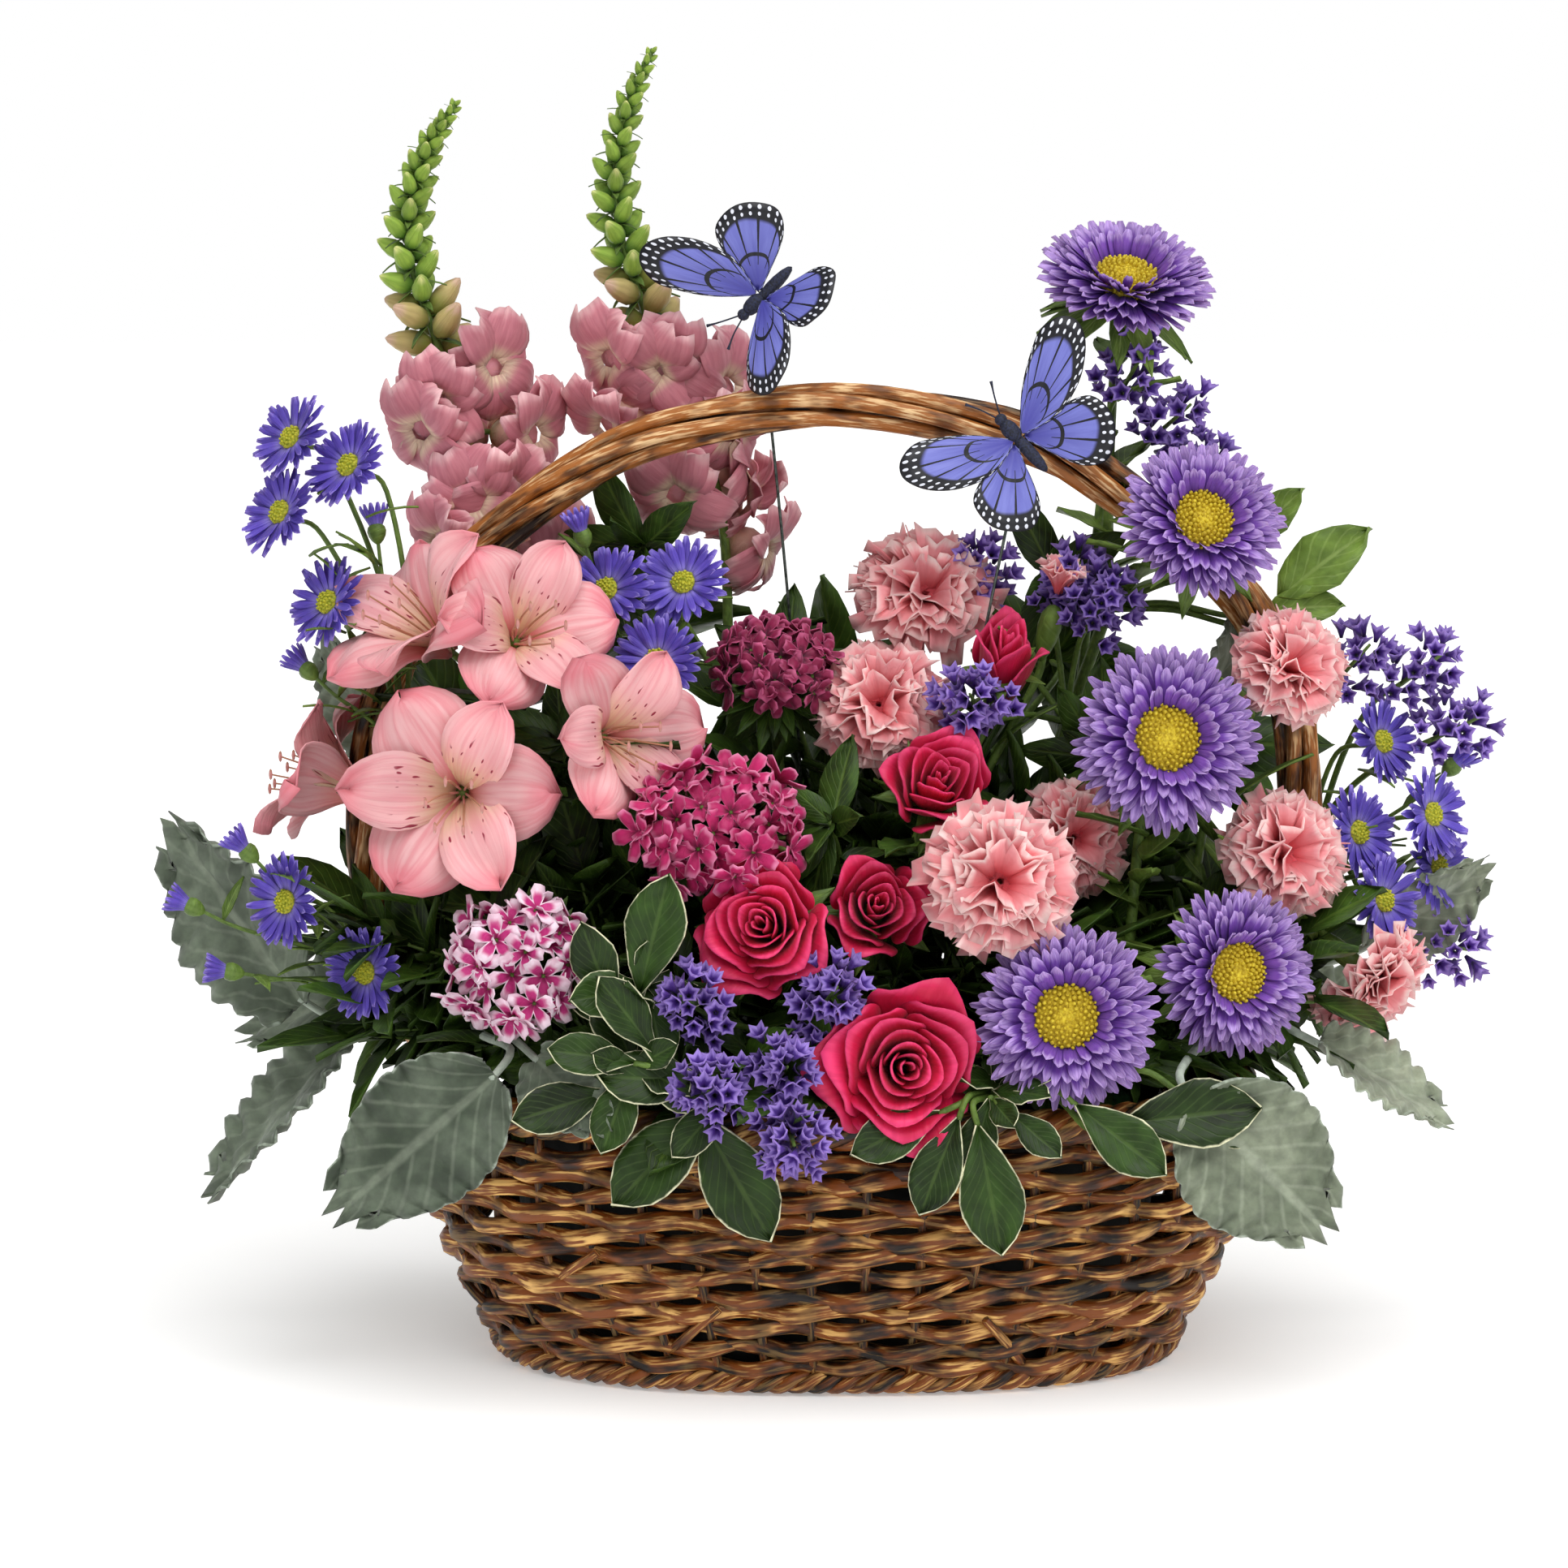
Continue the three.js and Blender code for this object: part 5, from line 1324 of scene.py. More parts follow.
def tepal_form(half: float, controls: Sequence[tuple[float, float]], peak: float,
               channel: float, ruffle: float, seed: float) -> Form:
    """One flaring tepal of a trumpet-shaped bloom of unit radius.

    Args:
        half: Half its width.
        controls: Its profile.
        peak: Where it is widest.
        channel: How far its sides lie off its middle line.
        ruffle: How much it ruffles.
        seed: Shifts the ruffles.

    Returns:
        The form.
    """
    def form(u: np.ndarray, v: np.ndarray) -> Rows:
        """The points of the sheet.

        Args:
            u: Across, from -1 to 1.
            v: Along, from 0 to 1.

        Returns:
            x, y and z.
        """
        reach, height = bezier(controls, v)
        bent = v ** (math.log(0.5) / math.log(peak))
        width = 0.055 * (1 - v) + half * np.clip(np.sin(np.pi * bent), 0, 1) ** 0.58
        reach = reach * (1 - 0.05 * np.cos(np.pi * u) * v ** 6)
        z = height + channel * u * u * (0.3 + v)
        z = z + ruffle * np.sin(9 * v + 3.5 * u + seed) * (0.3 + np.abs(u)) * v
        return u * width, reach, z
    return form


def lip_form(half: float, bend: float, seed: float) -> Form:
    """A ruffled snapdragon lobe of unit length that bends back at its end.

    Args:
        half: Half its width.
        bend: How far it bends back.
        seed: Shifts the ruffles.

    Returns:
        The form.
    """
    def form(u: np.ndarray, v: np.ndarray) -> Rows:
        """The points of the sheet.

        Args:
            u: Across, from -1 to 1.
            v: Along, from 0 to 1.

        Returns:
            x, y and z.
        """
        width = 0.12 + half * np.sin(np.pi * (0.06 + 0.8 * v)) ** 0.7
        y = v * (1 - 0.16 * u * u * v) - 0.12 * bend * v ** 4
        z = -bend * v ** 2.4 - 0.16 * u * u * v
        z = z + 0.11 * v * v * np.sin(4.2 * u + seed) + 0.05 * v ** 3 * np.sin(9 * u - seed)
        return u * width, y, z
    return form


def pink_form(u: np.ndarray, v: np.ndarray) -> Rows:
    """A flat five-petalled floret of unit radius with fringed petals.

    Args:
        u: Across, from -1 to 1.
        v: Along, from 0 to 1.

    Returns:
        x, y and z.
    """
    turn = np.pi * u
    petal = np.abs(np.cos(2.5 * turn)) ** 0.5
    reach = v * (0.3 + 0.7 * petal) * (1 - 0.09 * (np.cos(15 * turn) > 0) * v)
    height = -0.42 * (1 - v) ** 2 + 0.14 * np.cos(5 * turn) * v
    return reach * np.sin(turn), reach * np.cos(turn), height


def funnel_form(u: np.ndarray, v: np.ndarray) -> Rows:
    """A small papery funnel of unit height with a wavy mouth.

    Args:
        u: Across, from -1 to 1.
        v: Along, from 0 to 1.

    Returns:
        x, y and z.
    """
    turn = np.pi * u
    reach = 0.06 + 0.5 * v ** 1.6 * (0.8 + 0.2 * np.cos(5 * turn))
    return reach * np.sin(turn), reach * np.cos(turn), v * (0.9 + 0.1 * np.cos(5 * turn))


class Kit:
    """The shapes that repeat, each modelled once."""

    def __init__(self) -> None:
        """Models every shape."""
        self.ray = model_sheet(ray_form(0.082, 0.06, 0.05), 2, 6, 0.012)
        self.thin_ray = model_sheet(ray_form(0.105, 0.03, 0.05), 2, 5, 0.02)
        self.frills = [model_sheet(frilled_form(seed), 10, 5, 0.018) for seed in range(4)]
        self.leaf = model_sheet(leaf_form(0.2, 0.42, 0.35, 0.16, 0.01), 2, 7, 0.012)
        self.broad_leaf = model_sheet(leaf_form(0.27, 0.5, 0.3, 0.2, 0.03), 4, 8, 0.012)
        self.fill_leaf = model_sheet(leaf_form(0.2, 0.42, 0.35, 0.16), 2, 4, 0.012)
        self.fill_broad = model_sheet(leaf_form(0.27, 0.5, 0.3, 0.2), 2, 5, 0.012)
        self.spoon_leaf = model_sheet(leaf_form(0.26, 0.6, 0.22, 0.16, 0.035, 2.5), 6, 9, 0.016)
        self.bract = model_sheet(leaf_form(0.11, 0.4, 0.25, 0.25), 2, 4, 0.02)
        self.upper_lips = [model_sheet(lip_form(0.52, 0.45, s), 8, 7, 0.03) for s in (0, 2)]
        self.lower_lips = [model_sheet(lip_form(0.4, 0.75, s), 7, 6, 0.03) for s in (1, 4)]
        self.pink = model_sheet(pink_form, 30, 2, 0.04, is_round=True)
        self.funnel = model_sheet(funnel_form, 10, 2, 0.06, is_round=True)
        self.bead = model_round((0.5, 0.5, 0.7), 6, 4)
        self.bud = model_round((0.27, 0.27, 0.5), 8, 6, lambda t: 1.2 - 0.65 * t ** 1.5)
        self.throat = model_round((0.34, 0.3, 0.5), 12, 8, lambda t: 0.66 + 0.4 * t)
        self.ball = model_round((1, 1, 1), 14, 9)
        self.cup = model_round((1, 1, 1), 10, 7, lambda t: 0.62 + 0.5 * t)
        self.lobed = [model_sheet(lobed_form(8, 0.075, seed), 12, 38, 0.016)
                      for seed in (3, 8, 21)]
        outer = ((0.05, -0.58), (0.12, -0.25), (0.34, 0.06), (0.72, 0.22), (1.0, 0.1))
        inner = ((0.05, -0.58), (0.1, -0.2), (0.3, 0.1), (0.66, 0.24), (0.96, 0.2))
        self.outer_tepals = [model_sheet(tepal_form(0.46, outer, 0.66, -0.09, 0.085, s),
                                         10, 14, 0.014) for s in (0, 2, 4)]
        self.inner_tepals = [model_sheet(tepal_form(0.34, inner, 0.64, 0.08, 0.065, s),
                                         8, 14, 0.014) for s in (1, 3, 5)]
        self.open_rose = self.rose(22, 1.0, 3)
        self.half_rose = self.rose(17, 0.75, 9)
        self.rose_bud = self.rose(11, 0.34, 14)

    @staticmethod
    def rose(petals: int, openness: float, seed: int) -> list[Shape]:
        """Models the petals of a rose, from its tight heart outwards.

        Args:
            petals: How many petals.
            openness: From 0, closed, to 1, open.
            seed: Seed of the random numbers.

        Returns:
            The petals.
        """
        rng = random.Random(seed)
        made = []
        for i in range(petals):
            t = i / (petals - 1)
            top = 0.06 + (0.8 * openness + 0.1) * t ** 1.15
            high = 0.5 - 0.1 * (1 - t) ** 2 - (0.36 * openness - 0.03) * t ** 1.9
            curl = (0.015 + 0.3 * t ** 1.8) * (0.35 + 0.75 * openness)
            wrap = 1.7 - 0.75 * t ** 0.7
            made.append(model_sheet(
                rose_form(i * 2.2 + rng.uniform(-0.2, 0.2), wrap, 0.04 + 0.2 * t, top,
                          -0.55, high + rng.uniform(-0.02, 0.02), curl, 0.02 + 0.2 * t),
                12, 10, 0.024))
        return made


@dataclass(frozen=True)
class Bloom:
    """A bloom's middle, the way it faces and its radius, in millimetres."""

    place: Triple
    facing: Triple
    radius: float

    def at(self, roll: float = 0.0) -> Matrix:
        """The matrix of this bloom."""
        return frame_at(self.place, self.facing, roll)

    def behind(self, distance: float) -> Vector:
        """A point on the bloom's axis, behind it."""
        return Vector(self.place) - Vector(self.facing).normalized() * distance


def branch(piece: Piece, start: Vector, end: Vector, facing: Vector, radius: float,
           slack: float = 0.3, sides: int = 7, paint_index: int = 0, tone: float = 0.5) -> None:
    """A twig from start that comes up to end along facing.

    Args:
        piece: The piece that it belongs to.
        start: Where it starts.
        end: Where it ends.
        facing: The way it heads at its end.
        radius: Its mean radius.
        slack: How much it bows.
        sides: Faces round it.
        paint_index: Which of the piece's finishes it has.
        tone: Its tone.
    """
    reach = (end - start).length
    middle = start.lerp(end, 0.5) - facing * reach * slack * 0.5 + UP * reach * slack * 0.2
    near = end - facing * min(reach * 0.25, 14)
    path = smooth_path([start, middle, near, end], 6)
    piece.add(model_tube(path, lambda t: radius * (1.15 - 0.3 * t), sides), tone=tone,
              paint=paint_index)


def trunk(piece: Piece, foot: tuple[float, float], fork: Sequence[float], radius: float,
          paint_index: int = 0) -> None:
    """A stem from inside the foam to the point where it forks.

    Args:
        piece: The piece that it belongs to.
        foot: Where it goes into the foam.
        fork: Where it forks.
        radius: Its radius.
        paint_index: Which of the piece's finishes it has.
    """
    x, y = foot
    lean = Vector(fork) - Vector((x, y, STEM_FREE))
    path = smooth_path([(x, y, STEM_FOOT), (x, y, 80), (x, y, STEM_FREE),
                        tuple(Vector((x, y, STEM_FREE)) + lean * 0.5 + UP * 2), fork], 5)
    piece.add(model_tube(path, lambda t: radius, 8), tone=0.4, paint=paint_index)


def leaves_at(piece: Piece, leaf: Shape, spots: Iterable[Vector], step: float, rise: float,
              size: Triple, rng: random.Random, paint_index: int = 1) -> None:
    """Adds a leaf at each place of a stem, each one turned on from the last.

    Args:
        piece: The piece that they belong to.
        leaf: The leaf's shape.
        spots: Where each leaf starts.
        step: Turn from one leaf to the next, in radians.
        rise: How much they point up.
        size: Width, length and lift of a leaf.
        rng: Gives each leaf its tone.
        paint_index: Which of the piece's finishes they have.
    """
    for k, spot in enumerate(spots):
        piece.add(leaf, blade_at(spot, around(k * step, rise), UP, size), tone=rng.random(),
                  paint=paint_index)


def leafy_sprig(piece: Piece, kit: Kit, start: Vector, tip: Vector, size: float,
                rng: random.Random, spacing: float, paint_index: int, leaf: Shape,
                twig_paint: int = 0) -> None:
    """A thin twig with leaves on alternate sides and one at its end.

    Args:
        piece: The piece that it belongs to.
        kit: The modelled shapes.
        start: Where it starts.
        tip: Where it ends.
        size: Length of a leaf.
        rng: The piece's random numbers.
        spacing: Room from leaf to leaf.
        paint_index: Which of the piece's finishes the leaves have.
        leaf: The leaf's shape.
        twig_paint: Which one the twig has.
    """
    bow = Vector((rng.uniform(-4, 4), rng.uniform(-4, 4), rng.uniform(2, 8)))
    path = smooth_path([start, start.lerp(tip, 0.5) + bow, tip], 6)
    piece.add(model_tube(path, lambda t: 1.0 - 0.5 * t, 5), tone=0.3, paint=twig_paint)
    length = (tip - start).length
    count = max(2, int(length / spacing))
    for k in range(count + 1):
        share = 0.16 + 0.84 * k / count
        i = min(int(share * (len(path) - 1)), len(path) - 2)
        heading = (path[i + 1] - path[i]).normalized()
        turn = k * GOLDEN_ANGLE + rng.uniform(-0.3, 0.3)
        side = heading.orthogonal().normalized()
        side = Matrix.Rotation(turn, 3, heading) @ side
        lean = 0.75 if k < count else 4.0
        along = (heading * lean + side).normalized()
        scale = size * rng.uniform(0.78, 1.12) * (1.0 if k < count else 1.1)
        tone = rng.random()
        if any(is_in_bloom(path[i + 1] + along * scale * part) for part in (0.3, 0.55, 0.8, 1.0)):
            continue
        piece.add(leaf, blade_at(path[i + 1], along, heading + UP * 0.5, (scale,) * 3),
                  tone=tone, paint=paint_index)


# ---------------------------------------------------------------- flowers
ASTERS = (
    Bloom((92, 18, 338), (0.1, -0.5, 0.86), 29),
    Bloom((113, -26, 266), (0.2, -0.86, 0.46), 27),
    Bloom((101, -48, 201), (0.12, -0.95, 0.25), 30),
    Bloom((69, -84, 121), (0, -0.97, 0.2), 29),
    Bloom((121, -62, 131), (0.4, -0.9, 0.12), 27),
)
ROSES = (
    Bloom((20, -97, 108), (0.1, -0.95, 0.15), 24),
    Bloom((-23, -82, 149), (-0.2, -0.95, 0.3), 20),
    Bloom((12, -66, 152), (0.1, -0.9, 0.4), 16.5),
    Bloom((31, -50, 188), (0.15, -0.8, 0.6), 18),
    Bloom((53, -26, 225), (0.15, -0.5, 0.85), 12),
)
CARNATIONS = (
    Bloom((29, 2, 245), (0.1, -0.7, 0.7), 21.5),
    Bloom((13, -22, 211), (-0.05, -0.85, 0.5), 19.5),
    Bloom((50, -84, 164), (0.15, -0.9, 0.35), 22),
    Bloom((76, -24, 168), (0.2, -0.9, 0.3), 17),
    Bloom((143, -34, 224), (0.4, -0.75, 0.5), 18),
    Bloom((142, -38, 165), (0.35, -0.85, 0.3), 19.5),
    Bloom((172, -32, 120), (0.65, -0.5, -0.55), 19),
)
LILIES = (
    Bloom((-132, -30, 238), (-0.55, -0.5, 0.65), 31),
    Bloom((-97, -40, 236), (0.25, -0.85, 0.45), 29),
    Bloom((-66, -56, 204), (0.5, -0.8, 0.15), 28),
    Bloom((-118, -62, 187), (-0.1, -0.96, 0.15), 33),
    Bloom((-164, -12, 186), (-0.8, 0.15, 0.35), 27),
)
PINKS = (
    (Bloom((-19, -15, 220), (0, -0.55, 0.83), 21), (-14, 4), MAGENTA_DARK),
    (Bloom((-37, -64, 176), (0, -0.85, 0.5), 25), (-34, -26), MAGENTA),
    (Bloom((-97, -78, 136), (-0.15, -0.9, 0.4), 25), (-70, -36), MAGENTA_WHITE),
)
BLOOMS = (*ROSES, *CARNATIONS, *ASTERS, *LILIES, *(row[0] for row in PINKS))


def is_in_bloom(point: Vector) -> bool:
    """Whether a point lies among the petals of a bloom, or right before them.

    Args:
        point: The point.

    Returns:
        True if it does.
    """
    for bloom in BLOOMS:
        facing = Vector(bloom.facing).normalized()
        off = point - Vector(bloom.place)
        ahead = off.dot(facing)
        if -0.5 * bloom.radius < ahead < 1.6 * bloom.radius:
            if (off - facing * ahead).length < 0.98 * bloom.radius:
                return True
    return False


@dataclass
class AsterHeads:
    """China asters: tiers of ray petals round a disc of yellow florets."""

    kit: Kit
    tiers: tuple[tuple[int, float, float, float], ...] = (
        (44, 1.0, 0.02, 0.2), (44, 0.97, 0.15, 1.4), (40, 0.9, 0.3, 2.6), (34, 0.8, 0.5, 3.6),
        (28, 0.66, 0.8, 4.2))

    def head(self, bloom: Bloom, index: int) -> None:
        """The rays of one bloom.

        Args:
            bloom: The bloom's place, facing and radius.
            index: Its number among its kind.
        """
        rng = random.Random(60 + index)
        piece = Piece(f"aster_head_{index}_rays", "aster_petal", [ASTER_RAY, BRACT],
                      [f"aster_head_{index}"])
        at = bloom.at()
        start = 0.34 * bloom.radius
        for count, reach, tilt, lift in self.tiers:
            for k in range(count):
                turn = TAU * (k + rng.uniform(-0.25, 0.25)) / count
                length = (bloom.radius * reach - start * 0.9) * rng.uniform(0.9, 1.06)
                petal = petal_at(turn, tilt + rng.uniform(-0.12, 0.14), length,
                                 bloom.radius * rng.uniform(0.62, 0.85), start * 0.9, lift,
                                 rng.uniform(-0.4, 0.4))
                piece.add(self.kit.ray, at @ petal, tone=rng.random())
        back = at @ sized_at((0, 0, -1.5), (0.4 * bloom.radius, 0.4 * bloom.radius, 3.2))
        piece.add(self.kit.ball, back, tone=0.4, paint=1)
        piece.publish()

    def disc(self, bloom: Bloom, index: int) -> None:
        """The florets of one disc.

        Args:
            bloom: The bloom's place, facing and radius.
            index: Its number among its kind.
        """
        rng = random.Random(80 + index)
        piece = Piece(f"aster_disc_{index}_florets", "aster_disc", [ASTER_DISC],
                      [f"aster_disc_{index}"])
        at = bloom.at()
        reach = 0.385 * bloom.radius
        dome = at @ sized_at((0, 0, 3.2), (reach, reach, 3.6))
        piece.add(self.kit.ball, dome, tone=0.2)
        for k in range(150):
            out = reach * math.sqrt((k + 0.5) / 150)
            dip = 0.9 * (out < reach * 0.3)
            height = 3.4 + 3.6 * math.sqrt(max(0.0, 1 - (out / reach) ** 2)) - dip
            turn = k * GOLDEN_ANGLE
            size = rng.uniform(1.3, 1.75)
            place = sized_at((out * math.cos(turn), out * math.sin(turn), height),
                             (size, size, size * 1.5))
            piece.add(self.kit.bead, at @ place, tone=rng.random())
        piece.publish()

    def stems(self, name: str, foot: tuple[float, float], fork: Triple,
              blooms: Sequence[Bloom], leaves: Sequence[tuple[Triple, Triple]] = ()) -> None:
        """The stem under a group of asters, with the green bracts behind each head.

        Args:
            name: Its name.
            foot: Where it goes into the foam.
            fork: Where it forks.
            blooms: The blooms that it carries.
            leaves: Base and tip of each broad leaf.
        """
        rng = random.Random(len(name))
        piece = Piece(f"{name}_green", "stem", [STEM, BRACT], [name])
        trunk(piece, foot, fork, 2.0)
        for bloom in blooms:
            facing = Vector(bloom.facing).normalized()
            branch(piece, Vector(fork), bloom.behind(4), facing, 1.6)
            cup = bloom.at() @ sized_at((0, 0, -6), (6.5, 6.5, 4.5))
            piece.add(self.kit.cup, cup, tone=0.4)
            for k in range(16):
                length = bloom.radius * rng.uniform(0.62, 0.95)
                petal = petal_at(k * TAU / 16 + rng.uniform(-0.2, 0.2), rng.uniform(-0.35, -0.08),
                                 length, length * 1.35, 3, -4.5 - (k % 2))
                piece.add(self.kit.bract, bloom.at() @ petal, tone=rng.random(), paint=1)
            spots = [Vector(fork).lerp(bloom.behind(4), 0.12 + 0.11 * k) for k in range(7)]
            leaves_at(piece, self.kit.leaf, spots, 2.4, 0.5, (24, 24, 24), rng)
        for base, tip in leaves:
            along = Vector(tip) - Vector(base)
            branch(piece, Vector(fork), Vector(base), along.normalized(), 1.0)
            piece.add(self.kit.broad_leaf, blade_at(Vector(base), along, Vector((-0.3, -1, 0.5)),
                                                    (along.length,) * 3), tone=0.8, paint=1)
        piece.publish()

    def build(self) -> None:
        """Builds every aster."""
        for index, bloom in enumerate(ASTERS, 1):
            self.head(bloom, index)
            self.disc(bloom, index)
        self.stems("aster_stem_high", (44, 26), (88, 20, 235), ASTERS[:2], (
            ((142, 6, 240), (168, 0, 264)), ((138, 4, 236), (160, -6, 240)),
            ((132, 4, 258), (146, -4, 276))))
        self.stems("aster_stem_low", (62, -26), (92, -30, 130), ASTERS[2:])


@dataclass
class RoseBlooms:
    """Spray roses, from a wide open bloom to a bud."""

    kit: Kit

    def build(self) -> None:
        """Builds the roses and their stem."""
        kinds = (self.kit.open_rose, self.kit.open_rose, self.kit.half_rose, self.kit.half_rose,
                 self.kit.rose_bud)
        swell = (1.02, 1.04, 1.2, 1.2, 2.1)
        for index, (bloom, petals, grow) in enumerate(zip(ROSES, kinds, swell), 1):
            rng = random.Random(90 + index)
            piece = Piece(f"rose_{index}_petals", "rose_petal", [ROSE], [f"rose_{index}"])
            at = bloom.at(index * 0.9) @ Matrix.Scale(bloom.radius * grow, 4)
            for petal in petals:
                piece.add(petal, at, tone=rng.random())
            piece.publish()
        stem = Piece("rose_stem_green", "stem", [STEM, GREENS], ["rose_stem"])
        trunk(stem, (4, -38), (10, -44, 128), 2.0)
        rng = random.Random(4)
        for bloom in ROSES:
            facing = Vector(bloom.facing).normalized()
            depth = bloom.radius * 0.6
            branch(stem, Vector((10, -44, 128)), bloom.behind(depth), facing, 1.6)
            cup = bloom.at() @ Matrix.Translation((0, 0, -depth - 1)) @ Matrix.Diagonal(
                (bloom.radius * 0.26, bloom.radius * 0.26, 4, 1))
            stem.add(self.kit.cup, cup, tone=0.4)
            for k in range(5):
                length = bloom.radius * rng.uniform(0.8, 1.0) + 3
                sepal = petal_at(k * TAU / 5 + 0.3, rng.uniform(0.1, 0.5), length, length * 1.4,
                                 1.5, -depth)
                stem.add(self.kit.bract, bloom.at() @ sepal, tone=rng.random())
            for k in range(5 if bloom.place[1] > -60 else 0):
                spot = Vector((10, -44, 128)).lerp(bloom.behind(depth), 0.25 + 0.12 * k)
                side = around(k * 2.4 + 1, 0.2)
                tone = rng.random()
                if not any(is_in_bloom(spot + side.normalized() * out) for out in (8, 16, 24)):
                    stem.add(self.kit.broad_leaf, blade_at(spot, side, UP, (25, 25, 25)),
                             tone=tone, paint=1)
        stem.publish()


@dataclass
class CarnationBlooms:
    """Spray carnations: frilled petals packed in a dome over a long green calyx."""

    kit: Kit
    petals: int = 44

    def bloom(self, piece: Piece, bloom: Bloom, seed: int) -> None:
        """The petals of one bloom.

        Args:
            piece: The piece that it belongs to.
            bloom: The bloom's place, facing and radius.
            seed: Seed of the random numbers.
        """
        rng = random.Random(seed)
        at = bloom.at()
        for k in range(self.petals):
            share = ((k + 0.5) / self.petals) ** 0.6
            tilt = math.radians(88 - 86 * share)
            length = bloom.radius * (0.84 + 0.2 * share) * rng.uniform(0.86, 1.06)
            petal = petal_at(k * GOLDEN_ANGLE + rng.uniform(-0.25, 0.25), tilt, length,
                             length * rng.uniform(1.05, 1.4), 0.05 * bloom.radius,
                             -bloom.radius * (0.5 - 0.28 * share), rng.uniform(-0.6, 0.6))
            piece.add(self.kit.frills[k % 4], at @ petal, tone=rng.random())

    def stems(self, name: str, foot: tuple[float, float], fork: Triple,
              blooms: Sequence[Bloom], buds: Sequence[Bloom]) -> None:
        """The stem of a group, with calyces, narrow leaves and buds.

        Args:
            name: Its name.
            foot: Where it goes into the foam.
            fork: Where it forks.
            blooms: The blooms that it carries.
            buds: The buds that it carries.
        """
        rng = random.Random(len(name) + 3)
        piece = Piece(f"{name}_green", "stem", [STEM, BRACT, CARNATION], [name])
        trunk(piece, foot, fork, 1.9)
        for bloom in (*blooms, *buds):
            facing = Vector(bloom.facing).normalized()
            depth = bloom.radius * 0.5 if bloom in blooms else 4.0
            width = bloom.radius * 0.2 if bloom in blooms else 4.4
            branch(piece, Vector(fork), bloom.behind(depth + 14), facing, 1.4)
            calyx = bloom.at() @ sized_at((0, 0, -depth - 10), (width, width, 10))
            piece.add(self.kit.cup, calyx, tone=0.7)
            end = bloom.behind(depth + 14)
            spots = [Vector(fork).lerp(end, 0.1 + 0.16 * k) for k in range(6)]
            leaves_at(piece, self.kit.bract, spots, 2.1, 0.9, (26, 30, 26), rng)
        for bud in buds:
            for k in range(7):
                petal = petal_at(k * GOLDEN_ANGLE, 1.3, 12, 9, 0.6, 0, 0.3)
                piece.add(self.kit.frills[k % 4], bud.at() @ petal, tone=rng.random(), paint=2)
        piece.publish()

    def build(self) -> None:
        """Builds the carnations and their stems."""
        for index, bloom in enumerate(CARNATIONS, 1):
            piece = Piece(f"carnation_{index}_petals", "carnation_petal", [CARNATION],
                          [f"carnation_{index}"])
            self.bloom(piece, bloom, 30 + index)
            piece.publish()
        bud = Bloom((70, -10, 243), (0.2, -0.3, 0.9), 6)
        self.stems("carnation_stem_left", (22, 4), (32, -6, 150), CARNATIONS[:3], [bud])
        self.stems("carnation_stem_right", (88, -20), (112, -14, 128), CARNATIONS[3:], [])


@dataclass
class AlstroemeriaBlooms:
    """Peruvian lilies: three broad tepals, three narrow flecked ones and curved filaments."""

    kit: Kit

    def bloom(self, bloom: Bloom, index: int) -> None:
        """One bloom with its filaments.

        Args:
            bloom: The bloom's place, facing and radius.
            index: Its number among its kind.
        """
        rng = random.Random(120 + index)
        piece = Piece(f"alstroemeria_{index}_tepals", "alstroemeria_petal",
                      [LILY_OUTER, LILY_INNER, FILAMENT], [f"alstroemeria_{index}"])
        at = bloom.at(0.52)
        for k in range(3):
            turn = TAU * k / 3
            size = bloom.radius * rng.uniform(0.96, 1.04)
            shape = Matrix.Rotation(turn, 4, "Z") @ Matrix.Scale(size, 4)
            piece.add(self.kit.outer_tepals[k], at @ shape, tone=rng.random())
            shape = Matrix.Rotation(turn + TAU / 6, 4, "Z") @ Matrix.Scale(size, 4)
            piece.add(self.kit.inner_tepals[k], at @ shape, tone=rng.random(), paint=1)
        for k in range(6):
            turn = TAU * k / 6 + 0.4
            out = bloom.radius * 0.16
            path = [(0.8 * math.cos(turn), 0.8 * math.sin(turn), -0.5 * bloom.radius),
                    (out * math.cos(turn), out * math.sin(turn) - 2, -0.05 * bloom.radius),
                    (out * 1.7 * math.cos(turn), out * 1.5 * math.sin(turn) - 5,
                     0.42 * bloom.radius + rng.uniform(-2, 2))]
            lifted = [at @ Vector(p) for p in path]
            piece.add(model_tube(smooth_path(lifted, 5), lambda t: 0.42 - 0.14 * t, 5), paint=2,
                      tone=0.6)
            anther = sized_at(lifted[-1], (1.3, 1.3, 2.6))
            piece.add(self.kit.bead, anther, tone=0.1, paint=2)
        piece.publish()

    def build(self) -> None:
        """Builds the blooms and their stem."""
        for index, bloom in enumerate(LILIES, 1):
            self.bloom(bloom, index)
        fork = (-92, 2, 160)
        stem = Piece("alstroemeria_stem_green", "stem", [STEM, GREENS], ["alstroemeria_stem"])
        trunk(stem, (-64, 14), fork, 2.1)
        rng = random.Random(8)
        for bloom in LILIES:
            facing = Vector(bloom.facing).normalized()
            depth = 0.56 * bloom.radius
            branch(stem, Vector(fork), bloom.behind(depth), facing, 1.5)
            ovary = bloom.at() @ sized_at((0, 0, -depth), (2.8, 2.8, 3.6))
            stem.add(self.kit.cup, ovary, tone=0.7)
            spots = [Vector(fork).lerp(bloom.behind(depth), 0.08 + 0.15 * k) for k in range(6)]
            leaves_at(stem, self.kit.leaf, spots, 2.4, 0.3, (34, 34, 34), rng)
        stem.publish()


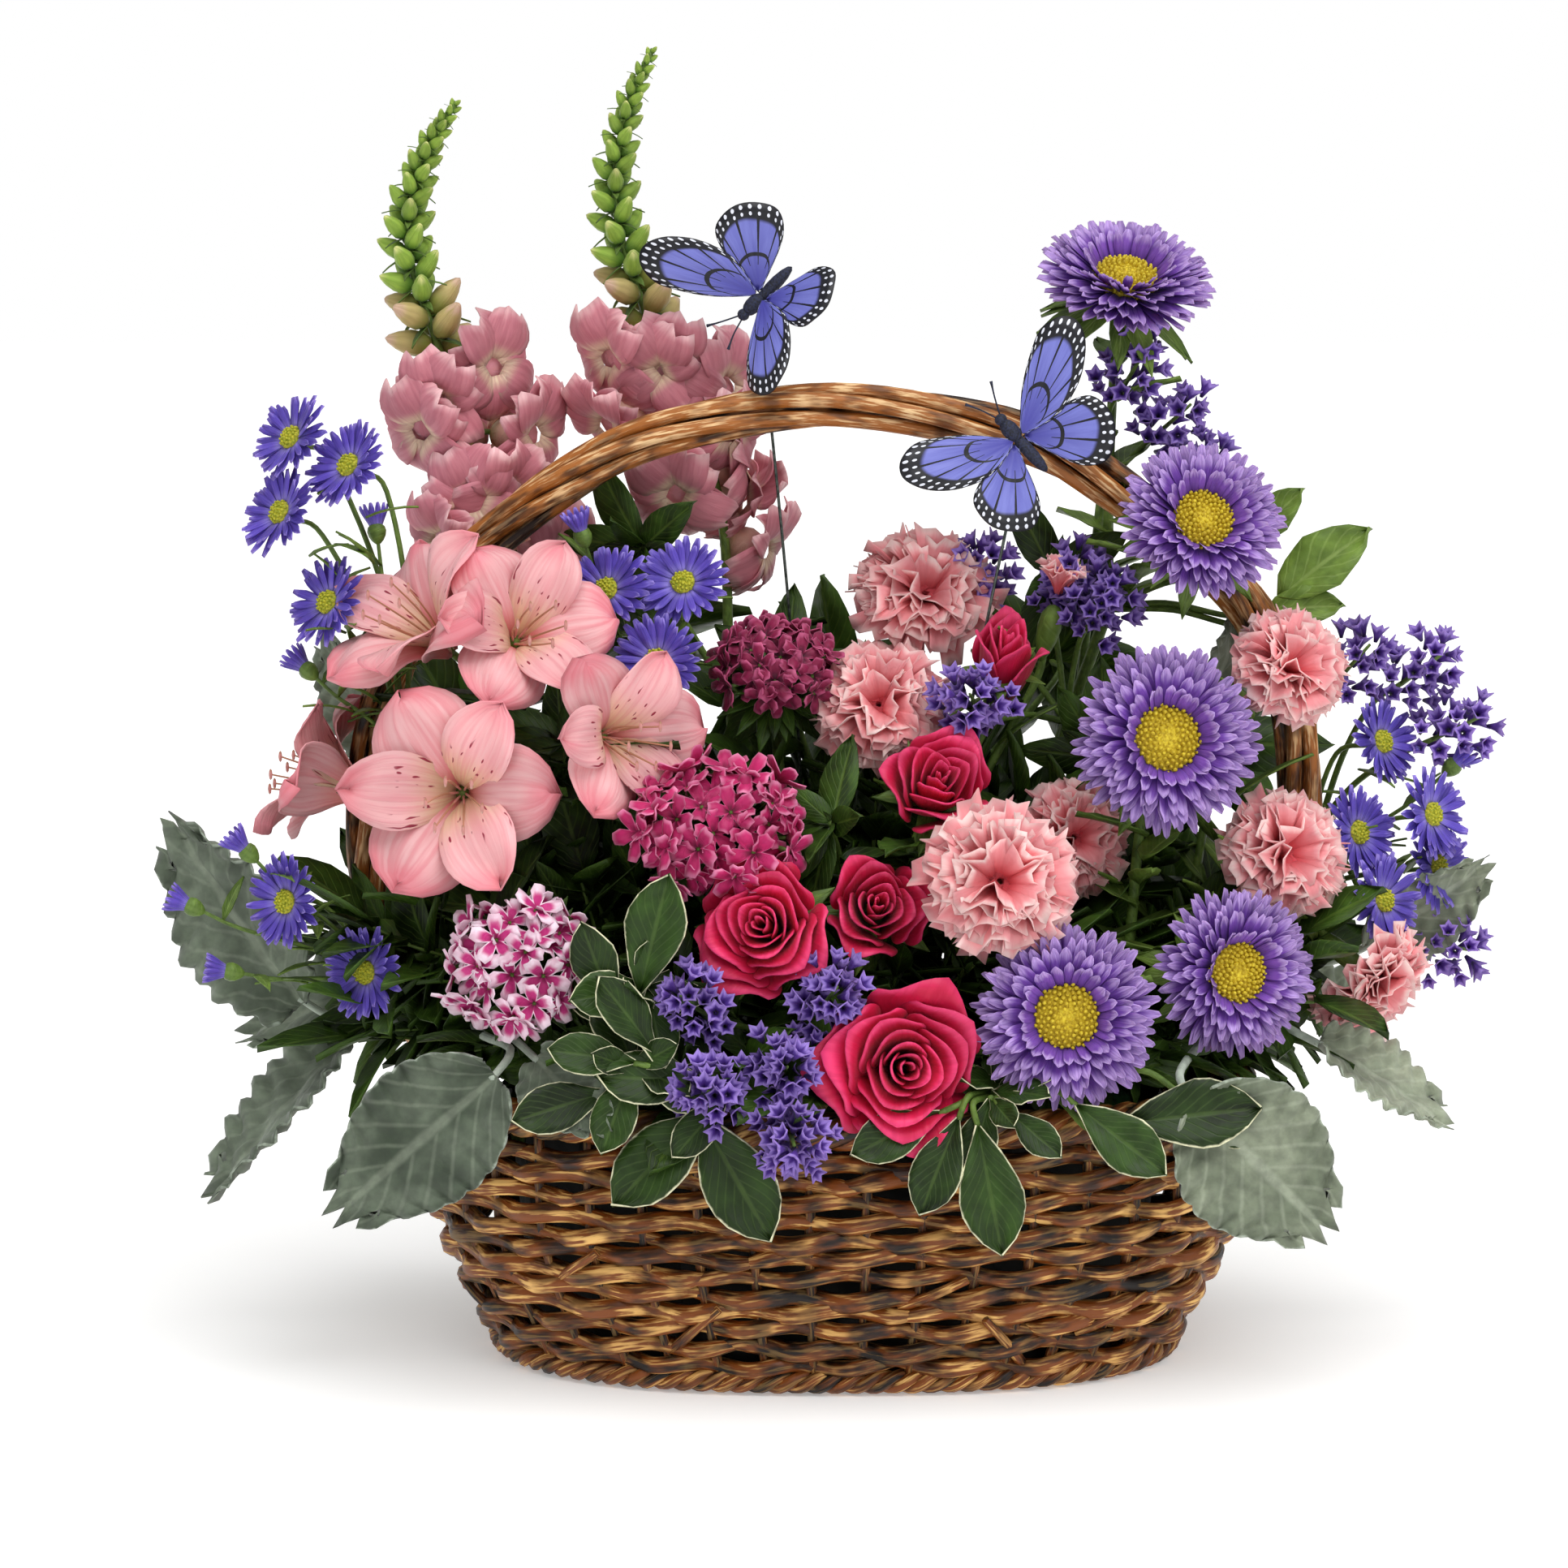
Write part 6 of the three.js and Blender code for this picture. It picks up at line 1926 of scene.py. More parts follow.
@dataclass
class SnapdragonSpike:
    """A spike of two-lipped florets that ends in green buds."""

    kit: Kit
    name: str
    path: tuple[Triple, ...]
    florets: tuple[Triple, ...]
    extra: tuple[float, ...]
    buds_from: float
    bud_count: int = 50

    def build(self) -> None:
        """Builds the spike."""
        rng = random.Random(len(self.florets) * 7 + len(self.path))
        piece = Piece(f"{self.name}_spike", "snapdragon",
                      [SNAPDRAGON, SNAPDRAGON_THROAT, SNAPDRAGON_BUD, STEM, GREENS,
                       SNAPDRAGON_OPENING], [self.name])
        x, y, _ = self.path[0]
        way = smooth_path([(x, y, STEM_FOOT), (x, y, 76), *self.path], 8)
        piece.add(model_tube(way, lambda t: 2.3 - 1.5 * t, 8), tone=0.6, paint=3)
        last = len(way) - 1
        for k, spot in enumerate(self.florets):
            middle = Vector(spot)
            near = min(way, key=lambda p: (p - middle).length)
            self.floret(piece, near, middle, 16.0, rng)
        for k, share in enumerate(self.extra):
            base = way[int(share * last)]
            turn = k * GOLDEN_ANGLE + 1.1
            out = Vector((math.cos(turn), math.sin(turn) * 0.9 - 0.3, -0.12)).normalized()
            self.floret(piece, base, base + out * 15, 15.0 - 16 * max(0, share - 0.6), rng)
        for k in range(self.bud_count):
            young = k > 6
            t = k / (self.bud_count - 1)
            share = self.buds_from + (0.992 - self.buds_from) * t
            i = min(int(share * last), last - 1)
            heading = (way[i + 1] - way[i]).normalized()
            base = way[i].lerp(way[i + 1], share * last - i)
            side = Matrix.Rotation(k * GOLDEN_ANGLE, 3, heading) @ heading.orthogonal().normalized()
            length = (10.5 if young else 13.0) * (1 - t) ** 0.8 + 3.2
            along = (side + heading * (0.5 + 0.9 * t)).normalized()
            middle = base + along * (length * 0.5 + 1.6 * (1 - t))
            bud = frame_at(middle, along) @ Matrix.Scale(length, 4)
            piece.add(self.kit.bud, bud, tone=rng.random(), paint=2 if young else 5)
            leaf = blade_at(base, along - heading * 0.7, heading, (length * 0.9,) * 3)
            piece.add(self.kit.bract, leaf, tone=rng.random(), paint=3)
        spots = [way[int((0.22 + 0.015 * k) * last)] for k in range(14)]
        leaves_at(piece, self.kit.leaf, spots, 2.4, 0.45, (30, 34, 30), rng, 4)
        piece.publish()

    def floret(self, piece: Piece, base: Vector, middle: Vector, radius: float,
               rng: random.Random) -> None:
        """One floret: a swollen tube, two ruffled upper lobes and three lower ones.

        Args:
            piece: The piece that it belongs to.
            base: Where it leaves the spike's stem.
            middle: Its middle.
            radius: Its radius.
            rng: The piece's random numbers.
        """
        facing = (middle - base).normalized() + Vector((0, -0.55, -0.05))
        facing.normalize()
        at = frame_at(middle, facing, rng.uniform(-0.3, 0.3)) @ Matrix.Scale(radius, 4)
        throat = at @ sized_at((0, -0.05, -0.66), (1.7, 1.7, 1))
        piece.add(self.kit.throat, throat, tone=rng.random(), paint=1)
        for turn, tilt, length, width in ((0.42, 0.9, 0.98, 0.95), (-0.42, 0.9, 0.98, 0.95),
                                          (0.95, 0.5, 0.8, 0.8), (-0.95, 0.5, 0.8, 0.8)):
            lobe = petal_at(turn, tilt + rng.uniform(-0.15, 0.15), length, width, 0.16, -0.1,
                            rng.uniform(-0.25, 0.25))
            piece.add(self.kit.upper_lips[turn > 0], at @ lobe, tone=rng.random())
        for turn, tilt in ((math.pi, 0.25), (2.2, 0.35), (-2.2, 0.35)):
            lobe = petal_at(turn + rng.uniform(-0.15, 0.15), tilt + rng.uniform(-0.2, 0.2), 0.86,
                            1.0, 0.2, -0.08, rng.uniform(-0.25, 0.25))
            piece.add(self.kit.lower_lips[turn > 0], at @ lobe, tone=rng.random())
        end = at @ Vector((0, 0, -0.9))
        piece.add(model_tube([base, base.lerp(end, 0.5) + UP, end], lambda t: 1.0, 6), tone=0.6,
                  paint=3)
        cup = frame_at(end, facing) @ sized_at((0, 0, 0), (3.8, 3.8, 3.4))
        piece.add(self.kit.cup, cup, tone=0.5, paint=3)


@dataclass
class SweetWilliam:
    """A domed head of small fringed florets over spiky bracts."""

    kit: Kit
    index: int
    bloom: Bloom
    foot: tuple[float, float]
    finish: PetalFinish
    florets: int = 38
    stretch: float = 1.0

    def build(self) -> None:
        """Builds the head and its stem."""
        rng = random.Random(140 + self.index)
        piece = Piece(f"sweet_william_{self.index}_head", "sweet_william",
                      [self.finish, STEM, GREENS], [f"sweet_william_{self.index}"])
        radius = self.bloom.radius
        at = self.bloom.at()
        facing = Vector(self.bloom.facing).normalized()
        x, y = self.foot
        base = self.bloom.behind(radius * 0.75)
        trunk(piece, self.foot, tuple(Vector((x, y, STEM_FREE)).lerp(base, 0.55)), 1.8, 1)
        branch(piece, Vector((x, y, STEM_FREE)).lerp(base, 0.55), base, facing, 1.8, paint_index=1)
        for k in range(self.florets):
            tilt = math.acos(1 - 1.12 * (k + 0.5) / self.florets)
            turn = k * GOLDEN_ANGLE + rng.uniform(-0.15, 0.15)
            out = Vector((math.sin(tilt) * math.cos(turn), math.sin(tilt) * math.sin(turn),
                          math.cos(tilt)))
            swell = rng.uniform(0.76, 1.04)
            spot = Vector((out.x * 0.95 * self.stretch, out.y * 0.9, out.z * 0.62))
            spot = spot * radius * swell
            size = radius * rng.uniform(0.29, 0.37)
            place = at @ spot
            lean = Vector((rng.uniform(-0.5, 0.5), rng.uniform(-0.5, 0.5), 0))
            look = (at.to_3x3() @ (out + lean)).normalized()
            piece.add(self.kit.pink, frame_at(place, look, rng.uniform(0, TAU))
                      @ Matrix.Scale(size, 4), tone=rng.random())
            end = place - look * size * 0.3
            path = [base, base.lerp(end, 0.5) + look * 2, end]
            piece.add(model_tube(path, lambda t: 0.75, 4), tone=0.3, paint=1)
            cup = frame_at(end - look * 2.4, look) @ Matrix.Diagonal((1.7, 1.7, 4.2, 1))
            piece.add(self.kit.bead, cup, tone=0.4, paint=1)
        for k in range(34):
            turn = k * GOLDEN_ANGLE
            tilt = rng.uniform(-0.2, 1.0)
            length = radius * rng.uniform(0.7, 1.0)
            leaf = petal_at(turn, tilt, length, length * 1.3, 2, -radius * 0.45)
            piece.add(self.kit.bract, at @ leaf, tone=rng.random(), paint=2)
        piece.publish()


@dataclass
class DaisySpray:
    """Small asters: a branching stem with open heads and round buds."""

    kit: Kit
    name: str
    foot: tuple[float, float]
    fork: Triple
    heads: tuple[Triple, ...]
    buds: tuple[Triple, ...]
    radius: float = 14.5

    @staticmethod
    def outward(spot: Sequence[float]) -> Vector:
        """The way a head at a place faces."""
        x, y, z = spot
        return Vector((x / 190, -0.9 + y / 200, 0.35 + (z - 180) / 300)).normalized()

    def head(self, piece: Piece, spot: Triple, rng: random.Random) -> None:
        """One open head with its disc and green cup.

        Args:
            piece: The piece that it belongs to.
            spot: Its place.
            rng: The piece's random numbers.
        """
        at = frame_at(spot, self.outward(spot), rng.uniform(0, TAU))
        for count, tilt, share in ((24, 0.02, 1.06), (18, 0.26, 0.94)):
            for k in range(count):
                length = self.radius * share * rng.uniform(0.88, 1.04) - 2.6
                petal = petal_at(TAU * (k + rng.uniform(-0.25, 0.25)) / count,
                                 tilt + rng.uniform(-0.16, 0.14), length, length * 1.05, 2.8, 0.8)
                piece.add(self.kit.thin_ray, at @ petal, tone=rng.random())
        dome = at @ sized_at((0, 0, 1.2), (3.9, 3.9, 2.0))
        piece.add(self.kit.ball, dome, tone=0.2, paint=1)
        for k in range(34):
            out = 3.7 * math.sqrt((k + 0.5) / 34)
            turn = k * GOLDEN_ANGLE
            place = sized_at((out * math.cos(turn), out * math.sin(turn),
                              3.1 - 0.09 * out * out), (1.1, 1.1, 1.5))
            piece.add(self.kit.bead, at @ place, tone=rng.random(), paint=1)
        cup = at @ sized_at((0, 0, -1.6), (3.6, 3.6, 2.8))
        piece.add(self.kit.cup, cup, tone=0.4, paint=2)

    def build(self) -> None:
        """Builds the spray."""
        rng = random.Random(len(self.heads) * 13 + int(self.fork[2]))
        piece = Piece(f"{self.name}_heads", "small_aster", [DAISY_RAY, DAISY_DISC, STEM, BRACT],
                      [self.name])
        trunk(piece, self.foot, self.fork, 1.6, 2)
        fork = Vector(self.fork)
        for spot in self.heads:
            self.head(piece, spot, rng)
            back = Vector(spot) - self.outward(spot) * 4
            branch(piece, fork, back, self.outward(spot), 0.9, paint_index=2)
            self.leaves(piece, fork, back, rng)
        for spot in self.buds:
            facing = (Vector(spot) - fork).normalized()
            branch(piece, fork, Vector(spot) - facing * 3, facing, 0.7, paint_index=2)
            at = frame_at(spot, facing)
            piece.add(self.kit.cup, at @ sized_at((0, 0, -1), (3.4, 3.4, 3.6)), tone=0.6, paint=2)
            for k in range(12):
                petal = petal_at(k * TAU / 12, 1.05, 8.5, 9, 1.4, 0.4)
                piece.add(self.kit.thin_ray, at @ petal, tone=rng.random())
            self.leaves(piece, fork, Vector(spot), rng)
        piece.publish()

    def leaves(self, piece: Piece, start: Vector, end: Vector, rng: random.Random) -> None:
        """Narrow leaves along a twig.

        Args:
            piece: The piece that it belongs to.
            start: Where it starts.
            end: Where it ends.
            rng: The piece's random numbers.
        """
        for k in range(5):
            spot = start.lerp(end, 0.2 + 0.16 * k)
            side = Vector((rng.uniform(-1, 1), rng.uniform(-1, 0.6), rng.uniform(0, 0.9)))
            piece.add(self.kit.bract, blade_at(spot, side, UP, (17, 17, 17)), tone=rng.random(),
                      paint=3)


@dataclass
class StaticeSpray:
    """Sea lavender: brushes of small papery florets on stiff angular stems."""

    kit: Kit
    name: str
    foot: tuple[float, float]
    fork: Triple
    tips: tuple[Triple, ...]
    florets: int = 40

    def build(self) -> None:
        """Builds the spray."""
        rng = random.Random(int(self.fork[2]) + 17)
        piece = Piece(f"{self.name}_brushes", "statice", [STATICE, STEM], [self.name])
        trunk(piece, self.foot, self.fork, 1.5, 1)
        fork = Vector(self.fork)
        for spot in self.tips:
            tip = Vector(spot)
            heading = (tip - fork).normalized() * 0.7 + Vector((tip.x / 260, -0.55, 0.35))
            heading.normalize()
            branch(piece, fork, tip - heading * 9, heading, 1.0, paint_index=1)
            piece.add(model_tube([tip - heading * 9, tip, tip + heading * 9],
                                 lambda t: 0.9 - 0.4 * t, 5), tone=0.4, paint=1)
            for k in range(self.florets):
                share = (k + 0.5) / self.florets
                side = heading.orthogonal().normalized()
                side = Matrix.Rotation(k * GOLDEN_ANGLE, 3, heading) @ side
                girth = 12.5 * math.sin(math.pi * (0.14 + 0.74 * share)) ** 0.6
                middle = tip + heading * (share * 25 - 13) + side * girth * rng.uniform(0.2, 1.0)
                look = side + heading * 0.6 + Vector((rng.uniform(-0.6, 0.6), -0.4, 0.3))
                look.normalize()
                size = rng.uniform(4.8, 6.6)
                at = frame_at(middle - look * 2, look) @ Matrix.Scale(size, 4)
                piece.add(self.kit.funnel, at, tone=rng.random())
        piece.publish()


WING_FORE = ((0, 0), (10, 10), (20, 17), (27, 20), (34, 19), (37, 15), (36, 10), (32, 5), (25, 0),
             (15, -3), (6, -2))
WING_HIND = ((0, -1), (9, -1), (17, -2), (24, -5), (26, -10), (25, -16), (21, -21), (15, -24),
             (9, -21), (5, -14), (2, -6))


@dataclass
class Butterfly:
    """A printed butterfly on a wire pick."""

    kit: Kit
    name: str
    place: Triple
    heading: Triple
    back: Triple
    spread: float
    foot: tuple[float, float]

    def wing(self, points: Sequence[tuple[float, float]], mirror: int) -> Shape:
        """One wing as a fan from its root to its outline.

        Args:
            points: Its outline.
            mirror: 1 for the right wing, -1 for the left.

        Returns:
            The wing's shape.
        """
        rim = smooth_path([(x * mirror, y, 0) for x, y in [*points, points[0]]], 4)[:-1]
        root = Vector((points[0][0] * mirror + 1.0 * mirror, points[0][1], 0))

        def form(u: np.ndarray, v: np.ndarray) -> Rows:
            """The points of the sheet.

            Args:
                u: Across, from -1 to 1.
                v: Along, from 0 to 1.

            Returns:
                x, y and z.
            """
            spots = np.array([tuple(p) for p in rim])
            at = (u + 1) / 2 * (len(spots) - 1)
            low = np.clip(np.floor(at).astype(int), 0, len(spots) - 2)
            edge = spots[low] + (spots[low + 1] - spots[low]) * (at - low)[:, None]
            x = root.x + (edge[:, 0] - root.x) * v
            y = root.y + (edge[:, 1] - root.y) * v
            z = 0.03 * np.abs(x) * np.sin(np.pi * v) + 0.25 * np.sin(16 * u) * v
            return x, y, z
        return model_sheet(form, 44, 10, 0.45, is_round=True)

    def build(self) -> None:
        """Builds the butterfly and its wire."""
        piece = Piece(f"{self.name}_pick", "butterfly_wing", [WING, BUTTERFLY_BODY, WIRE],
                      [self.name])
        z = Vector(self.back).normalized()
        y = Vector(self.heading)
        y = (y - z * y.dot(z)).normalized()
        at = Matrix((y.cross(z), y, z)).transposed().to_4x4()
        at.translation = Vector(self.place)
        for mirror in (1, -1):
            fold = Matrix.Rotation(-mirror * self.spread, 4, "Y")
            lower = Matrix.Translation((mirror * 1.2, 0, -0.3))
            piece.add(self.wing(WING_FORE, mirror), at @ fold @ Matrix.Translation(
                (mirror * 1.2, 0, 0.5)), tone=0.6)
            piece.add(self.wing(WING_HIND, mirror), at @ fold @ lower, tone=0.4)
        for middle, radii in (((0, 7.6, 0.6), (2.0, 1.9, 2.0)), ((0, 3, 0.4), (2.7, 4.4, 2.7)),
                              ((0, -6, 0), (2.1, 8.2, 2.1))):
            body = at @ sized_at(middle, radii)
            piece.add(self.kit.ball, body, tone=0.3, paint=1)
        for mirror in (1, -1):
            feeler = [at @ Vector(p) for p in ((0.8 * mirror, 9, 0.8), (3 * mirror, 14, 2),
                                                (5.5 * mirror, 18.5, 2.4))]
            piece.add(model_tube(smooth_path(feeler, 4), lambda t: 0.28 + 0.3 * t ** 6, 5), paint=1)
        x0, y0 = self.foot
        under = at @ Vector((0, 0, -2.2))
        way = smooth_path([(x0, y0, 60), (x0, y0, 110), tuple(Vector((x0, y0, 150)).lerp(
            under, 0.35)), tuple(under - UP * 14 + Vector((0, 3, 0))), tuple(under)], 8)
        piece.add(model_tube(way, lambda t: 0.5, 6), paint=2)
        piece.publish()


# ---------------------------------------------------------------- foliage
class Facing(Enum):
    """Which way a leaf shows its upper side."""

    FRONT = (0, -1, 0.25)
    LEFT = (-0.8, -0.5, 0.5)
    RIGHT = (0.8, -0.5, 0.5)
    BACK = (0, 0.9, 0.4)


@dataclass
class DustyMiller:
    """Broad grey felted leaves on long stalks."""

    kit: Kit
    name: str
    foot: tuple[float, float]
    fork: Triple
    finish: LeafFinish
    leaves: tuple[tuple[Triple, Triple, float, Facing], ...]

    def build(self) -> None:
        """Builds the leaves and their stalks."""
        piece = Piece(f"{self.name}_leaves", "dusty_miller_leaf", [self.finish], [self.name])
        rng = random.Random(len(self.leaves) + int(self.foot[0]))
        trunk(piece, self.foot, self.fork, 2.2)
        for k, (base, tip, half, face) in enumerate(self.leaves):
            start, end = Vector(base), Vector(tip)
            along = end - start
            way = (along.normalized() + (start - Vector(self.fork)).normalized()).normalized()
            branch(piece, Vector(self.fork), start + along * 0.03, way, 1.4, 0.08, tone=0.1)
            length = along.length
            at = blade_at(start, along, Vector(face.value),
                          (half * 1.12, length * 1.02, length * 0.6))
            piece.add(self.kit.lobed[k % 3], at, tone=rng.random())
        piece.publish()


@dataclass
class LeafyBranch:
    """A twig that forks to rosettes of leaves."""

    kit: Kit
    name: str
    slot: str
    finish: LeafFinish
    foot: tuple[float, float]
    fork: Triple
    targets: tuple[tuple[Triple, Facing], ...]
    leaf: Shape
    size: float
    count: int
    single: tuple[tuple[Triple, Triple], ...] = ()

    def rosette(self, piece: Piece, spot: Vector, facing: Vector, rng: random.Random) -> None:
        """Leaves round the end of a twig, larger outside.

        Args:
            piece: The piece that it belongs to.
            spot: Its place.
            facing: Where it faces.
            rng: The piece's random numbers.
        """
        lean = Vector((rng.uniform(-0.6, 0.6), rng.uniform(-0.2, 0.3), rng.uniform(-0.5, 0.5)))
        at = frame_at(spot, facing + lean, rng.uniform(0, TAU))
        for k in range(self.count):
            inner = k >= self.count * 2 // 3
            length = self.size * rng.uniform(0.85, 1.12) * (0.62 if inner else 1.0)
            tilt = rng.uniform(0.55, 0.95) if inner else rng.uniform(-0.05, 0.35)
            petal = petal_at(k * GOLDEN_ANGLE, tilt, length, length * rng.uniform(0.95, 1.15),
                             0.8, -1.0, rng.uniform(-0.25, 0.25))
            tone = rng.random()
            if not any(is_in_bloom(at @ petal @ Vector((0, part, 0))) for part in (0.5, 1.0)):
                piece.add(self.leaf, at @ petal, tone=tone, paint=1)

    def build(self) -> Piece:
        """Builds the twigs and their leaves, and returns the piece for more to be added.

        Returns:
            The piece.
        """
        piece = Piece(f"{self.name}_foliage", self.slot, [STEM, self.finish], [self.name])
        rng = random.Random(int(self.size * 10) + len(self.targets))
        trunk(piece, self.foot, self.fork, 2.0)
        fork = Vector(self.fork)
        for spot, facing in self.targets:
            look = Vector(facing.value).normalized()
            end = Vector(spot)
            branch(piece, fork, end, look, 1.2)
            self.rosette(piece, end, look, rng)
            for k in range(4):
                share = 0.35 + 0.14 * k
                side = Vector((rng.uniform(-1, 1), rng.uniform(-1, 0.4), rng.uniform(-0.1, 0.7)))
                base = fork.lerp(end, share)
                piece.add(self.leaf, blade_at(base, side, look + UP, (self.size * 0.85,) * 3),
                          tone=rng.random(), paint=1)
        for base, tip in self.single:
            along = Vector(tip) - Vector(base)
            length = along.length
            face = Vector((rng.uniform(-0.3, 0.3), -1, 0.45))
            branch(piece, fork, Vector(base), along.normalized(), 1.1, 0.1)
            at = blade_at(Vector(base), along, face, (length * 0.95, length, length))
            piece.add(self.leaf, at, tone=rng.random(), paint=1)
        return piece


@dataclass
class Undergrowth:
    """Leafy sprigs set close in the foam, which fill the room between the flowers."""

    kit: Kit

    @staticmethod
    def reach(x: float) -> float:
        """How high the sprigs stand at a place along the basket."""
        side = min(1.0, max(0.0, (abs(x) - 25) / 75))
        return 42 + (66 if x < 0 else 52) * side * side * (3 - 2 * side)

    def fill(self, piece: Piece, count: int, is_front: bool, seed: int) -> None:
        """Adds sprigs over the front or the back half of the foam.

        Args:
            piece: The piece that it belongs to.
            count: How many there are.
            is_front: True for the front half.
            seed: Seed of the random numbers.
        """
        rng = random.Random(seed)
        for k in range(count):
            spread = math.sqrt((k + 0.5) / count)
            turn = k * GOLDEN_ANGLE
            x, y = 88 * spread * math.cos(turn), 60 * spread * math.sin(turn)
            y = -abs(y) * 0.95 + 8 if is_front else abs(y) * 0.95 - 8
            start = Vector((x, y, 92))
            height = self.reach(x * 1.4) * (1.08 - 0.62 * spread ** 2) * rng.uniform(0.8, 1.1)
            height = height if is_front else max(height, 84 - 30 * spread ** 2)
            tip = Vector((x * 1.42 + rng.uniform(-7, 7), y * 1.36 + rng.uniform(-5, 5),
                          98 + height))
            if is_front and 30 < tip.x < 120 and tip.y < -5:
                tip.z = min(tip.z, 132)
            leafy_sprig(piece, self.kit, start, tip, rng.uniform(22, 30), rng, 8.5, 1,
                        self.kit.fill_leaf if k % 3 else self.kit.fill_broad)
        for k in range(34):
            turn = math.pi * (k + 0.5) / 34
            turn = -turn if is_front else turn
            x, y = 100 * math.cos(turn), 68 * math.sin(turn)
            start = Vector((x * 0.72, y * 0.72, 93))
            tip = Vector((x * 1.3, y * 1.32, 96 + rng.uniform(-3, 12)))
            leafy_sprig(piece, self.kit, start, tip, rng.uniform(20, 27), rng, 8.0, 1,
                        self.kit.fill_leaf if k % 2 else self.kit.fill_broad)

    def sides(self, piece: Piece, sides: Iterable[tuple[int, int, tuple[float, float]]],
              seed: int) -> None:
        """Adds sprigs that lean out over the ends of the basket, between two heights.

        Args:
            piece: The piece that it belongs to.
            sides: -1 for left or 1 for right, a count, and the two heights.
            seed: Seed of the random numbers.
        """
        rng = random.Random(seed)
        for side, count, heights in sides:
            for k in range(count):
                start = Vector((side * rng.uniform(56, 88), rng.uniform(-38, 30), 92))
                tip = Vector((side * rng.uniform(108, 150), rng.uniform(-52, 40),
                              heights[0] + (heights[1] - heights[0]) * (k + 0.5) / count))
                leafy_sprig(piece, self.kit, start, tip, rng.uniform(24, 32), rng, 9.5, 1,
                            self.kit.fill_leaf if k % 3 else self.kit.fill_broad)


def build_foliage(kit: Kit) -> None:
    """Builds the grey leaves, the variegated leaves and the dark greens.

    Args:
        kit: The modelled shapes.
    """
    DustyMiller(kit, "dusty_miller_left", (-88, -2), (-118, -22, 112), DUSTY_SHADED, (
        ((-104, -90, 104), (-152, -100, 64), 19, Facing.FRONT),
        ((-152, -24, 104), (-199, -44, 62), 15, Facing.LEFT),
        ((-170, -14, 112), (-214, -12, 166), 21, Facing.LEFT),
        ((-146, 24, 186), (-168, 28, 224), 12, Facing.LEFT),
        ((-140, 26, 112), (-196, 34, 96), 17, Facing.LEFT),
        ((-92, -84, 108), (-72, -106, 92), 12, Facing.FRONT))).build()
    DustyMiller(kit, "dusty_miller_right", (93, 16), (126, 4, 112), DUSTY_LIT, (
        ((108, -92, 96), (148, -98, 58), 21, Facing.FRONT),
        ((150, -50, 106), (192, -50, 84), 13, Facing.RIGHT),
        ((172, 2, 128), (207, -12, 154), 13, Facing.RIGHT),
        ((118, 12, 200), (134, 6, 240), 13, Facing.RIGHT),
        ((146, 30, 112), (186, 42, 88), 15, Facing.RIGHT))).build()
    LeafyBranch(kit, "pittosporum_left", "pittosporum_leaf", PITTOSPORUM, (-44, -44),
                (-58, -72, 104),
                (((-58, -90, 132), Facing.FRONT), ((-62, -98, 108), Facing.FRONT)),
                kit.spoon_leaf, 27, 5, (
                    ((-60, -92, 130), (-52, -96, 166)), ((-68, -90, 125), (-78, -96, 151)),
                    ((-56, -98, 113), (-71, -104, 137)), ((-62, -100, 110), (-87, -106, 116)),
                    ((-40, -96, 103), (-72, -106, 108)), ((-38, -98, 95), (-69, -108, 69)),
                    ((-42, -98, 94), (-21, -112, 58)), ((-34, -98, 98), (-50, -110, 84)),
                    ((-70, -96, 100), (-98, -106, 94)))).build().publish()
    LeafyBranch(kit, "pittosporum_right", "pittosporum_leaf", PITTOSPORUM, (36, -46),
                (52, -72, 100), (((46, -94, 98), Facing.FRONT),), kit.spoon_leaf, 25, 5, (
                    ((36, -98, 92), (24, -110, 66)), ((42, -98, 90), (49, -112, 54)),
                    ((52, -98, 94), (66, -110, 84)), ((86, -94, 90), (127, -100, 97)),
                    ((72, -96, 96), (98, -108, 78)), ((104, -88, 98), (128, -94, 84)),
                    ((30, -98, 94), (4, -108, 84)))).build().publish()
    front = LeafyBranch(kit, "greens_front", "green_leaf", GREENS, (12, -14), (10, -16, 120),
                        tuple((spot, Facing.FRONT) for spot in (
                            (-62, 6, 256), (-16, 12, 212), (70, 14, 246), (-86, -20, 196),
                            (86, -6, 190), (-2, -54, 176))), kit.leaf, 31, 9).build()
    growth = Undergrowth(kit)
    growth.fill(front, 62, True, 71)
    growth.sides(front, ((-1, 34, (104, 150)), (1, 20, (100, 140))), 75)
    front.publish()
    back = LeafyBranch(kit, "greens_back", "green_leaf", GREENS, (0, 44), (0, 46, 122),
                       tuple((spot, Facing.BACK) for spot in (
                           (-122, 50, 190), (-104, 72, 126), (-68, 60, 220), (-38, 78, 150),
                           (0, 62, 202), (42, 80, 142), (72, 58, 214), (112, 68, 128),
                           (126, 44, 188))), kit.leaf, 40, 10).build()
    growth.fill(back, 56, False, 72)
    back.publish()


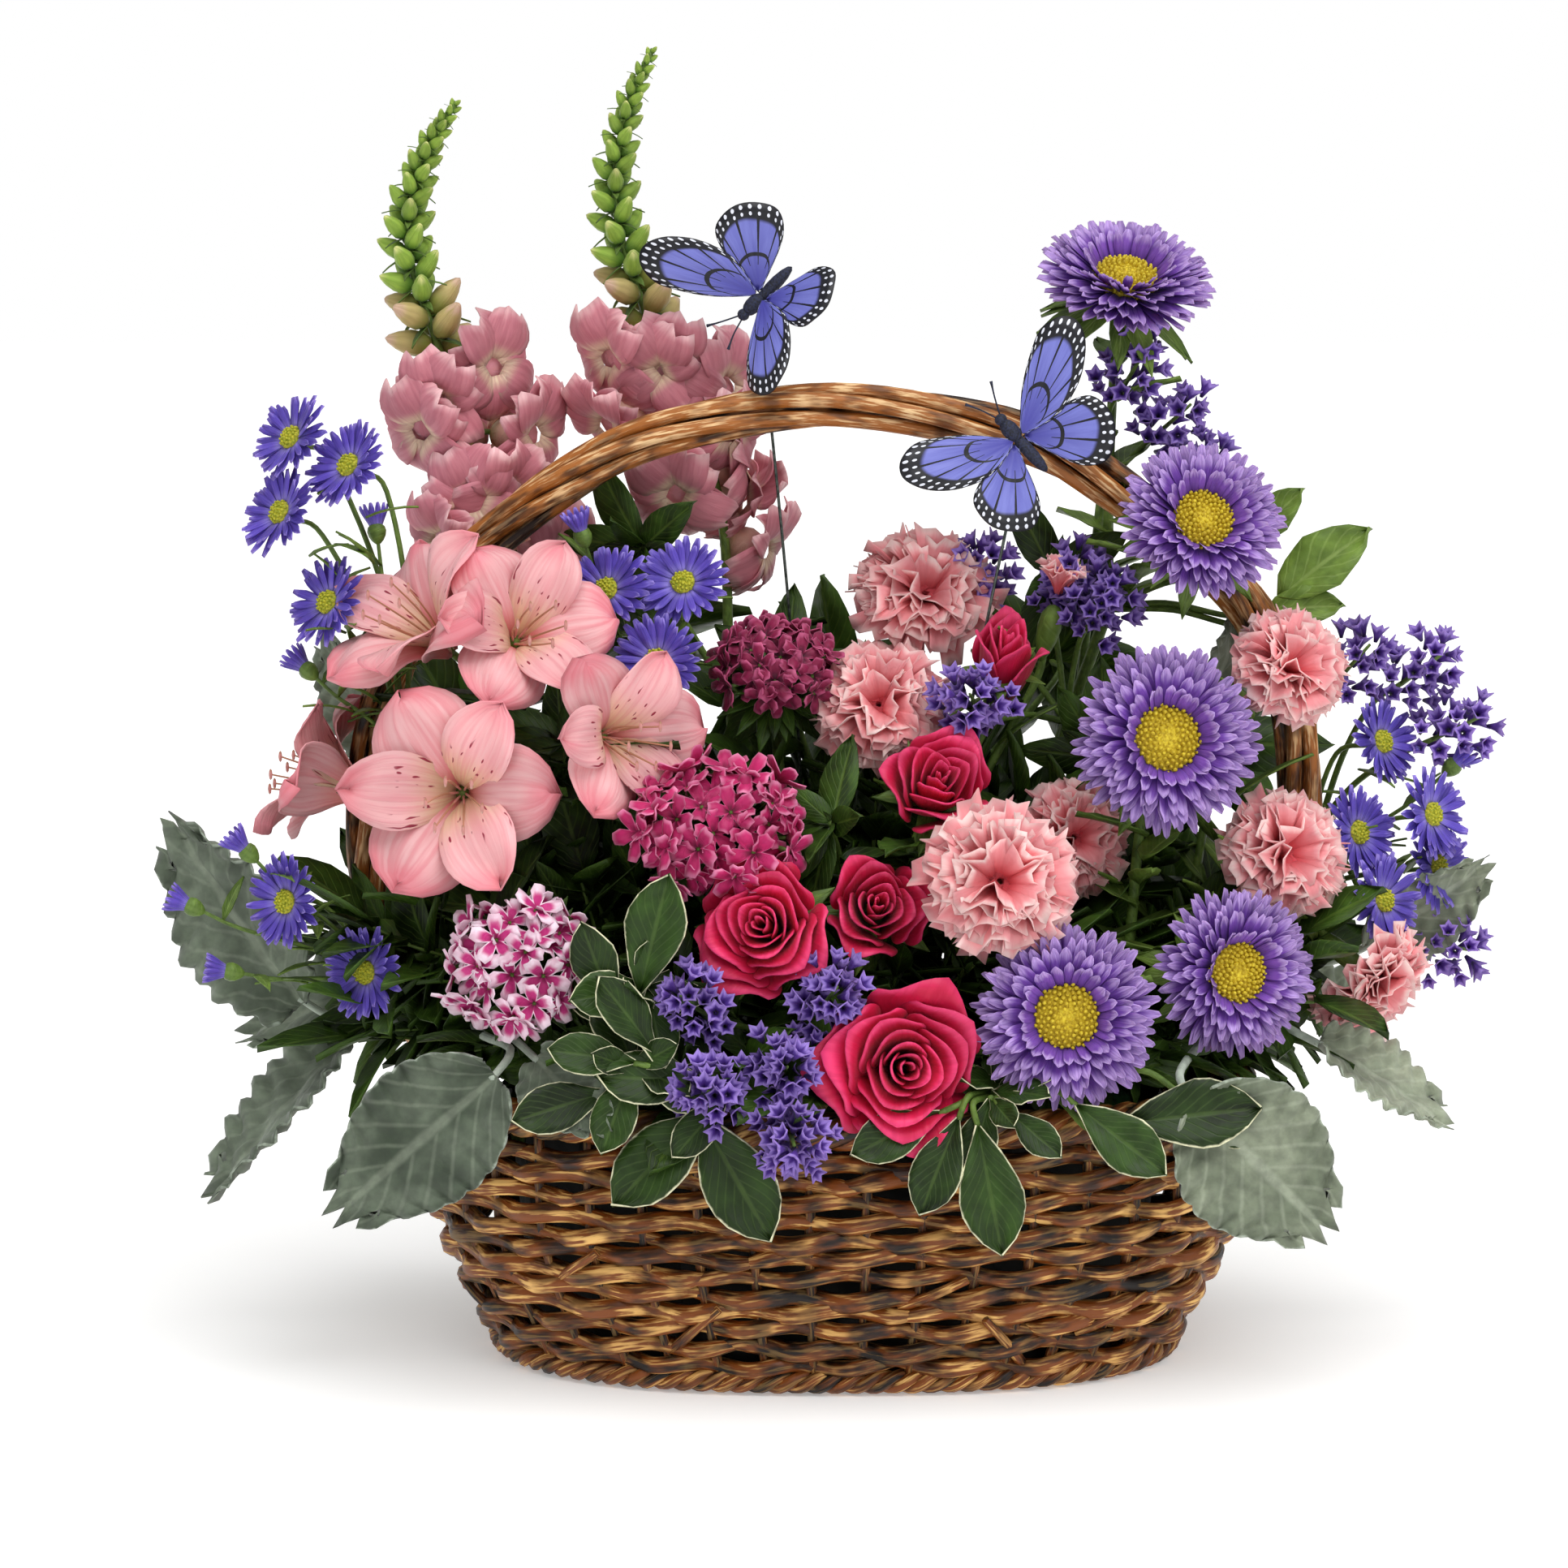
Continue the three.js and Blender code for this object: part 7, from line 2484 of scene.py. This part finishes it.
def build_flowers(kit: Kit) -> None:
    """Builds every flower of the arrangement.

    Args:
        kit: The modelled shapes.
    """
    AsterHeads(kit).build()
    RoseBlooms(kit).build()
    CarnationBlooms(kit).build()
    AlstroemeriaBlooms(kit).build()
    for index, (bloom, foot, finish) in enumerate(PINKS, 1):
        stretch, florets = (1.3, 46) if index == 2 else (1.0, 38)
        SweetWilliam(kit, index, bloom, foot, finish, florets, stretch).build()
    SnapdragonSpike(kit, "snapdragon_1", (
        (-80, 34, 102), (-106, 33, 180), (-114, 30, 250), (-126, 34, 310), (-138, 38, 350),
        (-133, 40, 378), (-122, 40, 397)), (
        (-134, 22, 292), (-109, 25, 313), (-96, 30, 291), (-117, 18, 270), (-89, 18, 253),
        (-112, 48, 288)), (0.5, 0.53, 0.56, 0.59, 0.61, 0.47), 0.64).build()
    SnapdragonSpike(kit, "snapdragon_2", (
        (-27, 30, 102), (-34, 36, 200), (-38, 38, 270), (-60, 42, 325), (-71, 45, 362),
        (-68, 48, 392), (-59, 50, 414)), (
        (-74, 32, 315), (-54, 26, 312), (-34, 36, 307), (-75, 32, 293), (-52, 20, 272),
        (-30, 46, 282)), (0.5, 0.53, 0.56, 0.59, 0.6, 0.47), 0.62).build()
    DaisySpray(kit, "daisy_spray_1", (-82, -10), (-136, -24, 192), (
        (-172, 0, 291), (-153, -10, 283), (-175, -7, 268), (-160, -12, 240)),
        ((-168, -5, 218), (-146, 0, 262))).build()
    DaisySpray(kit, "daisy_spray_2", (-50, -8), (-62, -6, 205), (
        (-72, -22, 245), (-48, -20, 247), (-56, -34, 224)), ((-80, -16, 262),)).build()
    DaisySpray(kit, "daisy_spray_3", (-88, -26), (-140, -34, 118), (
        (-171, -45, 150), (-146, -52, 129)), ((-184, -40, 165), (-203, -30, 146),
                                              (-190, -40, 127))).build()
    DaisySpray(kit, "daisy_spray_4", (86, 8), (150, 16, 140), (
        (165, -14, 167), (189, -8, 172), (172, -24, 147), (174, 2, 194), (192, -2, 154)),
        ((198, 4, 186),)).build()
    StaticeSpray(kit, "statice_1", (-16, -46), (-22, -64, 110), (
        (-44, -92, 126), (-38, -104, 102), (-16, -98, 108), (-3, -90, 128),
        (-14, -108, 88))).build()
    StaticeSpray(kit, "statice_2", (50, 6), (74, 6, 200), (
        (75, 0, 245), (46, 14, 246), (84, -12, 240), (43, -33, 211))).build()
    StaticeSpray(kit, "statice_3", (70, 34), (86, 30, 270), (
        (95, 16, 312), (108, 18, 296), (116, 22, 280)), 30).build()
    StaticeSpray(kit, "statice_4", (90, 26), (158, 24, 165), (
        (166, 8, 219), (188, 8, 217), (199, 6, 198), (196, 2, 128)), 30).build()
    Butterfly(kit, "butterfly_1", (-24, 14, 335), (-0.25, 0.1, -0.3), (-0.35, -0.9, 0.25), 0.5,
              (-8, 22)).build()
    Butterfly(kit, "butterfly_2", (56, -24, 293), (-0.5, -0.1, 0.6), (0.1, -0.95, 0.2), 0.25,
              (34, -8)).build()


# ---------------------------------------------------------------- studio
@dataclass
class Studio:
    """A pale floor, soft lights and the camera."""

    eye: Triple = (-0.0166, -1.4854, 0.3895)
    lens: float = 107.6

    @staticmethod
    def stand(data: bpy.types.ID, place: Triple, turn: Euler) -> bpy.types.Object:
        """Adds a lamp or a camera to the scene.

        Args:
            data: The lamp or camera.
            place: Where it stands.
            turn: How it is turned.

        Returns:
            Its object.
        """
        obj = bpy.data.objects.new(data.name, data)
        obj.location = place
        obj.rotation_euler = turn
        bpy.context.scene.collection.objects.link(obj)
        return obj

    @staticmethod
    def look(way: Sequence[float]) -> Euler:
        """The turn of a lamp that shines along a way."""
        return Vector(way).to_track_quat("-Z", "Y").to_euler()

    @staticmethod
    def floor() -> None:
        """The pale floor under the object."""
        deselect()
        bpy.ops.mesh.primitive_plane_add(size=14, location=(0, 0, 0))
        floor = bpy.context.object
        floor.name = "floor"
        pale = GrainFinish("pale_floor", "#F4F4F3", "#F7F7F6", 8, roughness=0.85,
                           height=0.00001).material()
        Graph(pale.node_tree).feed(pale.node_tree.nodes["Principled BSDF"], {
            "Specular IOR Level": 0.0, "Emission Color": (1, 1, 1, 1), "Emission Strength": 0.3})
        floor.data.materials.append(pale)

    def lights(self) -> None:
        """A broad soft sun from above and in front, and a square lamp at the right."""
        lamp = bpy.data.lights.new("side", "AREA")
        lamp.size = 1.6
        lamp.energy = 7
        place = Vector((1.0, -1.3, 1.2))
        self.stand(lamp, place, self.look(Vector((0, 0, 0.12)) - place))
        sun = bpy.data.lights.new("key", "SUN")
        sun.energy = 1.85
        sun.angle = math.radians(60)
        self.stand(sun, (0, 0, 0), self.look((-0.1, 0.36, -1.0)))

    @staticmethod
    def surround() -> None:
        """White to the camera, and a weaker light all round."""
        world = bpy.data.worlds.new("surround")
        world.use_nodes = True
        graph = Graph(world.node_tree)
        seen = graph.put("ShaderNodeLightPath", {}, out="Is Camera Ray")
        graph.feed(world.node_tree.nodes["Background"], {
            "Color": (1, 1, 1, 1), "Strength": graph.span(seen, 0, 1, 0.4, 1.0)})
        bpy.context.scene.world = world

    def build(self) -> None:
        """Builds the floor, the lights, the surround and the camera."""
        self.floor()
        self.lights()
        self.surround()
        camera = bpy.data.cameras.new("camera")
        camera.lens = self.lens
        camera.sensor_width = 36
        camera.clip_end = 100
        bpy.context.scene.camera = self.stand(camera, self.eye, Euler((math.radians(82), 0, 0)))
        bpy.context.scene.view_settings.view_transform = "Standard"


def main() -> None:
    """Builds the object, then the studio."""
    kit = Kit()
    WickerBasket().build()
    TwistedHandle().build()
    Filling.build()
    build_flowers(kit)
    build_foliage(kit)
    Studio().build()


if __name__ == "__main__":
    logging.basicConfig(level=logging.INFO, format="%(message)s")
    main()
